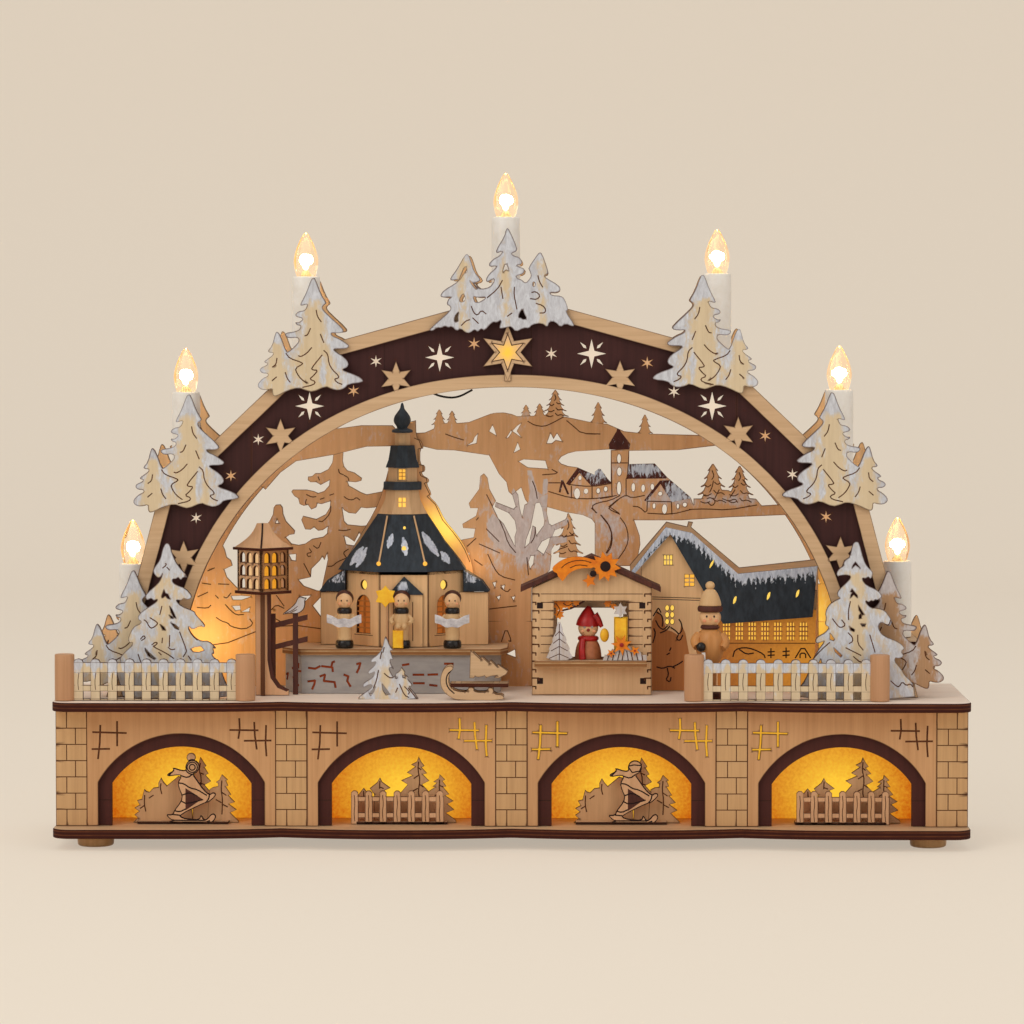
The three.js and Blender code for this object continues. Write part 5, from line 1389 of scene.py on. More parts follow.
deckFirs = {
    # left and right fir, then the small pair on the plate
    "pieces": [("leftFir", "fir_left"), ("rightFir", "fir_right"), ("smallFirs", "small_firs")],
    "y": -46.5,
    # each trunk's middle and half width
    "stems": [[(-229.5, 3.2)], [(227.5, 3.2)], [(-83, 1.6), (-70, 1.0)]],
    "outlines": [
        pairs(-226.3, 199.9, -224.3, 198.8, -222.9, 192.6, -219.5, 185.3, -212.2, 177.1, -215.7, 177.4,
              -216.7, 175.7, -217.8, 175.8, -218.9, 177.4, -220.4, 176, -222.4, 176.3, -222.9, 174.6,
              -221.2, 172.6, -213.9, 169.8, -209.9, 165, -210.8, 163, -213.3, 162.4, -215.3, 163.6,
              -216.7, 161.9, -219.5, 162.4, -220.4, 161.9, -217.3, 158.2, -208.2, 154.8, -207.7, 152.6,
              -201.2, 145.8, -202, 144.1, -204.3, 145.2, -209.6, 142.7, -212.2, 145.2, -212.2, 143.5,
              -209.9, 139.6, -207.1, 136.8, -203.7, 135.1, -199.2, 135.4, -194.4, 131.1, -194.7, 130,
              -196.4, 130.9, -195.3, 126.6, -197.2, 126.9, -195.8, 124.4, -192.4, 122.1, -190.7, 114.8,
              -186.2, 103.5, -185.7, 97.2, -255.6, 97.2, -256.7, 103.5, -260.1, 114.8, -259.6, 119.3,
              -256.7, 121.5, -257.9, 123.8, -254.5, 127.8, -250, 131.7, -248.8, 134.5, -251.1, 133.7,
              -252.2, 136.2, -250.5, 141.3, -247.7, 145.2, -244.3, 146.4, -243.2, 148.1, -245.5, 149.5,
              -245.2, 152.3, -242.1, 155.4, -233.3, 161, -232.5, 163, -235, 161.6, -236.7, 163.6, -239.3,
              161.9, -240.7, 163.9, -239.8, 166.7, -232.5, 172.9, -230.2, 176.3, -229.1, 180.2, -229.7,
              178.2, -231.4, 176.8, -233.3, 177.4, -235.6, 180.8, -234.7, 183.6, -230.8, 188.7, -229.1,
              196, -227.7, 198.8),
        pairs(226.1, 201.1, 227.9, 200.1, 230.7, 189.4, 232.8, 185.1, 236.4, 181.6, 237.1, 180.2, 236,
              177, 235, 176.6, 233.9, 178, 232.1, 176.6, 230, 177.3, 230.3, 175.2, 232.8, 172.4, 240.6,
              168.8, 243.1, 165.3, 242.1, 163.8, 239.6, 162.4, 238.5, 163.1, 237.4, 161.7, 235.7, 162.4,
              234.2, 161, 232.1, 162.4, 232.8, 160.3, 235.7, 157.4, 239.9, 157.4, 244.9, 156, 248.5, 151,
              249.5, 148.2, 248.5, 145.4, 245.6, 146.1, 242.8, 148.2, 240.6, 146.1, 241.3, 142.5, 244.2,
              139, 253.4, 135.4, 257, 132.6, 258, 130.5, 255.6, 129, 257.7, 125.5, 254.1, 124.1, 251.6,
              124.8, 251.6, 121.9, 255.6, 117.7, 258.4, 112.7, 262.7, 109.1, 264.4, 104.2, 265.1, 97.3,
              185.9, 97.3, 187.4, 104.2, 190.9, 107, 194.5, 113.4, 195.9, 119.8, 200.2, 128.3, 205.8,
              135.8, 203, 134.7, 199.8, 134, 199.4, 136.8, 201.6, 139, 205.8, 141.1, 208.7, 144.7, 205.5,
              146.1, 206.5, 150.3, 205.8, 153.9, 207.3, 158.1, 210.1, 161, 214, 163.1, 215.8, 163.8,
              213.6, 165.3, 214, 168.8, 221.5, 175.9, 222.5, 178.4, 219.3, 179.1, 215.1, 178.7, 214,
              177.7, 212.9, 180.2, 215.1, 183.7, 217.9, 185.1, 217.6, 187.3, 219.3, 189.4, 221.8, 190.8,
              223.2, 197.9, 224.3, 200.4),
        pairs(-82.4, 138.9, -79.9, 131.7, -77.4, 129.2, -79.9, 129.2, -79.1, 127.1, -77.4, 122.5, -79.9,
              123.7, -79.5, 120.4, -77, 116.2, -79.5, 118.3, -80.7, 117.1, -78.6, 112.9, -77.4, 111.2,
              -76.1, 114.1, -73.6, 115.4, -72.4, 118.5, -71.1, 116.6, -69.7, 114.8, -70.7, 113.7, -67.6,
              111.6, -68.4, 110.2, -65.9, 107.7, -65.1, 105.6, -67.6, 105.4, -63.2, 100.4, -60.5, 96.5,
              -100.8, 96.5, -100.4, 98.7, -95.3, 102, -91.2, 105.4, -92.8, 107, -97.4, 104.5, -97.8,
              106.2, -97, 107.9, -91.2, 111.2, -89.5, 115.4, -92, 114.1, -94.1, 113.3, -94.5, 115.4,
              -90.3, 118.7, -88.7, 122.1, -92, 121.1, -92.6, 122.9, -87, 127.1, -84.5, 131.3, -83.6,
              137.1),
    ],
    "cuts": [
        [pairs(-228.3, 168.9, -227.4, 166.7, -225.7, 166.1, -224.3, 163, -225.7, 163.2, -227.4, 165.1,
               -229.4, 163.6, -229.9, 164.4),
         pairs(-224.6, 158.2, -222.9, 156, -220.4, 150.3, -222, 150.9, -223.7, 154.3),
         pairs(-224.9, 152.3, -222.9, 151.4, -222.3, 150, -223.7, 150.3),
         pairs(-223.7, 147.2, -221.2, 146.1, -218.9, 144.1, -218.7, 142.7, -221.2, 143.8),
         pairs(-230.8, 146.1, -228.5, 144.4, -227.4, 142.4, -229.1, 142.7),
         pairs(-210.8, 130, -208.2, 131.1, -204.3, 131.7, -202, 129.2, -206, 127.8, -209.4, 128.3),
         pairs(-240.9, 130.6, -238.7, 127.8, -234.2, 123.8, -234.7, 123.2, -238.7, 125.5, -240.7, 128.9)],
        [pairs(223.2, 169.9, 226.8, 165.6, 226.8, 164, 224.3, 166.2, 222.2, 164, 222.5, 166.2, 223.6,
               167.4, 222.2, 168.1), pairs(227.5, 158.9, 231.1, 153.2, 230, 152.8, 227.9, 156),
         pairs(227.9, 152.5, 229.3, 153.9, 229.4, 150.7, 227.9, 150.3),
         pairs(228.9, 147.1, 232.1, 146.8, 231.8, 145.4, 230, 145.4),
         pairs(221.8, 145, 225, 143.2, 224.7, 141.8, 222.2, 142.9),
         pairs(225.4, 187.6, 228.4, 183.7, 225.4, 185.7, 223.2, 183.6, 223.9, 185.7),
         pairs(209, 140.7, 211.9, 136.8, 211.2, 135.8, 209, 136.8),
         pairs(211.5, 131.2, 216.8, 126.2, 216.1, 125.1, 212.2, 128.7),
         pairs(201.2, 120.2, 203, 123.7, 203.5, 120.9, 201.9, 119.4)],
        [pairs(-89.5, 105.2, -90.7, 102, -92.7, 99.3, -93.3, 100.9),
         pairs(-84.9, 107, -80.1, 100.4, -82.6, 99.9, -84.5, 102.9),
         pairs(-71.5, 112.5, -69.9, 112.2, -70.1, 111.2, -71.5, 111.5),
         pairs(-76.1, 111.9, -75, 111.5, -75.3, 110.7, -76.3, 110.9)],
    ],
    "lines": [
        [pairs(-218.1, 141.3, -213.6, 129.4, -213.9, 127.8, -215.8, 124.9),
         pairs(-237.6, 150.6, -232.5, 147.5, -233, 145.8, -236.4, 143.5, -238.1, 144.7, -239.8, 148.1,
               -241.5, 149.2), pairs(-231.1, 152.6, -230.2, 156, -229.7, 158.2),
         pairs(-224.6, 139, -224.9, 131.7), pairs(-225.7, 131.1, -223.5, 129.4, -221.2, 130),
         pairs(-236.4, 132.8, -234.2, 134.5, -232.5, 134, -234.2, 132.3, -235.9, 131.7, -226.8, 127.2,
               -222, 123.8), pairs(-231.9, 127.8, -230.2, 126.1), pairs(-245.5, 126.6, -243.8, 121.5),
         pairs(-248.8, 122.7, -248.6, 119.9), pairs(-229.4, 137.3, -229.7, 134),
         pairs(-212.5, 125.5, -210.5, 122.7), pairs(-204.3, 122.7, -203.2, 119.3),
         pairs(-252.2, 143.3, -250, 145.5, -247.4, 146.6),
         pairs(-227.1, 186.4, -226.6, 185.3, -229.1, 183.3), pairs(-226.3, 183.9, -224.6, 181.9),
         pairs(-243.8, 136.5, -241.8, 139, -240.4, 137.3, -243.2, 135.6),
         pairs(-207.7, 154.3, -204.3, 149.5, -201.5, 145.8),
         pairs(-212.2, 143.3, -209.9, 139, -206.5, 135.9)],
        [pairs(241.3, 146.1, 242.4, 141.8), pairs(235, 139.7, 238.5, 128.3),
         pairs(227.1, 139.7, 227.1, 134, 230.7, 129.7), pairs(222.2, 161.7, 220.8, 155.3, 221.1, 149.6),
         pairs(210.5, 150.3, 213.6, 146.1, 215.8, 144.3, 219.3, 146.1, 216.5, 149.6),
         pairs(220.8, 141.1, 223.6, 138.3, 223.9, 135.4, 221.5, 134), pairs(219.3, 131.2, 229.3, 126.2),
         pairs(248.8, 109.5, 252.7, 105.9, 254.5, 105.6, 256.3, 109, 259.1, 106.3, 261.6, 107.7, 263.4,
               105.6), pairs(224.3, 125.5, 229.3, 121.2, 231.4, 123.3), pairs(235.7, 125.5, 236, 107),
         pairs(197.3, 123.3, 203, 129.7, 208.7, 134.7), pairs(248.5, 149.6, 247.7, 146.1, 244.2, 146.8)],
        [pairs(-73.6, 107, -70.3, 99.5, -67.4, 98.3), pairs(-70.3, 105.4, -66.9, 102, -67.8, 100.4),
         pairs(-85.3, 128.3, -86.3, 123.7), pairs(-87.4, 116.2, -88.7, 109.5, -90.7, 104.5),
         pairs(-83.6, 114.1, -80.3, 111.2, -77.8, 111.2), pairs(-74.9, 104.5, -76.1, 101.6),
         pairs(-83.6, 131.3, -84.5, 127.9), pairs(-67.8, 104.5, -65.3, 101.2, -61.9, 97)],
    ],
}
sled = {
    "runner": pairs(-39.2, 119.9, -42.9, 119.1, -45.4, 116, -46.7, 111, -46.3, 106, -43.8, 101.9, -40, 99,
                    -35, 97.2, -5, 97, -5, 100.6, -11.5, 101, -12, 105.4, -15.4, 105.4, -15.2, 102.3,
                    -24.4, 102.3, -24.6, 105.6, -28.4, 105.6, -28.4, 102.3, -36.7, 103.1, -40, 106, -41.3,
                    110.2, -40.4, 115, -37.7, 117.9),
    "tree": pairs(-27, 129.7, -20, 123.3, -19.7, 125.6, -14.5, 120.8, -14.3, 123.5, -9.1, 118.3, -9.4,
                  120.6, -2.2, 115.8, -3.4, 113.7, -8.4, 111, -11.6, 111.7, -9.7, 112.9, -13, 112.6,
                  -16.6, 111.4, -17.6, 112.6, -21.8, 111.7, -23.9, 112.2, -24.7, 111.1, -27.6, 111.2),
    "curl": [(-38.4, 117.0), (-41.8, 114.5), (-43.0, 110.0), (-41.6, 105.2), (-37.5, 101.6)],
    "runnerDepths": (-54.0, -40.0), "runnerThick": 2.0,
    "slats": [(-40, -55, -2, -51.2), (-40, -50.4, -2, -46.6), (-40, -45.8, -2, -42.0),
              (-40, -41.2, -2, -37.4)],
    "bars": [(-37, -55, -33, -37.2), (-12, -55, -8, -37.2)],
    "bedTop": 108.3, "bedThick": 2.5, "treeDepth": -48.5, "treeThick": 2.2,
    "twinFrom": (-15, 115), "twinTo": (-14, 115.3), "twinScale": 0.92, "twinDepth": -44.5,
}

fence = {
    "y": -59.5, "foot": 97.3, "pitch": 11.0, "picket": 6.2, "height": 27.4,
    "postY": -58.0, "postRadius": 6.5, "postHeight": 30.4,
    "rails": [(0.0, 1.0), (6.0, 9.9), (18.2, 24.8)],
    "spans": {"left": (-292.5, -174.0), "right": (119.5, 240.8)},
}


def buildFences():
    low, width, high = fence["foot"], fence["picket"], fence["height"]
    r, tall = fence["postRadius"], fence["postHeight"]
    picket = pairs(0, 0, width, 0, width, high - 2.2, width * 0.86, high - 0.7, width / 2, high,
                   width * 0.14, high - 0.7, 0, high - 2.2)
    post = pairs(0, 0, r - 0.3, 0, r, 0.3, r, tall - 0.8, r - 0.3, tall - 0.2, r - 0.9, tall, 0, tall)

    def cover(x, z):
        # snow lies on the upper rail and runs down each picket's front
        drips = 3.5 * np.sin(x * 0.57) + 2.5 * np.sin(x * 1.31 + 1)
        return np.clip((z - low - 17.5 + drips) / 5, 0, 1) * 0.9 + 0.16 * np.sin(x * 0.9 + z * 0.4)
    for side, (left, right) in fence["spans"].items():
        first, last = left + r - 0.5, right - r + 0.5 - width
        places = np.linspace(first, last, int(round((last - first) / fence["pitch"])) + 1)
        pickets = [moved(picket, x, low) for x in places]
        seams = [[(x + width * 0.52, low + 7), (x + width * 0.44, low + 12), (x + width * 0.56, low + 18)]
                 for x in places]
        rails = [rectangle(first, low + a, last + width, low + b) for a, b in fence["rails"]]
        board = flatBoard([*pickets, *rails], grooves=strokes(seams, 0.45), place=standing(fence["y"]),
                          face="birchSnow", snow=cover, grid=1.8, rim=0.4)
        posts = [revolved(post, (x, fence["postY"], low), "dowel", 36, 1) for x in (left, right)]
        makePiece(f"fence_{side}", [board, *posts], [f"fence_{side}"])


def buildDeckFirs():
    tables = zip(*(deckFirs[key] for key in ("pieces", "stems", "outlines", "cuts", "lines")))
    for (name, node), stems, outline, cuts, lines in tables:
        def cover(x, z):
            away = np.min([np.abs(x - middle) / width for middle, width in stems], 0)
            top = 0.9 * np.clip((z - outline[:, 1].max() + 27) / 9, 0, 1)
            limbs = 0.12 + np.clip(away - 0.6, 0, 1.4) * 0.4 + 0.14 * np.sin(x * 0.5 + z * 0.35)
            return np.maximum(top, limbs)
        board = flatBoard([smooth(outline, 1)], cuts, strokes(lines, 0.75), place=standing(deckFirs["y"]),
                          face="birchSnow", snow=cover, grid=2.0, rim=0.7)
        makePiece(name, [board], [node])


def buildSled():
    curl = strokes([sled["curl"]], 0.8, 1)
    runners = [flatBoard([smooth(sled["runner"], 1)], grooves=curl, place=standing(y),
                         thick=sled["runnerThick"], rim=0.35, groove="scorchDark")
               for y in sled["runnerDepths"]]
    timbers = [rectangle(*box) for box in sled["slats"] + sled["bars"]]
    bed = flatBoard(timbers, place=lying(sled["bedTop"]), thick=sled["bedThick"], edge="plateEdge", rim=0.3)
    twin = moved(sled["tree"] - sled["twinFrom"], *sled["twinTo"], scale=sled["twinScale"])
    trees = [flatBoard([outline], place=standing(y), thick=sled["treeThick"], rim=0.45)
             for outline, y in ((sled["tree"], sled["treeDepth"]), (twin, sled["twinDepth"]))]
    makePiece("sledWithFir", [*runners, bed, *trees], ["sled"])


lantern = {
    "x": -165.0, "y": -20.0, "half": 17.0, "low": 166.6, "high": 194.2,
    "foot": pairs(-5, 0, 17, 0, 17, 3.5, 11, 7, 7, 13, 5.2, 24, 5.2, 69.4, -5, 69.4),
    # the post's right side is in shade along the same curve; that shade is painted on in a dark brown
    # finish
    "shade": pairs(17, 3.5, 11, 7, 7, 13, 5.2, 24, 5.2, 69.4, 2.8, 69.4, 2.8, 23.4, 4.8, 11.6, 9.4, 5,
                   15.5, 2.4),
    "mullion": (4, 66), "postHalf": 5, "postTop": 69.4,
    "paneHeights": [168.6, 177.2, 185.8], "paneSides": [2.6, 9.3, 16.0], "pane": (2.7, 3.4, 2.5, 3.4, 8),
    "sheetSide": 4.6, "sheetEdge": 0.8, "sheetDepth": 3.4,
    # wood, lit sheet and glow of each side; the front left one is painted paler and brighter and the others
    # darker, as light and shade
    "sides": [("figureWood", "paneGlow", 0.95), ("lanternWood", "lanternGlow", 0.7),
              ("lanternWood", "paneGlow", 0.5), ("lanternWood", "paneGlow", 0.5)],
    "plates": [(18.8, 70.0, 2.0), (20.0, 98.8, 1.8)],  # half diagonal, height over the deck and thickness
    "roof": pairs(18.6, 98.8, 12.5, 103, 8.6, 106.5, 6, 110, 4, 114.5),
}

turnedSquare = np.array([(-1, 0), (0, -1), (1, 0), (0, 1)])


def buildLantern():
    x, y = middle = lantern["x"], lantern["y"]
    base, half = deckZ + 0.3, lantern["postHalf"]
    low, high = lantern["low"], lantern["high"]
    mullion = [[(x, base + z) for z in lantern["mullion"]]]
    # painted shade: the post's shaded side takes the dark brown finish
    shade = [("timber", moved(lantern["shade"], x, base))]
    cross = flatBoard([moved(lantern["foot"], x, base)], (), strokes(mullion, 0.5, 0), shade,
                      standing(y - 1.5), rim=0.5, face="figureWood")
    other = flatBoard([rectangle(-half, base, half, deckZ + lantern["postTop"])],
                      place=facing((x + 1.5, y, 0), (0, 1)), rim=0.5, edge="lanternWood")
    parts = [cross, other]
    corners = turnedSquare * lantern["half"] + middle
    width = lantern["half"] * np.sqrt(2)
    right, up, *size = lantern["pane"]
    panes = [archedWindow(u + right, v + up, *size) for u in lantern["paneSides"]
             for v in lantern["paneHeights"]]
    inset, edge = lantern["sheetSide"], lantern["sheetEdge"]
    sheet = rectangle(inset, low + edge, width - inset, high - edge)
    for (wood, glow, lit), start, end in zip(lantern["sides"], corners, np.roll(corners, -1, 0)):
        place = facing((*start, 0), end - start)
        parts.append(flatBoard([rectangle(0, low, width, high)], panes, thick=1.8, rim=0.5, place=place,
                               face=wood))
        parts.append(glowPane(sheet, place, lantern["sheetDepth"], lit, glow))
    for size, z, thick in lantern["plates"]:
        parts.append(flatBoard([turnedSquare * size + middle], place=lying(deckZ + z), thick=thick,
                               edge="plateEdge", rim=0.4))
    sizes = smooth(lantern["roof"], 2, False)
    rings = [np.column_stack([turnedSquare * size + middle, np.full(4, deckZ + z)]) for size, z in sizes]
    parts.append(surface(np.array(rings), "figureWood"))
    parts.append(tube([(x, y - size, deckZ + z) for size, z in sizes], 0.6, "scorchDark", 8, 0))
    makePiece("streetLantern", parts, ["lantern"])


railFence = {
    "y": -15.0, "posts": (-159, -144), "postHalf": 1.7, "postTop": 54, "railHeights": (29.5, 44),
    "rail": pairs(-168, -2, -136, 6, -136, 9.4, -168, 1.4),
    # tail, belly, breast, beak, crown and back of the bird, from where it sits
    "bird": pairs(-11, 0.4, -5, -0.8, 0, -3.6, 5, -2.9, 7.8, 0.2, 8.6, 3, 11, 4, 8.8, 5, 7.4, 6.8, 4.6,
                  6.8, 2.6, 4.2, -2, 2.4),
    "feathers": [pairs(-8, 0.4, -2, 0, 2.4, 1.4), pairs(-4, -0.8, 1, -0.6)],
    "birdTilt": -24, "birdScale": 0.95, "seat": (-144, 57), "birdY": -16.4, "birdThick": 3.2,
}


def buildRailFence():
    # two dark posts under slanted rails, and a small grey bird on the upper one
    half = railFence["postHalf"]
    posts = [rectangle(x - half, deckZ + 0.3, x + half, deckZ + railFence["postTop"])
             for x in railFence["posts"]]
    rails = [moved(railFence["rail"], 0, deckZ + z) for z in railFence["railHeights"]]
    timber = flatBoard([*posts, *rails], place=standing(railFence["y"]), face="timber", edge="stainedEdge",
                       rim=0.5)
    tilt = np.array(Matrix.Rotation(np.radians(railFence["birdTilt"]), 2))
    x, z = railFence["seat"]

    def perched(line):
        return line * railFence["birdScale"] @ tilt + (x, deckZ + z)
    feathers = strokes([perched(line) for line in railFence["feathers"]], 0.5, 1)
    bird = flatBoard([perched(smooth(railFence["bird"], 2))], grooves=feathers,
                     place=standing(railFence["birdY"]), thick=railFence["birdThick"], face="snowWash",
                     rim=0.4, soft=0.5)
    makePiece("railFence", [timber, bird], ["rail_fence"])


buildFences()
buildDeckFirs()
buildSled()
buildLantern()
buildRailFence()
print("deck furniture done")


platform = {
    "plate": pairs(-154, 46, -154, 6, -141, -9, -8, -9, -3, 6, -3, 46), "top": 127.0, "thick": 4.0,
    "wall": pairs(-152, 46, -152, 8, -140.5, -6, -25, -6, -8, 8, -8, 46), "wallTop": 122.9,
    "slots": [  # gaps between the stones of the front, painted orange for the glow in them, read in its view, then those of the corner
        (318, 508, 350, 512, 372, 500), (380, 500, 425, 505, 430, 482, 440, 478), (430, 505, 432, 525),
        (545, 490, 562, 485, 555, 510, 545, 530), (315, 572, 348, 568, 345, 585, 335, 608),
        (372, 548, 395, 540, 390, 570, 440, 575, 445, 600), (485, 540, 505, 548, 500, 570, 515, 595),
        (760, 495, 790, 490), (810, 540, 860, 540), (880, 540, 925, 538), (958, 488, 998, 488),
        (812, 580, 862, 580), (888, 588, 922, 592),
    ],
    "cornerSlots": [
        pairs(0.8, 109, 3, 109.7, 1.5, 105.5), pairs(7.5, 113.3, 9, 114),
        pairs(12.8, 115.4, 15.1, 116.8, 14.6, 114), pairs(13.6, 111.9, 17.6, 111.9),
        pairs(8.3, 107.6, 9.8, 104.8), pairs(9, 102.7, 15, 102.4),
    ],
}


def buildPlatform():
    parts = [flatBoard([platform["plate"]], place=lying(platform["top"]), thick=platform["thick"],
                       edge="plyLight", soft=0.3, rim=0.5)]
    low, high = deckZ + 0.3, platform["wallTop"]
    wall = platform["wall"]
    front = wall[:, 1].min()
    for number, (start, end) in enumerate(zip(wall[:-1], wall[1:])):
        slots = platform["cornerSlots"] if number == 1 else []
        if start[1] == end[1]:
            slots = [seen("stone", front, *slot) - (start[0], 0) for slot in platform["slots"]]
        length = np.linalg.norm(end - start)
        parts.append(flatBoard([rectangle(0, low, length, high)], grooves=strokes(slots, 1.5, 0),
                               place=facing((*start, 0), end - start), face="stoneGrey", edge="stainedEdge",
                               groove="rust", sunk=0.6, rim=0.5))
    makePiece("churchPlatform", parts, ["church_platform"])


church = {
    "x": -73.0, "roofX": -74.8, "width": 79.0, "rear": 46.0, "base": 127.3, "wallTop": 177.5, "axis": 45.5,
    "window": (148.6, 6.6, 12.8),  # middle, half width and half height, above it the round one
    "glazing": (135.8, 161.4), "rungs": (139.4, 157.4, 6), "sill": (134.6, 9), "round": (168.4, 3.2),
    "frontSeams": (6.6, 11.0, 16.4, 21.8, 26.2), "seamTop": 163,
    "portal": (-9.8, 13.2, 163.6), "doorSeams": (6.3, -6.4), "doorHeights": (131.6, 157.4),
    "wing": {"from": 2.6, "to": 17, "height": 35.5, "front": 26.0, "roofFront": 24.0, "roofDepth": 20.0},
    "gable": pairs(-10.4, 162.4, 13.6, 162.4, 0.6, 174.6), "gableFront": 3.6,
    "roof": pairs(86, 177.8, 78, 183.8, 56, 196.8, 33.5, 214.8),  # width and height of its rings
    "snow": [pairs(-101, 193, -109, 181.6), pairs(-98.4, 192.4, -104.6, 180.6),
             pairs(-81, 202, -83.4, 193.6), pairs(-73.6, 200, -71.4, 188.8),
             pairs(-60.6, 203, -53, 190.6), pairs(-58, 198, -50, 188), pairs(-48, 190, -42.6, 182.6)],
    "battens": [((-84.6, 214), (-89.4, 183.2)), ((-66.6, 214), (-58.4, 183.2))],
    "lights": [  # place, half sizes and how far behind the front side's plane
        (-72.8, 192.6, 1.5, 1.9, 0), (-72.8, 206.2, 0.9, 1.2, 0), (-94.4, 198.4, 1.0, 2.2, 11),
    ],
    "tower": [  # finish and the [width, height] rings that it covers
        ("birchUpright", [(33.5, 215.1), (29.5, 218.4), (24, 224.1), (21.4, 231.1)]),
        ("anthracite", [(25.4, 231.2), (25.6, 233), (25.6, 235), (25.2, 236.6)]),
        ("birchUpright", [(19.4, 236.7), (19.4, 246.1)]),
        ("anthracite", [(22.6, 246.2), (21.6, 248), (19, 251.4), (17.3, 256.5), (16, 261.1)]),
        ("birchUpright", [(10.3, 261.2), (10.3, 270.1)]),
    ],
    "onion": pairs(0, -0.4, 6.6, -0.2, 7.3, 0.9, 6.6, 2, 3.6, 2.8, 3.6, 3.8, 5.9, 7, 5.6, 10.4, 3.6, 13.4,
                   1.5, 16, 1.1, 18.4, 0.5, 20, 0, 20.1),
    "onionAt": (38.4, 270.0),
    "lowerPanes": {"x": (-2.3, 0.5), "z": (220.0, 223.4), "size": (2.0, 2.7)},
    "lowerStage": ((215.1, 224.1, 231.1), (16.75, 12, 10.7)),  # heights and half widths
    "upperPane": (-2.2, 238.2, 2.2, 245.2), "upperFrame": (-3.2, 237.4, 3.2, 246.0), "upperFront": 35.3,
    "upperBars": (241.7, 2.2, 3.5, 2, 3, 0.5),  # middle, half sizes, columns, rows, width
}


def octagonRing(width, z, steps=1):
    # the rear half of an octagon is cut off by a flat at the church's back
    x, rear, half = church["roofX"], church["rear"], width / 2
    side = half * np.tan(np.pi / 8)
    middle = church["axis"]
    corners = pairs(x + half, rear, x - half, rear, x - half, middle - side, x - side, middle - half,
                    x + side, middle - half, x + half, middle - side)
    share = np.arange(steps)[None, :, None] / steps
    ring = (corners[:, None] * (1 - share) + np.roll(corners, -1, 0)[:, None] * share).reshape(-1, 2)
    return np.column_stack([ring, np.full(len(ring), z)])


def churchWindow(place, length, aside):
    # an arched window with bars, its sill and the round window above it, moved aside along the wall
    (z, half, tall), (roundZ, size) = church["window"], church["round"]
    x = length / 2 + aside
    opening, circle = archedWindow(x, z, half, tall), ellipse(x + 0.6 * aside, roundZ, size, size)
    bars = [[(x, z) for z in church["glazing"]]]
    bars += [[(x - half, z), (x + half, z)] for z in np.linspace(*church["rungs"])]
    ahead = np.array([place[0] - np.cross(place[1], place[2]) * 0.4, *place[1:]])
    panes = [glowPane(opening, place, 2.2, 0.45, "latticeGlow"), glowPane(circle, place, 1.6, 0.9),
             strips(strokes(bars, 0.9, 0), ahead, 1.2, "litWood")]
    z, reach = church["sill"]
    return [opening, circle], panes, [(x - reach, z), (x + reach, z)]


def buildChurch():
    base, top, x, rear = church["base"], church["wallTop"], church["x"], church["rear"]
    half = church["width"] / 2
    side = half * np.tan(np.pi / 8)
    middle = church["axis"]
    corners = pairs(x - half, rear, x - half, middle - side, x - side, middle - half, x + side,
                    middle - half, x + half, middle - side, x + half, rear)
    parts = []
    for number, (start, end) in enumerate(zip(corners[:-1], corners[1:])):
        length = np.linalg.norm(end - start)
        place = facing((*start, 0), end - start)
        holes, panes, lines = [], [], [[(0.7, base), (0.7, top)]]
        if number in (1, 3):  # the two slanted walls
            holes, panes, sill = churchWindow(place, length, 2 - number)
            lines.append(sill)
        if number == 2:
            lines += [[(seam, base), (seam, church["seamTop"])] for seam in church["frontSeams"]]
        parts.append(flatBoard([rectangle(0, base, length, top)], holes, strokes(lines, 0.5, 0),
                               place=place, face="wallWood", rim=0.45))
        parts += panes
    parts.append(flatBoard([corners], place=lying(top), thick=2.0))
    # the portal stands before the front wall
    left, right, high = church["portal"]
    seams = [[(x + seam, z) for z in church["doorHeights"]] for seam in church["doorSeams"]]
    parts.append(flatBoard([rectangle(x + left, base, x + right, high)], grooves=strokes(seams, 0.6, 0),
                           place=standing(middle - half - 1.4), thick=1.2, face="wallWood", rim=0.4))
    wing = church["wing"]
    high = base + wing["height"]
    for sign in (-1, 1):
        near, far = x + sign * (half - wing["from"]), x + sign * (half + wing["to"])
        place = facing((far, 46.0, 0), (0, -1)) if sign < 0 else facing((far, 29.0, 0), (0, 1))
        parts += [flatBoard([rectangle(min(near, far), base, max(near, far), high)],
                            place=standing(wing["front"]), face="wallWood", rim=0.45),
                  flatBoard([rectangle(0, base, wing["to"], high)], face="wallWood", rim=0.45, place=place)]
    makePiece("churchWalls", parts, ["church"])


def strokeSnow(points, lines, width):
    # how deep a point lies inside the nearest brushed stroke: wide in the middle, thin at both ends
    best = np.zeros(len(points))
    for line in lines:
        start, run = line[0], line[1] - line[0]
        share = np.clip(((points - start) @ run) / (run @ run), 0, 1)
        gap = np.linalg.norm(points - start - share[:, None] * run, axis=1)
        reach = width * (0.35 + np.sin(np.pi * np.clip(share, 0.03, 0.97)))
        best = np.maximum(best, np.clip(1.4 - gap / reach, 0, 1))
    return best


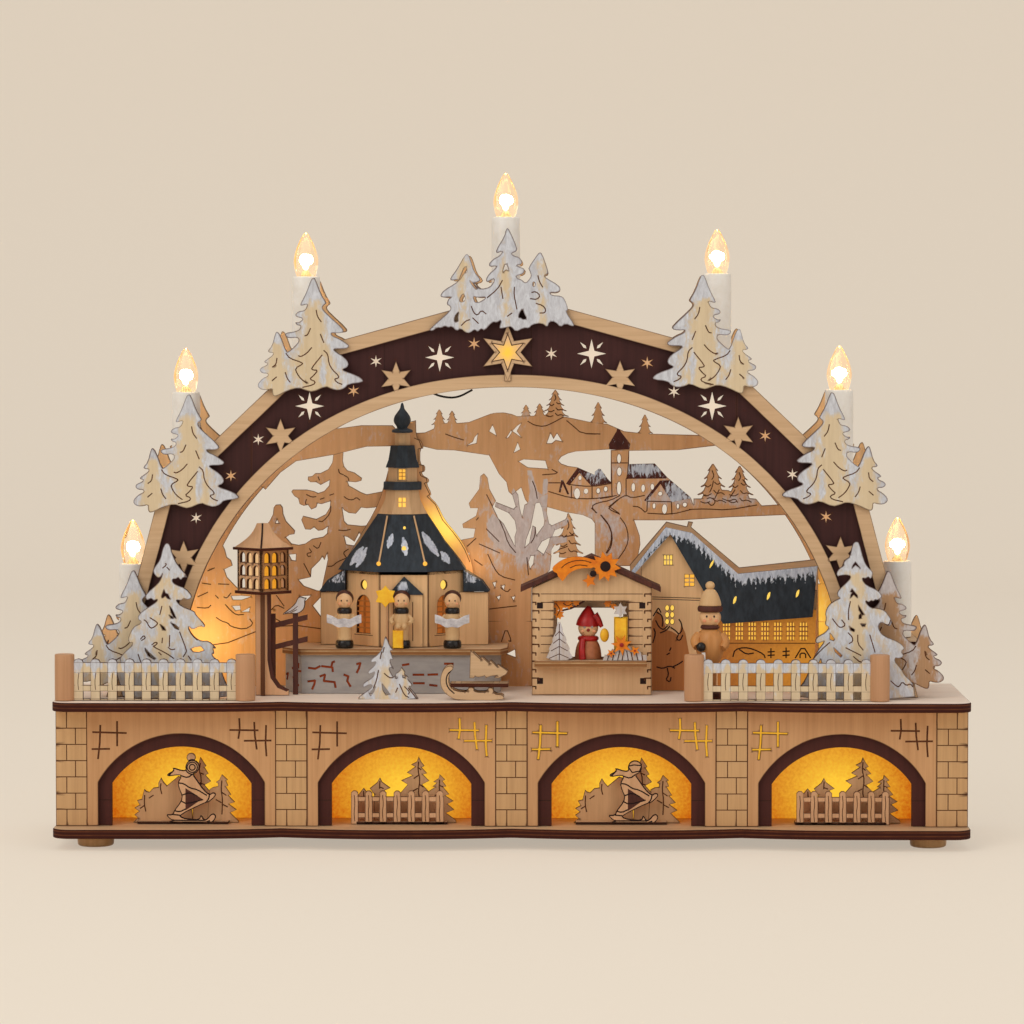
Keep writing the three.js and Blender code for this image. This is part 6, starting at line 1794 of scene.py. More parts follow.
def buildChurchRoof():
    # eight slopes that curve outwards; one ring of the grid lies at each height
    sizes, levels = church["roof"].T
    heights = np.linspace(levels[0], levels[-1], 48)
    widths = np.interp(heights, levels, sizes)
    widths = widths + 1.2 * np.sin(np.pi * np.clip((heights - 183.8) / 31, 0, 1))
    grid = np.array([octagonRing(w, z, 30) for w, z in zip(widths, heights)])
    roof = surface(grid, "snowyRoof")
    points = grid.reshape(-1, 3)
    cover = strokeSnow(points[:, [0, 2]], church["snow"], 1.9) * (points[:, 1] < 44)
    roof["snow"] = np.concatenate([cover, [0, 0]])
    parts = [roof]

    def slope(z):
        return church["axis"] - np.interp(z, levels, sizes / 2)
    for top, low in church["battens"]:
        x, z = np.linspace(top, low, 8).T
        depth = slope(z) - 0.9
        parts.append(tube(np.stack([x, depth, z], 1), 0.6, "birchUpright", 8, 1))
        parts.append(shining(ovoid((low[0], depth[-1] - 0.4, low[1]), (1.5, 0.8, 1.5), "windowGlow"), 0.3))
    for x, z, across, up, behind in church["lights"]:
        parts.append(shining(ovoid((x, slope(z) - 0.6 + behind, z), (across, 0.7, up), "windowGlow"), 0.9))
    base, x, half, wing = church["base"], church["x"], church["width"] / 2, church["wing"]
    for sign in (-1, 1):
        near, far = x + sign * (half + 0.3), x + sign * (half + 18)
        slab = pairs(near, base + 36, far, base + 36, far - sign * 5, base + 43, near, 178)

        def cover(px, z, near=near, sign=sign):
            return 0.55 * (z > base + 41) - np.abs(px - near - sign * 5) * 0.05 + 0.1
        parts.append(flatBoard([slab], place=standing(wing["roofFront"]), thick=wing["roofDepth"],
                               face="snowyRoof", edge="anthracite", snow=cover, grid=1.6, rim=0.4))
    parts.append(flatBoard([church["gable"] + (x, 0)], place=standing(church["gableFront"]), thick=2.2,
                           face="snowyRoof", edge="anthracite", rim=0.4, grid=1.4,
                           snow=lambda px, z: 1.1 - np.hypot(px - x, z - 167.6) * 0.18))
    makePiece("churchRoof", parts, ["church_roof"])


def buildTower():
    parts = []
    for finish, rings in church["tower"]:
        stage = surface(np.array([octagonRing(width, z) for width, z in rings]), finish)
        stage["bent"] = [False] * len(stage["faces"])
        parts.append(stage)
    x = church["roofX"]
    parts.append(revolved(church["onion"], (x, *church["onionAt"]), "anthracite", 28, 1))
    panes = church["lowerPanes"]
    wide, tall = panes["size"]
    for u in panes["x"]:
        for low in panes["z"]:
            pane = rectangle(x + u, low, x + u + wide, low + tall)
            y = church["axis"] - np.interp(pane[:, 1].mean(), *church["lowerStage"]) - 1.3
            parts.append(glowPane(pane, standing(y), 0.0, 0.8))
    pane, frameBoard = (rectangle(*church[name]) + (x, 0) for name in ("upperPane", "upperFrame"))
    front = church["upperFront"]
    parts += [flatBoard([frameBoard], [pane], place=standing(front), thick=0.6, rim=0.3,
                        face="birchUpright"),
              glowPane(pane, standing(front + 0.2), 0.0, 0.35),
              strips(lattice(x, *church["upperBars"]), standing(front), 0.5, "litWood")]
    makePiece("churchTower", parts, ["church_tower"])


silhouette = {
    "depth": 46.4,
    "outline": pairs(-80, 262, -66, 282, -65.6, 266, -62.4, 264.5, -60.4, 259, -63, 258.6, -63, 248,
                     -59.7, 247.5, -59.7, 243.2, -62, 242.8, -61.1, 240.4, -57.4, 238.6, -56.9, 236.2,
                     -58.8, 235.3, -55.1, 227.8, -57, 226.4, -51.4, 221, -46.4, 210.4, -39.6, 202.4,
                     -34.6, 195.6, -31.4, 190.2, -28, 182, -26, 168, -28, 128, -120, 128, -119.6, 173,
                     -105.6, 197, -94, 216, -88.4, 230),
}


def buildSilhouette():
    # a backing board that a lamp lights from below; that glow is also painted on, brightest beside the roof
    outline = silhouette["outline"]
    board = flatBoard([smooth(outline, 1)], grooves=strokes([outline[2:22] - (1.4, 0)], 0.5, 0),
                      place=standing(silhouette["depth"]), face="slopeWood", rim=0.5)
    x, z = board["verts"][:, 0], board["verts"][:, 2]
    shining(board, 1.1 * np.exp(-((z - 205) / 19) ** 2 - ((x + 47) / 26) ** 2))
    makePiece("churchBacking", [board])


singer = {  # measured from the foot; each row as figureParts takes it
    # the middle one holds a star on a staff, the others a book
    "places": (-112.0, -74.0, -40.0), "depth": -1.0,
    "body": [  # robe, shoes, scarf, head and hair
        ("turned", "turned",
         pairs(0, 5, 4.4, 5, 4.9, 5.6, 4.5, 9, 5.2, 14, 5.6, 18, 4.8, 22, 3.2, 25, 2.6, 26.5, 0, 26.6),
         28, 2),
        ("turned", "blackGloss", pairs(0, 0, 5.6, 0, 6.1, 0.8, 6, 4.2, 5, 5.4, 0, 5.4), 28, 1),
        ("turned", "blackGloss", pairs(0, 22.6, 4.6, 22.8, 5.0, 24, 4.9, 26, 3.6, 27.2, 0, 27.2), 24, 1),
        ("ball", "skin", (0, 0, 31.4), (5.3, 5.2, 5.6), 24, 18),
        ("ball", "hair", (0, 2.0, 33.0), (6.0, 5.2, 5.6), 24, 18),
    ],
    "sides": [  # eye, cheek and arm
        ("ball", "scorchDark", (1.9, -4.85, 31.8), (0.45, 0.3, 0.65), 10, 7),
        ("ball", "blush", (3.0, -4.2, 29.8), (1.0, 0.35, 0.8), 10, 7),
        ("bent", "turned", [(4.6, 0, 21.5), (7.4, -2, 18.5), (5.2, -4.6, 16.6)], 1.5, 10),
    ],
    "nose": [("ball", "skin", (0, -5.2, 30.4), (0.6, 0.5, 0.6), 10, 7)],
    "mitten": [("ball", "turned", (2.0, -4.9, 14.6), (2.1, 2.0, 2.2), 14, 10)],
    "staff": [("bent", "dowel", [(-9.2, -2.5, 0), (-9.4, -2.5, 20), (-9.6, -2.5, 32)], 0.55, 8)],
    "book": {"half": 11.5, "height": 14.0, "rows": ((0, 0), (-1.6, 5.4), (-1.2, 5.7), (0.5, 0.2))},
    "star": (-10.6, 34.5, 7.4, 5.0, 6), "lamp": (-5.6, 0.2, 1.4, 12),
}


def songBook(x, y, low):
    # an open sheet, bent up towards both ends
    book = singer["book"]
    u = np.linspace(-1, 1, 25)
    wave = low + book["height"] + 3.6 * u ** 2 + 0.4 * np.cos(u * 9)
    top = np.stack([x + u * book["half"], y - 5.2 - 0.6 * np.abs(u), wave], 1)
    rows = [top + (0, depth, height) for depth, height in book["rows"]]
    return surface(np.array(rows).transpose(1, 0, 2), "songPaper")


def buildSingers():
    base, y = church["base"], singer["depth"]
    middle = singer["places"][1]
    parts = []
    for x in singer["places"]:
        parts += wholeFigure({**singer, "at": (x, y, base)})
        if x != middle:
            parts.append(songBook(x, y, base))
    at = (middle, y, base)
    for side in (-1, 1):
        parts += figureParts(singer["mitten"], at, side)
    parts += figureParts(singer["staff"], at)
    star = starShape(*singer["star"]) + (middle, base)
    lamp = rectangle(*singer["lamp"]) + (middle, base)
    for outline, away, thick, soft in ((star, 3.4, 1.6, 0.3), (lamp, 7.4, 6.4, 0.6)):
        parts.append(flatBoard([outline], place=standing(y - away), thick=thick, face="yellowPaint",
                               edge="yellowPaint", rim=0.4, soft=soft))
    makePiece("carolSingers", parts, ["carol_singers"])


buildPlatform()
buildChurch()
buildChurchRoof()
buildTower()
buildSilhouette()
buildSingers()
print("church done")


stall = {
    "left": 13.2, "right": 92.6, "front": -17.0, "back": 5.0, "eaves": 168.4, "apex": 186.4, "course": 5.6,
    "hatch": (27.8, 121.0, 77.0, 159.8), "rearHatch": (30, 121, 74, 154), "seamsFrom": 121,
    "logEnds": (2.6, 4.6), "sideLength": 16, "wall": 3.0,
    "pegs": ((18.5, 156.8), (86.4, 156.8), (18.6, 106.6), (87, 106.6)), "pegHalf": 2,
    "counter": (14.9, -26, 89.3, -16), "counterTop": 120.5, "floorTop": 116,
    "roofFront": -20.0, "roofDepth": 28.0, "overhang": (7.5, 6.0),
    "roofBoard": (0.5, 3.9),  # lower and upper side
}


def buildStall():
    low, eaves, apex, course = deckZ + 0.3, stall["eaves"], stall["apex"], stall["course"]
    left, right = stall["left"], stall["right"]
    rear = stall["back"] - stall["wall"]
    mid = (left + right) / 2
    gable = pairs(left, low, right, low, right, eaves, mid, apex, left, eaves)
    courses = np.arange(low + course, eaves, course)
    seams = [[(left + 6, z), (right - 6, z)] for z in courses if z > stall["seamsFrom"]]
    # the logs' ends interlock: every second one is cut back at each corner
    notches = []
    for i, z in enumerate(courses):
        for x, side in ((left, 1), (right, -1)):
            end = x + side * stall["logEnds"][i % 2]
            notches.append([(x, z), (end, z)])
            notches.append([(end, z - course * 0.3), (end, z)])
    half = stall["pegHalf"]
    pegs = [("scorchDark", rectangle(x - half, z - half, x + half, z + half)) for x, z in stall["pegs"]]
    front = flatBoard([gable], [rectangle(*stall["hatch"])],
                      strokes(seams, 0.5, 0) + strokes(notches, 0.9, 0), pegs, standing(stall["front"]),
                      rim=0.7, face="birchUpright")
    parts = [front, flatBoard([gable], [rectangle(*stall["rearHatch"])], place=standing(rear), rim=0.5)]
    length = stall["sideLength"]
    joints = strokes([[(0, z), (length, z)] for z in courses], 0.45, 0)
    for x, y, across in ((left, rear, (0, -1)), (right, stall["front"] + stall["wall"], (0, 1))):
        parts.append(flatBoard([rectangle(0, low, length, eaves - 1)], grooves=joints,
                               place=facing((x, y, 0), across), rim=0.5, face="birchUpright"))
    parts.append(flatBoard([rectangle(*stall["counter"])], place=lying(stall["counterTop"]), thick=4.0,
                           edge="plyLight", soft=0.4))
    floor = rectangle(left + 3.2, stall["front"] + 3.2, right - 3.2, rear - 0.2)
    parts.append(flatBoard([floor], place=lying(stall["floorTop"]), thick=1.5))
    makePiece("stallWalls", parts, ["stall"])


goods = {  # what stands on the counter and hangs in the hatch
    "depth": -21.5, "sill": 120.8,
    "fir": pairs(0, 27, 2.6, 20, 1.8, 19.8, 5.2, 13, 4, 13, 7.4, 7, 6, 7, 9.6, 0, -9.6, 0, -6, 7, -7.4, 7,
                 -4, 13, -5.2, 13, -1.8, 19.8, -2.6, 20),
    "firAt": 31.4, "limbs": (125, 130, 135, 140),
    "box": (67.6, 120.6, 76.6, 149.4), "boxStar": (71.8, 154.0, 5.0, 2.9, 6),
    "heap": pairs(60, 120.8, 61.6, 124.6, 64, 124, 66.4, 128.6, 68.6, 127.4, 71, 131, 75, 128.6, 77.6,
                  130.6, 80, 127, 84, 128.4, 86, 124.4, 89, 124.6, 89.4, 120.8),
    "heapMiddle": 75, "twigs": ((2, 1), (5, 3.6), (8.4, 7), (11.6, 10.6)),
    "lamp": ((61.4, -13.0, 136.8), (3.0, 1.6, 4.6)),
    "flowers": ((72.6, 131.2, 7.2, 7), (81.4, 127.4, 3.6, 5), (65.6, 125.6, 3.2, 5)),  # place, size, petals
    "leaves": ((31.4, 156.6, 4.6), (37.4, 157.4, 3.6), (31.2, 150.6, 3.6), (42.6, 158.6, 2.6),
               (63.6, 158.0, 3.0), (67.6, 156.0, 2.4)),
    "veins": [[(29, 158), (32, 154), (30, 150)], [(34, 158), (37, 156), (40, 158)]],
    "branch": [(33, 153), (41, 155), (48, 159.6)], "leafDepth": -13.2, "branchDepth": -11.9,
}


def buildGoods():
    # a small white fir, a yellow box under a star, an orange flower on a heap of twigs and an amber lamp
    y, foot = goods["depth"], goods["firAt"]
    limbs = [[(foot, 121), (foot, 145)]]
    limbs += [[(foot, z), (foot + side * (150 - z) * 0.27, z - 3)] for z in goods["limbs"]
              for side in (-1, 1)]
    fir = smooth(goods["fir"], 1) + (foot, goods["sill"])
    parts = [flatBoard([fir], grooves=strokes(limbs, 0.5, 0), place=standing(y), thick=2.0, rim=0.4,
                       face="snowWash"),
             flatBoard([rectangle(*goods["box"])], place=standing(y), thick=5.0, rim=0.4, soft=1.0,
                       face="yellowPaint", edge="yellowPaint"),
             flatBoard([starShape(*goods["boxStar"])], place=standing(y - 0.4), thick=1.4, rim=0.3,
                       face="snowWash")]
    middle = goods["heapMiddle"]
    twigs = [[(middle + side * a, 121), (middle + side * b, 127)] for a, b in goods["twigs"]
             for side in (-1, 1)]
    parts.append(flatBoard([goods["heap"]], grooves=strokes(twigs, 0.7, 0), place=standing(y - 1.4),
                           thick=1.4, face="snowWash", rim=0.5))
    parts.append(ovoid(*goods["lamp"], "yellowPaint", 16, 12))
    for x, z, size, petals in goods["flowers"]:
        parts.append(flatBoard([starShape(x, z, size, size * 0.45, petals, x * 0.7)], place=standing(y - 3),
                               thick=1.2, face="orangePaint", rim=0.5))
        parts.append(ovoid((x, y - 3.4, z), (size * 0.2, 0.6, size * 0.2), "redPaint", 10, 7))
    # amber leaves on a dark branch hang in the hatch's upper corners
    leaves = [starShape(x, z, size, size * 0.62, 7, x) for x, z, size in goods["leaves"]]
    parts.append(flatBoard(leaves, grooves=strokes(goods["veins"], 0.6, 1),
                           place=standing(goods["leafDepth"]), thick=1.2, face="orangePaint", rim=0.6))
    parts.append(strips(stroke(goods["branch"], 1.2, 1), standing(goods["branchDepth"]), 1.2, "timber"))
    makePiece("stallGoods", parts)


comet = {  # read in the view of the stall: its head, its small star, the second hub, the tail and its lines
    "depth": -22.5, "places": (790, 170, 625, 320, 662, 245),
    "tail": (230, 185, 290, 130, 370, 85, 470, 65, 560, 70, 650, 95, 700, 110, 670, 190, 560, 185, 470,
             205, 400, 250, 350, 320, 335, 325, 320, 300, 290, 270, 285, 240, 245, 225),
    "trails": ((640, 130, 560, 105, 460, 110, 380, 140, 330, 185), (600, 165, 500, 150, 420, 185)),
    "head": (10.2, 6.6, 10, 0.2), "star": (4.8, 2.3, 5, 0.3),  # radius, waist, points, turn
}


def buildStallRoof():
    # one bent board under the comet
    lower, upper = stall["roofBoard"]
    left, right = stall["left"] - stall["overhang"][0], stall["right"] + stall["overhang"][1]
    mid = (stall["left"] + stall["right"]) / 2
    eaves, apex = stall["eaves"] - 3, stall["apex"]
    edgeLine = pairs(left, eaves + lower, mid, apex + lower, right, eaves + lower, right, eaves + upper,
                     mid, apex + upper, left, eaves + upper)
    roof = flatBoard([edgeLine], place=standing(stall["roofFront"]), thick=stall["roofDepth"],
                     face="timber", edge="timber", rim=0.5, soft=0.3)
    depth = comet["depth"]
    head, star, dot = seen("stall", depth, *comet["places"])
    tail = smooth(seen("stall", depth, *comet["tail"]), 1)
    trails = strokes([seen("stall", depth, *trail) for trail in comet["trails"]], 0.6, 1)
    big = flatBoard([starShape(*head, *comet["head"]), tail], grooves=trails, place=standing(depth),
                    thick=2.4, face="orangePaint", edge="stainedEdge", rim=0.5)
    small = flatBoard([starShape(*star, *comet["star"])], place=standing(depth + 0.5), thick=1.8,
                      face="orangePaint", edge="stainedEdge", rim=0.4)
    hubs = [ovoid((head[0], depth - 0.2, head[1]), (3.5, 0.9, 3.5), "scorchDark", 20, 9),
            ovoid((dot[0], depth - 0.4, dot[1]), (2.2, 0.9, 2.2), "scorchDark", 16, 9)]
    makePiece("stallRoof", [roof, big, small, *hubs], ["stall_roof"])


keeper = {  # measured from the foot; each row as figureParts takes it
    "at": (50.6, -6.0, deckZ + 0.3),
    "body": [  # coat, head, cap, its falling tip, scarf and the scarf's hanging end
        ("turned", "pinkCoat", pairs(0, 0, 8.6, 0, 9.2, 18, 8.8, 28, 7.2, 34, 3.6, 38, 0, 38.2), 28, 2),
        ("ball", "skin", (0, 0, 44), (6.7, 6.4, 6.7), 28, 18),
        ("bent", "redPaint",
         [(-0.6, 0.6, 45.4), (-0.4, 0.5, 49), (-0.2, 0.4, 53), (0.2, 0.2, 56.4), (0.6, 0, 58.4)],
         [7.6, 7.0, 4.8, 2.6, 1.0], 20),
        ("bent", "redPaint", [(3.6, 0, 52), (6.6, -0.6, 48.6), (9.2, -1.2, 44.6)], [3.6, 2.6, 1.2], 14),
        ("turned", "redPaint", pairs(0, 35, 5.6, 35, 7, 36, 7, 37.8, 5.6, 38.8, 0, 38.8), 28, 2),
        ("bent", "redPaint", [(-3.6, -7, 36.6), (-4.4, -9.6, 30), (-3.8, -9.8, 23.6)], [2.0, 2.2, 2.4],
         12),
    ],
    "sides": [
        ("ball", "stoneGrey", (2.4, -6.0, 44.8), (0.8, 0.5, 1.0), 10, 7),
        ("ball", "blush", (3.9, -5.3, 42), (1.2, 0.6, 0.9), 12, 7),
    ],
    "nose": [("ball", "redPaint", (0, -6.6, 42.8), (1.1, 1.0, 1.1), 12, 8)],
}
turnedFigure = {
    "at": (130.5, -40.0, deckZ + 0.3),
    # shoes, round body, scarf, head, the hat's brim, hat and ball, arms, a ball and a short stick
    "body": [
        ("turned", "timber", pairs(0, 0, 8.6, 0, 9, 0.6, 9, 3.4, 8, 4, 0, 4), 32, 1),
        ("turned", "amberWood",
         pairs(0, 4, 4.2, 4, 4.4, 20, 6.6, 24, 9, 30, 9.7, 36, 8.6, 42, 5.6, 46, 0, 46.4), 32, 2),
        ("turned", "timber", pairs(0, 45.6, 5.6, 45.6, 6.6, 47, 5.4, 48.6, 0, 48.8), 28, 2),
        ("ball", "skin", (0, 0, 53.4), (7.2, 7.0, 6.4), 30, 20),
        ("turned", "timber", pairs(0, 57, 7.4, 57, 8.3, 58, 8.3, 60.2, 7.4, 61.2, 0, 61.2), 32, 2),
        ("turned", "turned", pairs(0, 60.6, 7.4, 60.6, 7.3, 63, 5.4, 68.6, 2.8, 72.2, 0, 72.6), 32, 2),
        ("ball", "turned", (0, 0, 74.4), (3.1, 3.1, 2.8), 20, 12),
        ("bent", "amberWood", [(-7.4, -2, 42), (-10.6, -4.6, 38), (-8.6, -8, 34.6)], [3.0, 3.2, 2.8], 14),
        ("ball", "blackGloss", (-6.2, -9.4, 34.6), (3.2, 3.0, 3.2), 18, 12),
        ("bent", "ivory", [(-4.6, -10.2, 31), (-4.2, -10.4, 22), (-4.2, -10.4, 18)], 1.2, 10),
        ("bent", "amberWood", [(7.4, -1, 42), (10.6, -3, 37), (7.8, -6.6, 33.4)], [3.0, 3.2, 2.6], 14),
    ],
    "sides": [
        ("ball", "scorchDark", (2.4, -6.55, 54.4), (0.62, 0.4, 0.8), 10, 7),
        ("ball", "blush", (3.8, -5.9, 51.6), (1.3, 0.6, 1.1), 12, 7),
    ],
    "nose": [("ball", "blush", (0, -7.2, 52.8), (0.9, 0.9, 0.9), 12, 8)],
}


house = {
    "front": 14.0, "roofFront": 10.7, "rimFront": 36.0,
    "wall": pairs(88, 97.3, 202, 97.3, 204, 165, 150, 160, 122, 196, 104, 204.6, 86, 184),
    "rim": pairs(84, 97.3, 207, 97.3, 206, 184.6, 153, 178.8, 120.4, 206.2, 121.6, 209.6, 118.4, 210,
                 117.6, 206.6, 103.6, 209.8, 79, 180.6),
    "wing": pairs(137.6, 97.3, 202, 97.3, 204, 152, 137.6, 148),
    "roof": pairs(79.6, 178, 102.6, 207.4, 120, 203.6, 151, 176.2, 204, 181.4, 201, 147.2, 141, 142.6,
                  105.6, 202.6, 82, 176.6),
    "upperEdge": pairs(79.6, 178, 102.6, 207.4, 120, 203.6, 151, 176.2, 204, 181.4),
    "windows": (  # middle, half sizes, columns and rows of panes, light
        (104.3, 185.2, 2.8, 3.2, 3, 2, 0.9), (118.6, 171.6, 3.2, 3.9, 2, 3, 0.3),
    ),
    # middle of the six round panes, their pitch and half sizes
    "cells": (105.4, 148.4, 1.7, 4.6, 1.25, 1.9),
    "cellLight": (101.8, 141, 109, 156), "wingLight": (139, 130.6, 203, 144.2),
    "wingWindows": {"first": 143.5, "last": 202, "pitch": 8.6, "half": 2.4, "low": 131.6, "high": 143.2},
    "wingBars": (137.4, 2.9, 6.2, 3, 4, 0.8),  # middle, half sizes, columns, rows, width
    "seams": [pairs(88.6, 160.6, 138, 159.2), pairs(88.6, 159.2, 138, 157.8),
              pairs(136.6, 98, 136.8, 142), pairs(139, 129.4, 203, 129.4)],
    "floor": (125, 15, 200, 37), "floorTop": 101.3,
    "slits": ((148.8, 158.6), (171.4, 161.4), (190.8, 163)),  # lit slits in the roof
    "slit": pairs(-1.3, -3.4, 1.0, -1.2, 1.5, 3.2, -0.8, 1.4),
    "gableSlit": pairs(131.6, 179, 134.4, 182.6, 135.2, 186.4, 132.4, 183.2),
    # read in the view of the house: the wall's darker foot, burnt tendrils on it, the wing's trees and hut
    "shade": (524, 350, 548, 300, 570, 330, 585, 385, 610, 392, 640, 410, 650, 360, 668, 400, 690, 520,
              690, 645, 524, 645),
    "tendrils": [
        (530, 325, 545, 300, 552, 290, 562, 310), (545, 310, 565, 320, 572, 345, 568, 370),
        (540, 345, 555, 375, 575, 385, 590, 368), (532, 380, 540, 400, 528, 440),
        (600, 370, 585, 388, 560, 398), (605, 375, 625, 388, 640, 405, 655, 385, 650, 355, 640, 340),
        (638, 405, 628, 425, 645, 432, 656, 408), (545, 545, 570, 552, 600, 540, 622, 550),
        (590, 550, 596, 580, 584, 600, 602, 610, 606, 590), (612, 545, 640, 532, 656, 520),
        (600, 485, 588, 492), (606, 462, 600, 475),
    ],
    "motifs": [
        (872, 500, 880, 470, 920, 460, 960, 468, 1005, 490, 1010, 505), (900, 470, 930, 490, 960, 485),
        (1035, 505, 1035, 465), (1022, 480, 1050, 478), (1022, 495, 1050, 493), (1100, 505, 1100, 462),
        (1086, 478, 1114, 476), (1086, 495, 1114, 493), (1140, 505, 1172, 452, 1205, 505),
        (1160, 505, 1160, 485, 1184, 485, 1184, 505),
    ],
}


def buildHouseWalls():
    front = house["front"]
    place = standing(front)
    panes = [rectangle(x - a, z - b, x + a, z + b) for x, z, a, b, *_ in house["windows"]]
    bars = [bar for *shape, _ in house["windows"] for bar in lattice(*shape, 0.7)]
    x, z, aside, pitch, across, up = house["cells"]
    cells = [ellipse(x + side * aside, z + row * pitch, across, up, 12) for side in (-1, 1)
             for row in (-1, 0, 1)]
    # the wing's windows are barred gaps before a lit sheet
    gaps = house["wingWindows"]
    middles = np.arange(gaps["first"], gaps["last"], gaps["pitch"])
    row = [rectangle(x - gaps["half"], gaps["low"], x + gaps["half"], gaps["high"]) for x in middles]
    crossBars = [bar for x in middles for bar in lattice(x, *house["wingBars"])]
    shade = seen("house", front, *house["shade"])
    drawn = [seen("house", front, *numbers) for numbers in (*house["tendrils"], *house["motifs"])]
    wall = flatBoard([house["wall"]], [*panes, *cells, *row],
                     strokes(house["seams"], 0.5, 0) + strokes(drawn, 0.9),
                     [("wingGlow", house["wing"]), ("shadeWood", shade)], place, face="wallWood",
                     groove="scorchDark", rim=0.5)
    # a lamp stands behind the wing's right end; its glow is painted on the wing's wall
    away = np.hypot(wall["verts"][:, 0] - 196, wall["verts"][:, 2] - 116)
    parts = [shining(wall, np.clip(1.0 - away / 60, 0.1, 1)),
             strips(bars, standing(front + 1.2), 1.2, "birch")]
    parts += [glowPane(pane, place, 2.4, window[-1]) for pane, window in zip(panes, house["windows"])]
    parts += [glowPane(rectangle(*house[name]), place, 2.4, lit)
              for name, lit in (("cellLight", 0.8), ("wingLight", 0.4))]
    parts += [flatBoard(crossBars, place=standing(front - 0.3), thick=1.2, face="shadeWood", rim=0, grid=0),
              flatBoard([house["rim"]], place=standing(house["rimFront"]), face="birch", rim=0.6),
              flatBoard([rectangle(*house["floor"])], place=lying(house["floorTop"]), thick=4.0, rim=0.4)]
    makePiece("houseWalls", parts, ["house"])


def buildHouseRoof():
    place = standing(house["roofFront"])
    slits = [smooth(house["slit"] + middle, 1) for middle in house["slits"]]
    slits.append(smooth(house["gableSlit"], 1))

    def cover(x, z):
        # icicles hang from the upper edge; their length changes quickly along it
        upper = np.interp(x, *house["upperEdge"].T)
        quick, slow = 0.5 + 0.5 * np.sin(x * 1.9), np.abs(np.sin(x * 0.47 + 1))
        long = 5 + 8 * slow * quick + 5 * np.sin(x * 1.13) ** 4
        return np.clip(1.15 - (upper - z) / np.maximum(long, 1.5), -1, 1.0)
    board = flatBoard([house["roof"]], slits, place=place, face="snowyRoof", edge="stainedEdge", snow=cover,
                      grid=1.5, rim=0.6)
    backing = [glowPane(rectangle(*(slit.min(0) - 0.6), *(slit.max(0) + 0.6)), place, 2.3, 0.9)
               for slit in slits]
    makePiece("houseRoof", [board, *backing], ["house_roof"])


buildStall()
buildGoods()
buildStallRoof()
makePiece("stallKeeper", wholeFigure(keeper), ["stall_keeper"])
buildHouseWalls()
buildHouseRoof()
makePiece("turnedFigure", wholeFigure(turnedFigure), ["turned_figure"])
print("stall, house and figures done")


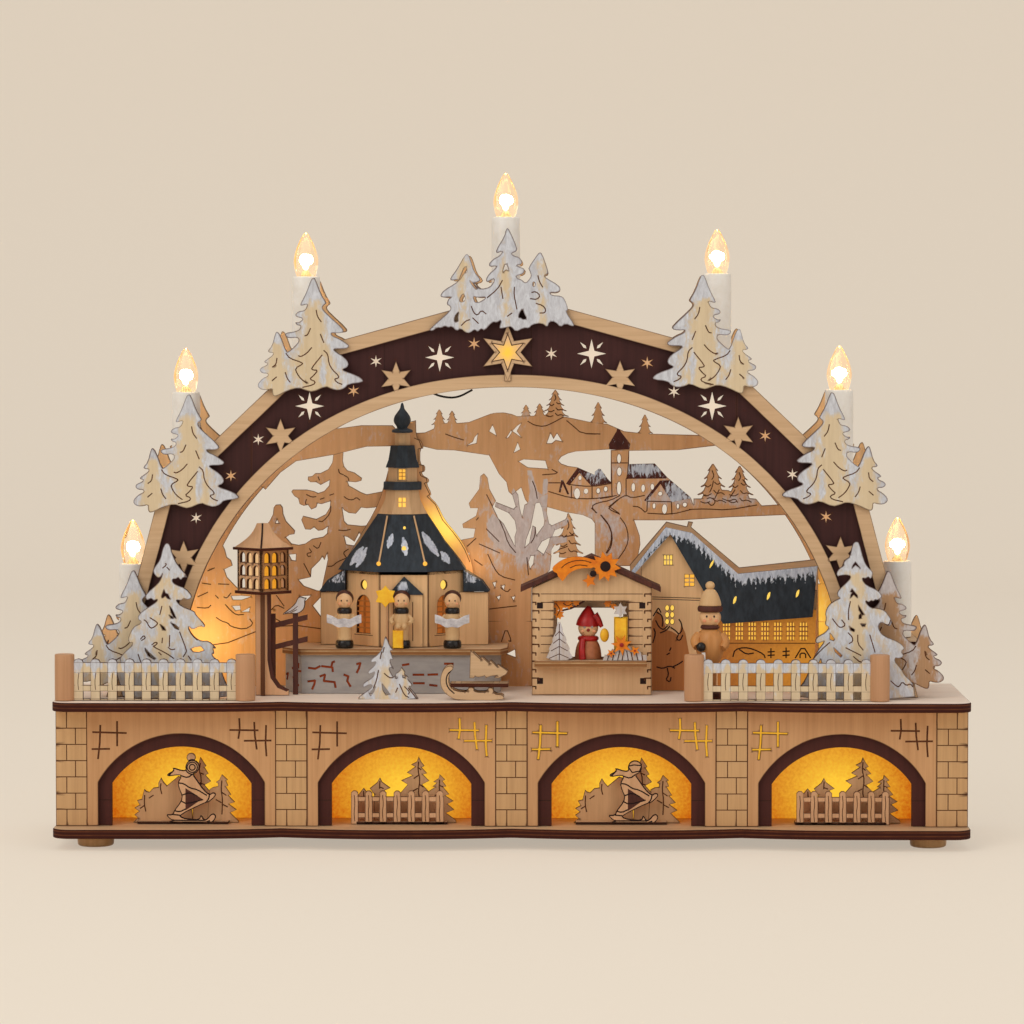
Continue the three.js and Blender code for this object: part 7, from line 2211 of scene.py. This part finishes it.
nicheScenes = {
    "aside": (0.0, 0.0, 2.6, 4.4),  # the last two scenes stand a little to the right in their bays
    "low": floorZ + 0.3, "rearDepth": -35.4, "frontDepth": -44.4,
    "picket": 4.6, "pitch": 9.35, "height": 22.4,
    "baseBoard": (-33.5, 61.2, 18.2),  # left end, length, height
    "openings": ((0.4, 4.3), (7.6, 15.0)), "seam": pairs(2.4, 2, 1.9, 8, 2.6, 13, 2.1, 19),
    "strip": (30, -44.4, -32.4, 1.6),  # half width, front, back and thickness
    "skierTrees": [
        (80, 1060, 150, 955, 100, 908, 165, 862, 100, 815, 172, 775, 138, 712, 200, 695, 235, 560, 262,
         585, 300, 600, 360, 540, 430, 530, 430, 470, 465, 400, 500, 460, 545, 510, 700, 380, 860, 430,
         900, 1100, 80, 1100),
        (1005, 115, 1085, 240, 1062, 258, 1115, 345, 1075, 365, 1150, 450, 1060, 500, 1180, 640, 1200,
         1100, 900, 1100, 900, 400, 960, 280),
        (1300, 355, 1380, 430, 1355, 440, 1385, 510, 1350, 520, 1425, 635, 1385, 640, 1475, 735, 1390,
         760, 1500, 840, 1410, 880, 1530, 1000, 1530, 1100, 1100, 1100, 1130, 560, 1180, 530, 1245, 520,
         1250, 480, 1220, 460, 1265, 430),
    ],
    "skierTreeLines": [
        (1005, 200, 990, 300, 1020, 400, 1010, 560), (1000, 330, 1050, 350), (1000, 470, 1060, 490),
        (1010, 600, 1080, 640), (1300, 440, 1290, 560, 1310, 700, 1300, 900), (1300, 600, 1360, 640),
        (1300, 760, 1380, 800), (1220, 700, 1290, 740), (465, 480, 455, 540, 475, 620),
        (240, 640, 235, 760, 255, 860), (240, 780, 180, 820), (300, 680, 360, 640),
    ],
    "figure": (270, 1085, 1060, 1085, 1140, 1030, 1200, 985, 1222, 930, 1190, 890, 1140, 905, 1110, 950,
               1060, 985, 1010, 900, 985, 975, 860, 965, 760, 950, 720, 915, 1080, 740, 1110, 745, 1215,
               655, 1215, 610, 1170, 600, 1130, 630, 1050, 560, 960, 430, 905, 350, 960, 330, 1000, 260,
               975, 180, 900, 148, 830, 175, 800, 235, 810, 290, 760, 300, 620, 255, 640, 300, 545, 350,
               560, 385, 680, 365, 745, 370, 690, 470, 715, 570, 750, 640, 740, 720, 640, 850, 625, 905,
               520, 905, 600, 985, 640, 985),
    "head": (895, 255, 95, 70, 40),
    "figurePaint": [(800, 540, 1030, 690, 800, 850),
                    (720, 920, 1080, 760, 1210, 730, 1180, 800, 1090, 870, 1010, 900, 980, 960, 780,
                     960)],
    "figureLines": [
        (745, 372, 830, 400, 900, 350), (700, 470, 780, 480, 860, 540, 960, 560, 1090, 640),
        (750, 640, 860, 600, 960, 650), (740, 720, 820, 760, 1040, 700), (625, 905, 720, 915),
        (640, 985, 860, 985, 1060, 985), (560, 385, 600, 340, 640, 300),
        (1130, 630, 1120, 690, 1080, 740), (640, 850, 720, 870, 800, 830),
        (300, 1040, 1000, 1040, 1130, 990),
    ],
    "bobble": (880, 120, 62),
    "picketTrees": [
        (430, 370, 460, 430, 575, 515, 500, 545, 480, 600, 480, 1100, 360, 1100, 350, 600, 290, 520, 390,
         440),
        (205, 515, 290, 620, 290, 1100, 120, 1100, 130, 610),
        (965, 80, 1000, 150, 1045, 210, 1005, 230, 1080, 310, 1020, 325, 1110, 415, 1010, 465, 1100, 560,
         1130, 620, 1130, 1100, 700, 1100, 700, 600, 815, 465, 725, 410, 885, 340, 805, 300, 920, 220,
         865, 190, 940, 150),
        (1255, 325, 1330, 400, 1290, 415, 1345, 490, 1300, 500, 1385, 600, 1330, 620, 1445, 695, 1360,
         735, 1455, 815, 1340, 860, 1480, 960, 1485, 1100, 1090, 1100, 1090, 570, 1200, 500, 1160, 495,
         1220, 440, 1170, 430, 1245, 380),
        (130, 640, 1320, 640, 1320, 1100, 130, 1100),
    ],
    "picketTreeLines": [
        (965, 150, 955, 260, 985, 400, 960, 560, 975, 640), (960, 230, 1000, 260), (960, 340, 900, 380),
        (975, 460, 1030, 500), (950, 520, 860, 570), (1255, 400, 1250, 520, 1270, 640),
        (1260, 480, 1310, 500), (1255, 580, 1190, 620), (430, 420, 425, 520), (425, 500, 480, 520),
        (205, 560, 210, 640),
    ],
}


def picketFence(left, length, low, high):
    # a base board under narrow pickets; the wide gaps stay open above it and in a row near the ground
    width, pitch = nicheScenes["picket"], nicheScenes["pitch"]
    count = int(length // pitch) + 1
    places = left + np.arange(count) * pitch
    tall = nicheScenes["height"]
    pickets = [moved(pairs(0, 0, width, 0, width, tall - 1.6, width * 0.7, tall - 0.3, width * 0.3,
                           tall - 0.3, 0, tall - 1.6), x, low) for x in places]
    gaps = [rectangle(x + width + 0.2, low + foot, min(x + pitch - 0.2, left + length - 0.6), low + top)
            for x in places[:-1] for foot, top in nicheScenes["openings"]]
    seams = [nicheScenes["seam"] + (x, low) for x in places]
    return [rectangle(left, low, left + length, low + high), *pickets], gaps, strokes(seams, 0.5, 1)


def buildNiches():
    low, rear, front = nicheScenes["low"], nicheScenes["rearDepth"], nicheScenes["frontDepth"]
    half, near, far, thick = nicheScenes["strip"]
    for number, middle in enumerate(bays, 1):
        kind, view, first = ("skier", "skier", bays[0]) if number % 2 else ("picket", "pickets", bays[1])
        shift = (middle - first + nicheScenes["aside"][number - 1], 0)
        trees = [clipped(seen(view, rear, *numbers) + shift, low)
                 for numbers in nicheScenes[kind + "Trees"]]
        lines = [seen(view, rear, *numbers) + shift for numbers in nicheScenes[kind + "TreeLines"]]
        parts = [flatBoard(trees, grooves=strokes(lines, 0.8, 1), place=standing(rear), thick=2.4, rim=0.5,
                           face="sceneWood")]
        if kind == "picket":
            left, length, high = nicheScenes["baseBoard"]
            pickets = picketFence(bays[1] + left + shift[0], length, low, high)
            parts.append(flatBoard(*pickets, place=standing(front), thick=2.0, rim=0.5, face="figureWood"))
        else:
            parts.append(skierBoard(shift, number == 1))
        strip = flatBoard([rectangle(middle - half, near, middle + half, far)], place=lying(low + thick),
                          thick=thick, rim=0.3)
        makePiece(f"nicheScene_{number}", [*parts, strip], [f"niche_scene_{number}"])


def skierBoard(shift, bobbled):
    # a bent skier with one arm back and one forward; its stained parts are painted brown
    low, front = nicheScenes["low"], nicheScenes["frontDepth"]

    def read(numbers):
        return seen("skier", front, *numbers) + shift
    u, v, *sizes = nicheScenes["head"]
    (x, z), (right, _) = read((u, v, u + sizes[0], v))
    step = (right - x) / sizes[0]
    rings = [ellipse(x, z, size * step, size * step, 28) for size in sizes]
    solids = [clipped(smooth(read(nicheScenes["figure"]), 1), low), rings[0]]
    if bobbled:
        u, v, size = nicheScenes["bobble"]
        (x, z), = read((u, v))
        solids.append(ellipse(x, z, size * step, size * step, 16))
    # the burnt line along the body's edge, then the lines inside; only the bobbled cap shows its rings
    lines = strokes([np.vstack([solids[0], solids[0][:1]])], 1.3, 0)
    lines += strokes([read(numbers) for numbers in nicheScenes["figureLines"]], 0.9)
    inner = rings if bobbled else [read((800, 235, 880, 215, 990, 225, 960, 300, 860, 320))]
    lines += strokes([np.vstack([ring, ring[:1]]) for ring in inner], 0.8, 0)
    paints = [("timber", read(numbers)) for numbers in nicheScenes["figurePaint"]]
    return flatBoard(solids, (), lines, paints, standing(front), thick=2.0, rim=0.7, face="figureWood",
                     groove="scorchDark")


buildNiches()
print("niche scenes done")


studio = {
    "colour": "#f6e9d7", "plainShare": 0.55,
    "floorFront": -1.9, "floorBack": 2.5, "bend": 0.7, "height": 3.2, "half": 4.5,
    "world": 0.5, "worldColour": (1.0, 0.97, 0.93), "aim": (0.0, 0.0, 0.2),
    "lamps": [  # name, place, size, watts, colour
        ("keyLamp", (-1.5, -2.0, 1.9), 1.8, 26.0, (1.0, 0.965, 0.91)),
        ("fillLamp", (1.9, -1.9, 1.2), 2.0, 10.0, (1.0, 0.97, 0.93)),
        ("topLamp", (0.0, -0.2, 2.3), 1.6, 8.0, (1.0, 0.98, 0.95)),
    ],
    "glows": [  # name, place in mm, radius, watts: lamps of the object itself
        ("glowChurch", (-30.0, 40.0, 178.0), 0.012, 0.012),
        ("glowLeft", (-212.0, 34.0, 130.0), 0.016, 0.03),
        ("glowHouse", (165.0, 27.0, 118.0), 0.012, 0.03),
    ],
    "glowColour": (1.0, 0.62, 0.25), "bulbGlow": (11, 0.004, 0.05),  # height, radius, watts
}


def stageFinish(colour, plainShare):
    # matt paper; where the camera, a gloss or glass sees it, part of it is its own plain colour
    w = Wiring("paper", 0.9, 0.1)
    w.shader.inputs["Base Color"].default_value = tint(colour)
    path = w.node("ShaderNodeLightPath").outputs
    seenBy = w.math("MAXIMUM", path["Is Camera Ray"], path["Is Glossy Ray"])
    share = w.math("MULTIPLY", w.math("MAXIMUM", seenBy, path["Is Transmission Ray"]), plainShare)
    plain = w.node("ShaderNodeEmission", {"Color": colour, "Strength": 0.9}).outputs[0]
    mixed = w.node("ShaderNodeMixShader", {0: share, 1: w.shader.outputs[0], 2: plain}).outputs[0]
    w.feed(w.tree.nodes["Material Output"].inputs["Surface"], mixed)
    return w.material


def buildStage():
    # floor and wall are one sheet: flat, a quarter bend, then upright
    bend, back = studio["bend"], studio["floorBack"]
    angle = np.linspace(0, np.pi / 2, 24)
    y = np.concatenate([[studio["floorFront"]], back + bend * np.sin(angle), [back + bend]])
    z = np.concatenate([[0.0], bend * (1 - np.cos(angle)), [studio["height"]]])
    points = [(x, *place) for place in zip(y, z) for x in (-studio["half"], studio["half"])]
    index = np.arange(len(points)).reshape(-1, 2)
    quads = np.stack([index[:-1, 0], index[:-1, 1], index[1:, 1], index[1:, 0]], 1)
    mesh = bpy.data.meshes.new("paperSweep")
    mesh.from_pydata(points, [], quads.tolist())
    mesh.polygons.foreach_set("use_smooth", np.ones(len(quads), bool))
    mesh.materials.append(stageFinish(studio["colour"], studio["plainShare"]))
    sweep = bpy.data.objects.new("paperSweep", mesh)
    bpy.context.collection.objects.link(sweep)


def addLamp(name, kind, place, watts, colour, **sizes):
    lamp = bpy.data.lights.new(name, kind)
    lamp.energy = watts
    lamp.color = colour
    for key, value in sizes.items():
        setattr(lamp, key, value)
    holder = bpy.data.objects.new(name, lamp)
    holder.location = place
    bpy.context.collection.objects.link(holder)
    return holder


def buildLight():
    world = bpy.data.worlds.new("softRoom")
    bpy.context.scene.world = world
    world.use_nodes = True
    background = world.node_tree.nodes["Background"]
    background.inputs["Color"].default_value = (*studio["worldColour"], 1.0)
    background.inputs["Strength"].default_value = studio["world"]
    for name, place, size, watts, colour in studio["lamps"]:
        holder = addLamp(name, "AREA", place, watts, colour, size=size)
        holder.rotation_euler = (Vector(studio["aim"]) - Vector(place)).to_track_quat("-Z", "Y").to_euler()
    rise, *bulbLight = studio["bulbGlow"]
    glows = studio["glows"] + [(f"glowBulb_{number}", (x, candle["y"], deckZ + top + rise), *bulbLight)
                               for number, (x, top) in enumerate(candlePlaces, 1)]
    for name, place, radius, watts in glows:
        addLamp(name, "POINT", Vector(place) * mm, watts, studio["glowColour"], shadow_soft_size=radius)
    bpy.context.scene.view_settings.view_transform = "Standard"


buildStage()
buildLight()
print("stage and light done")
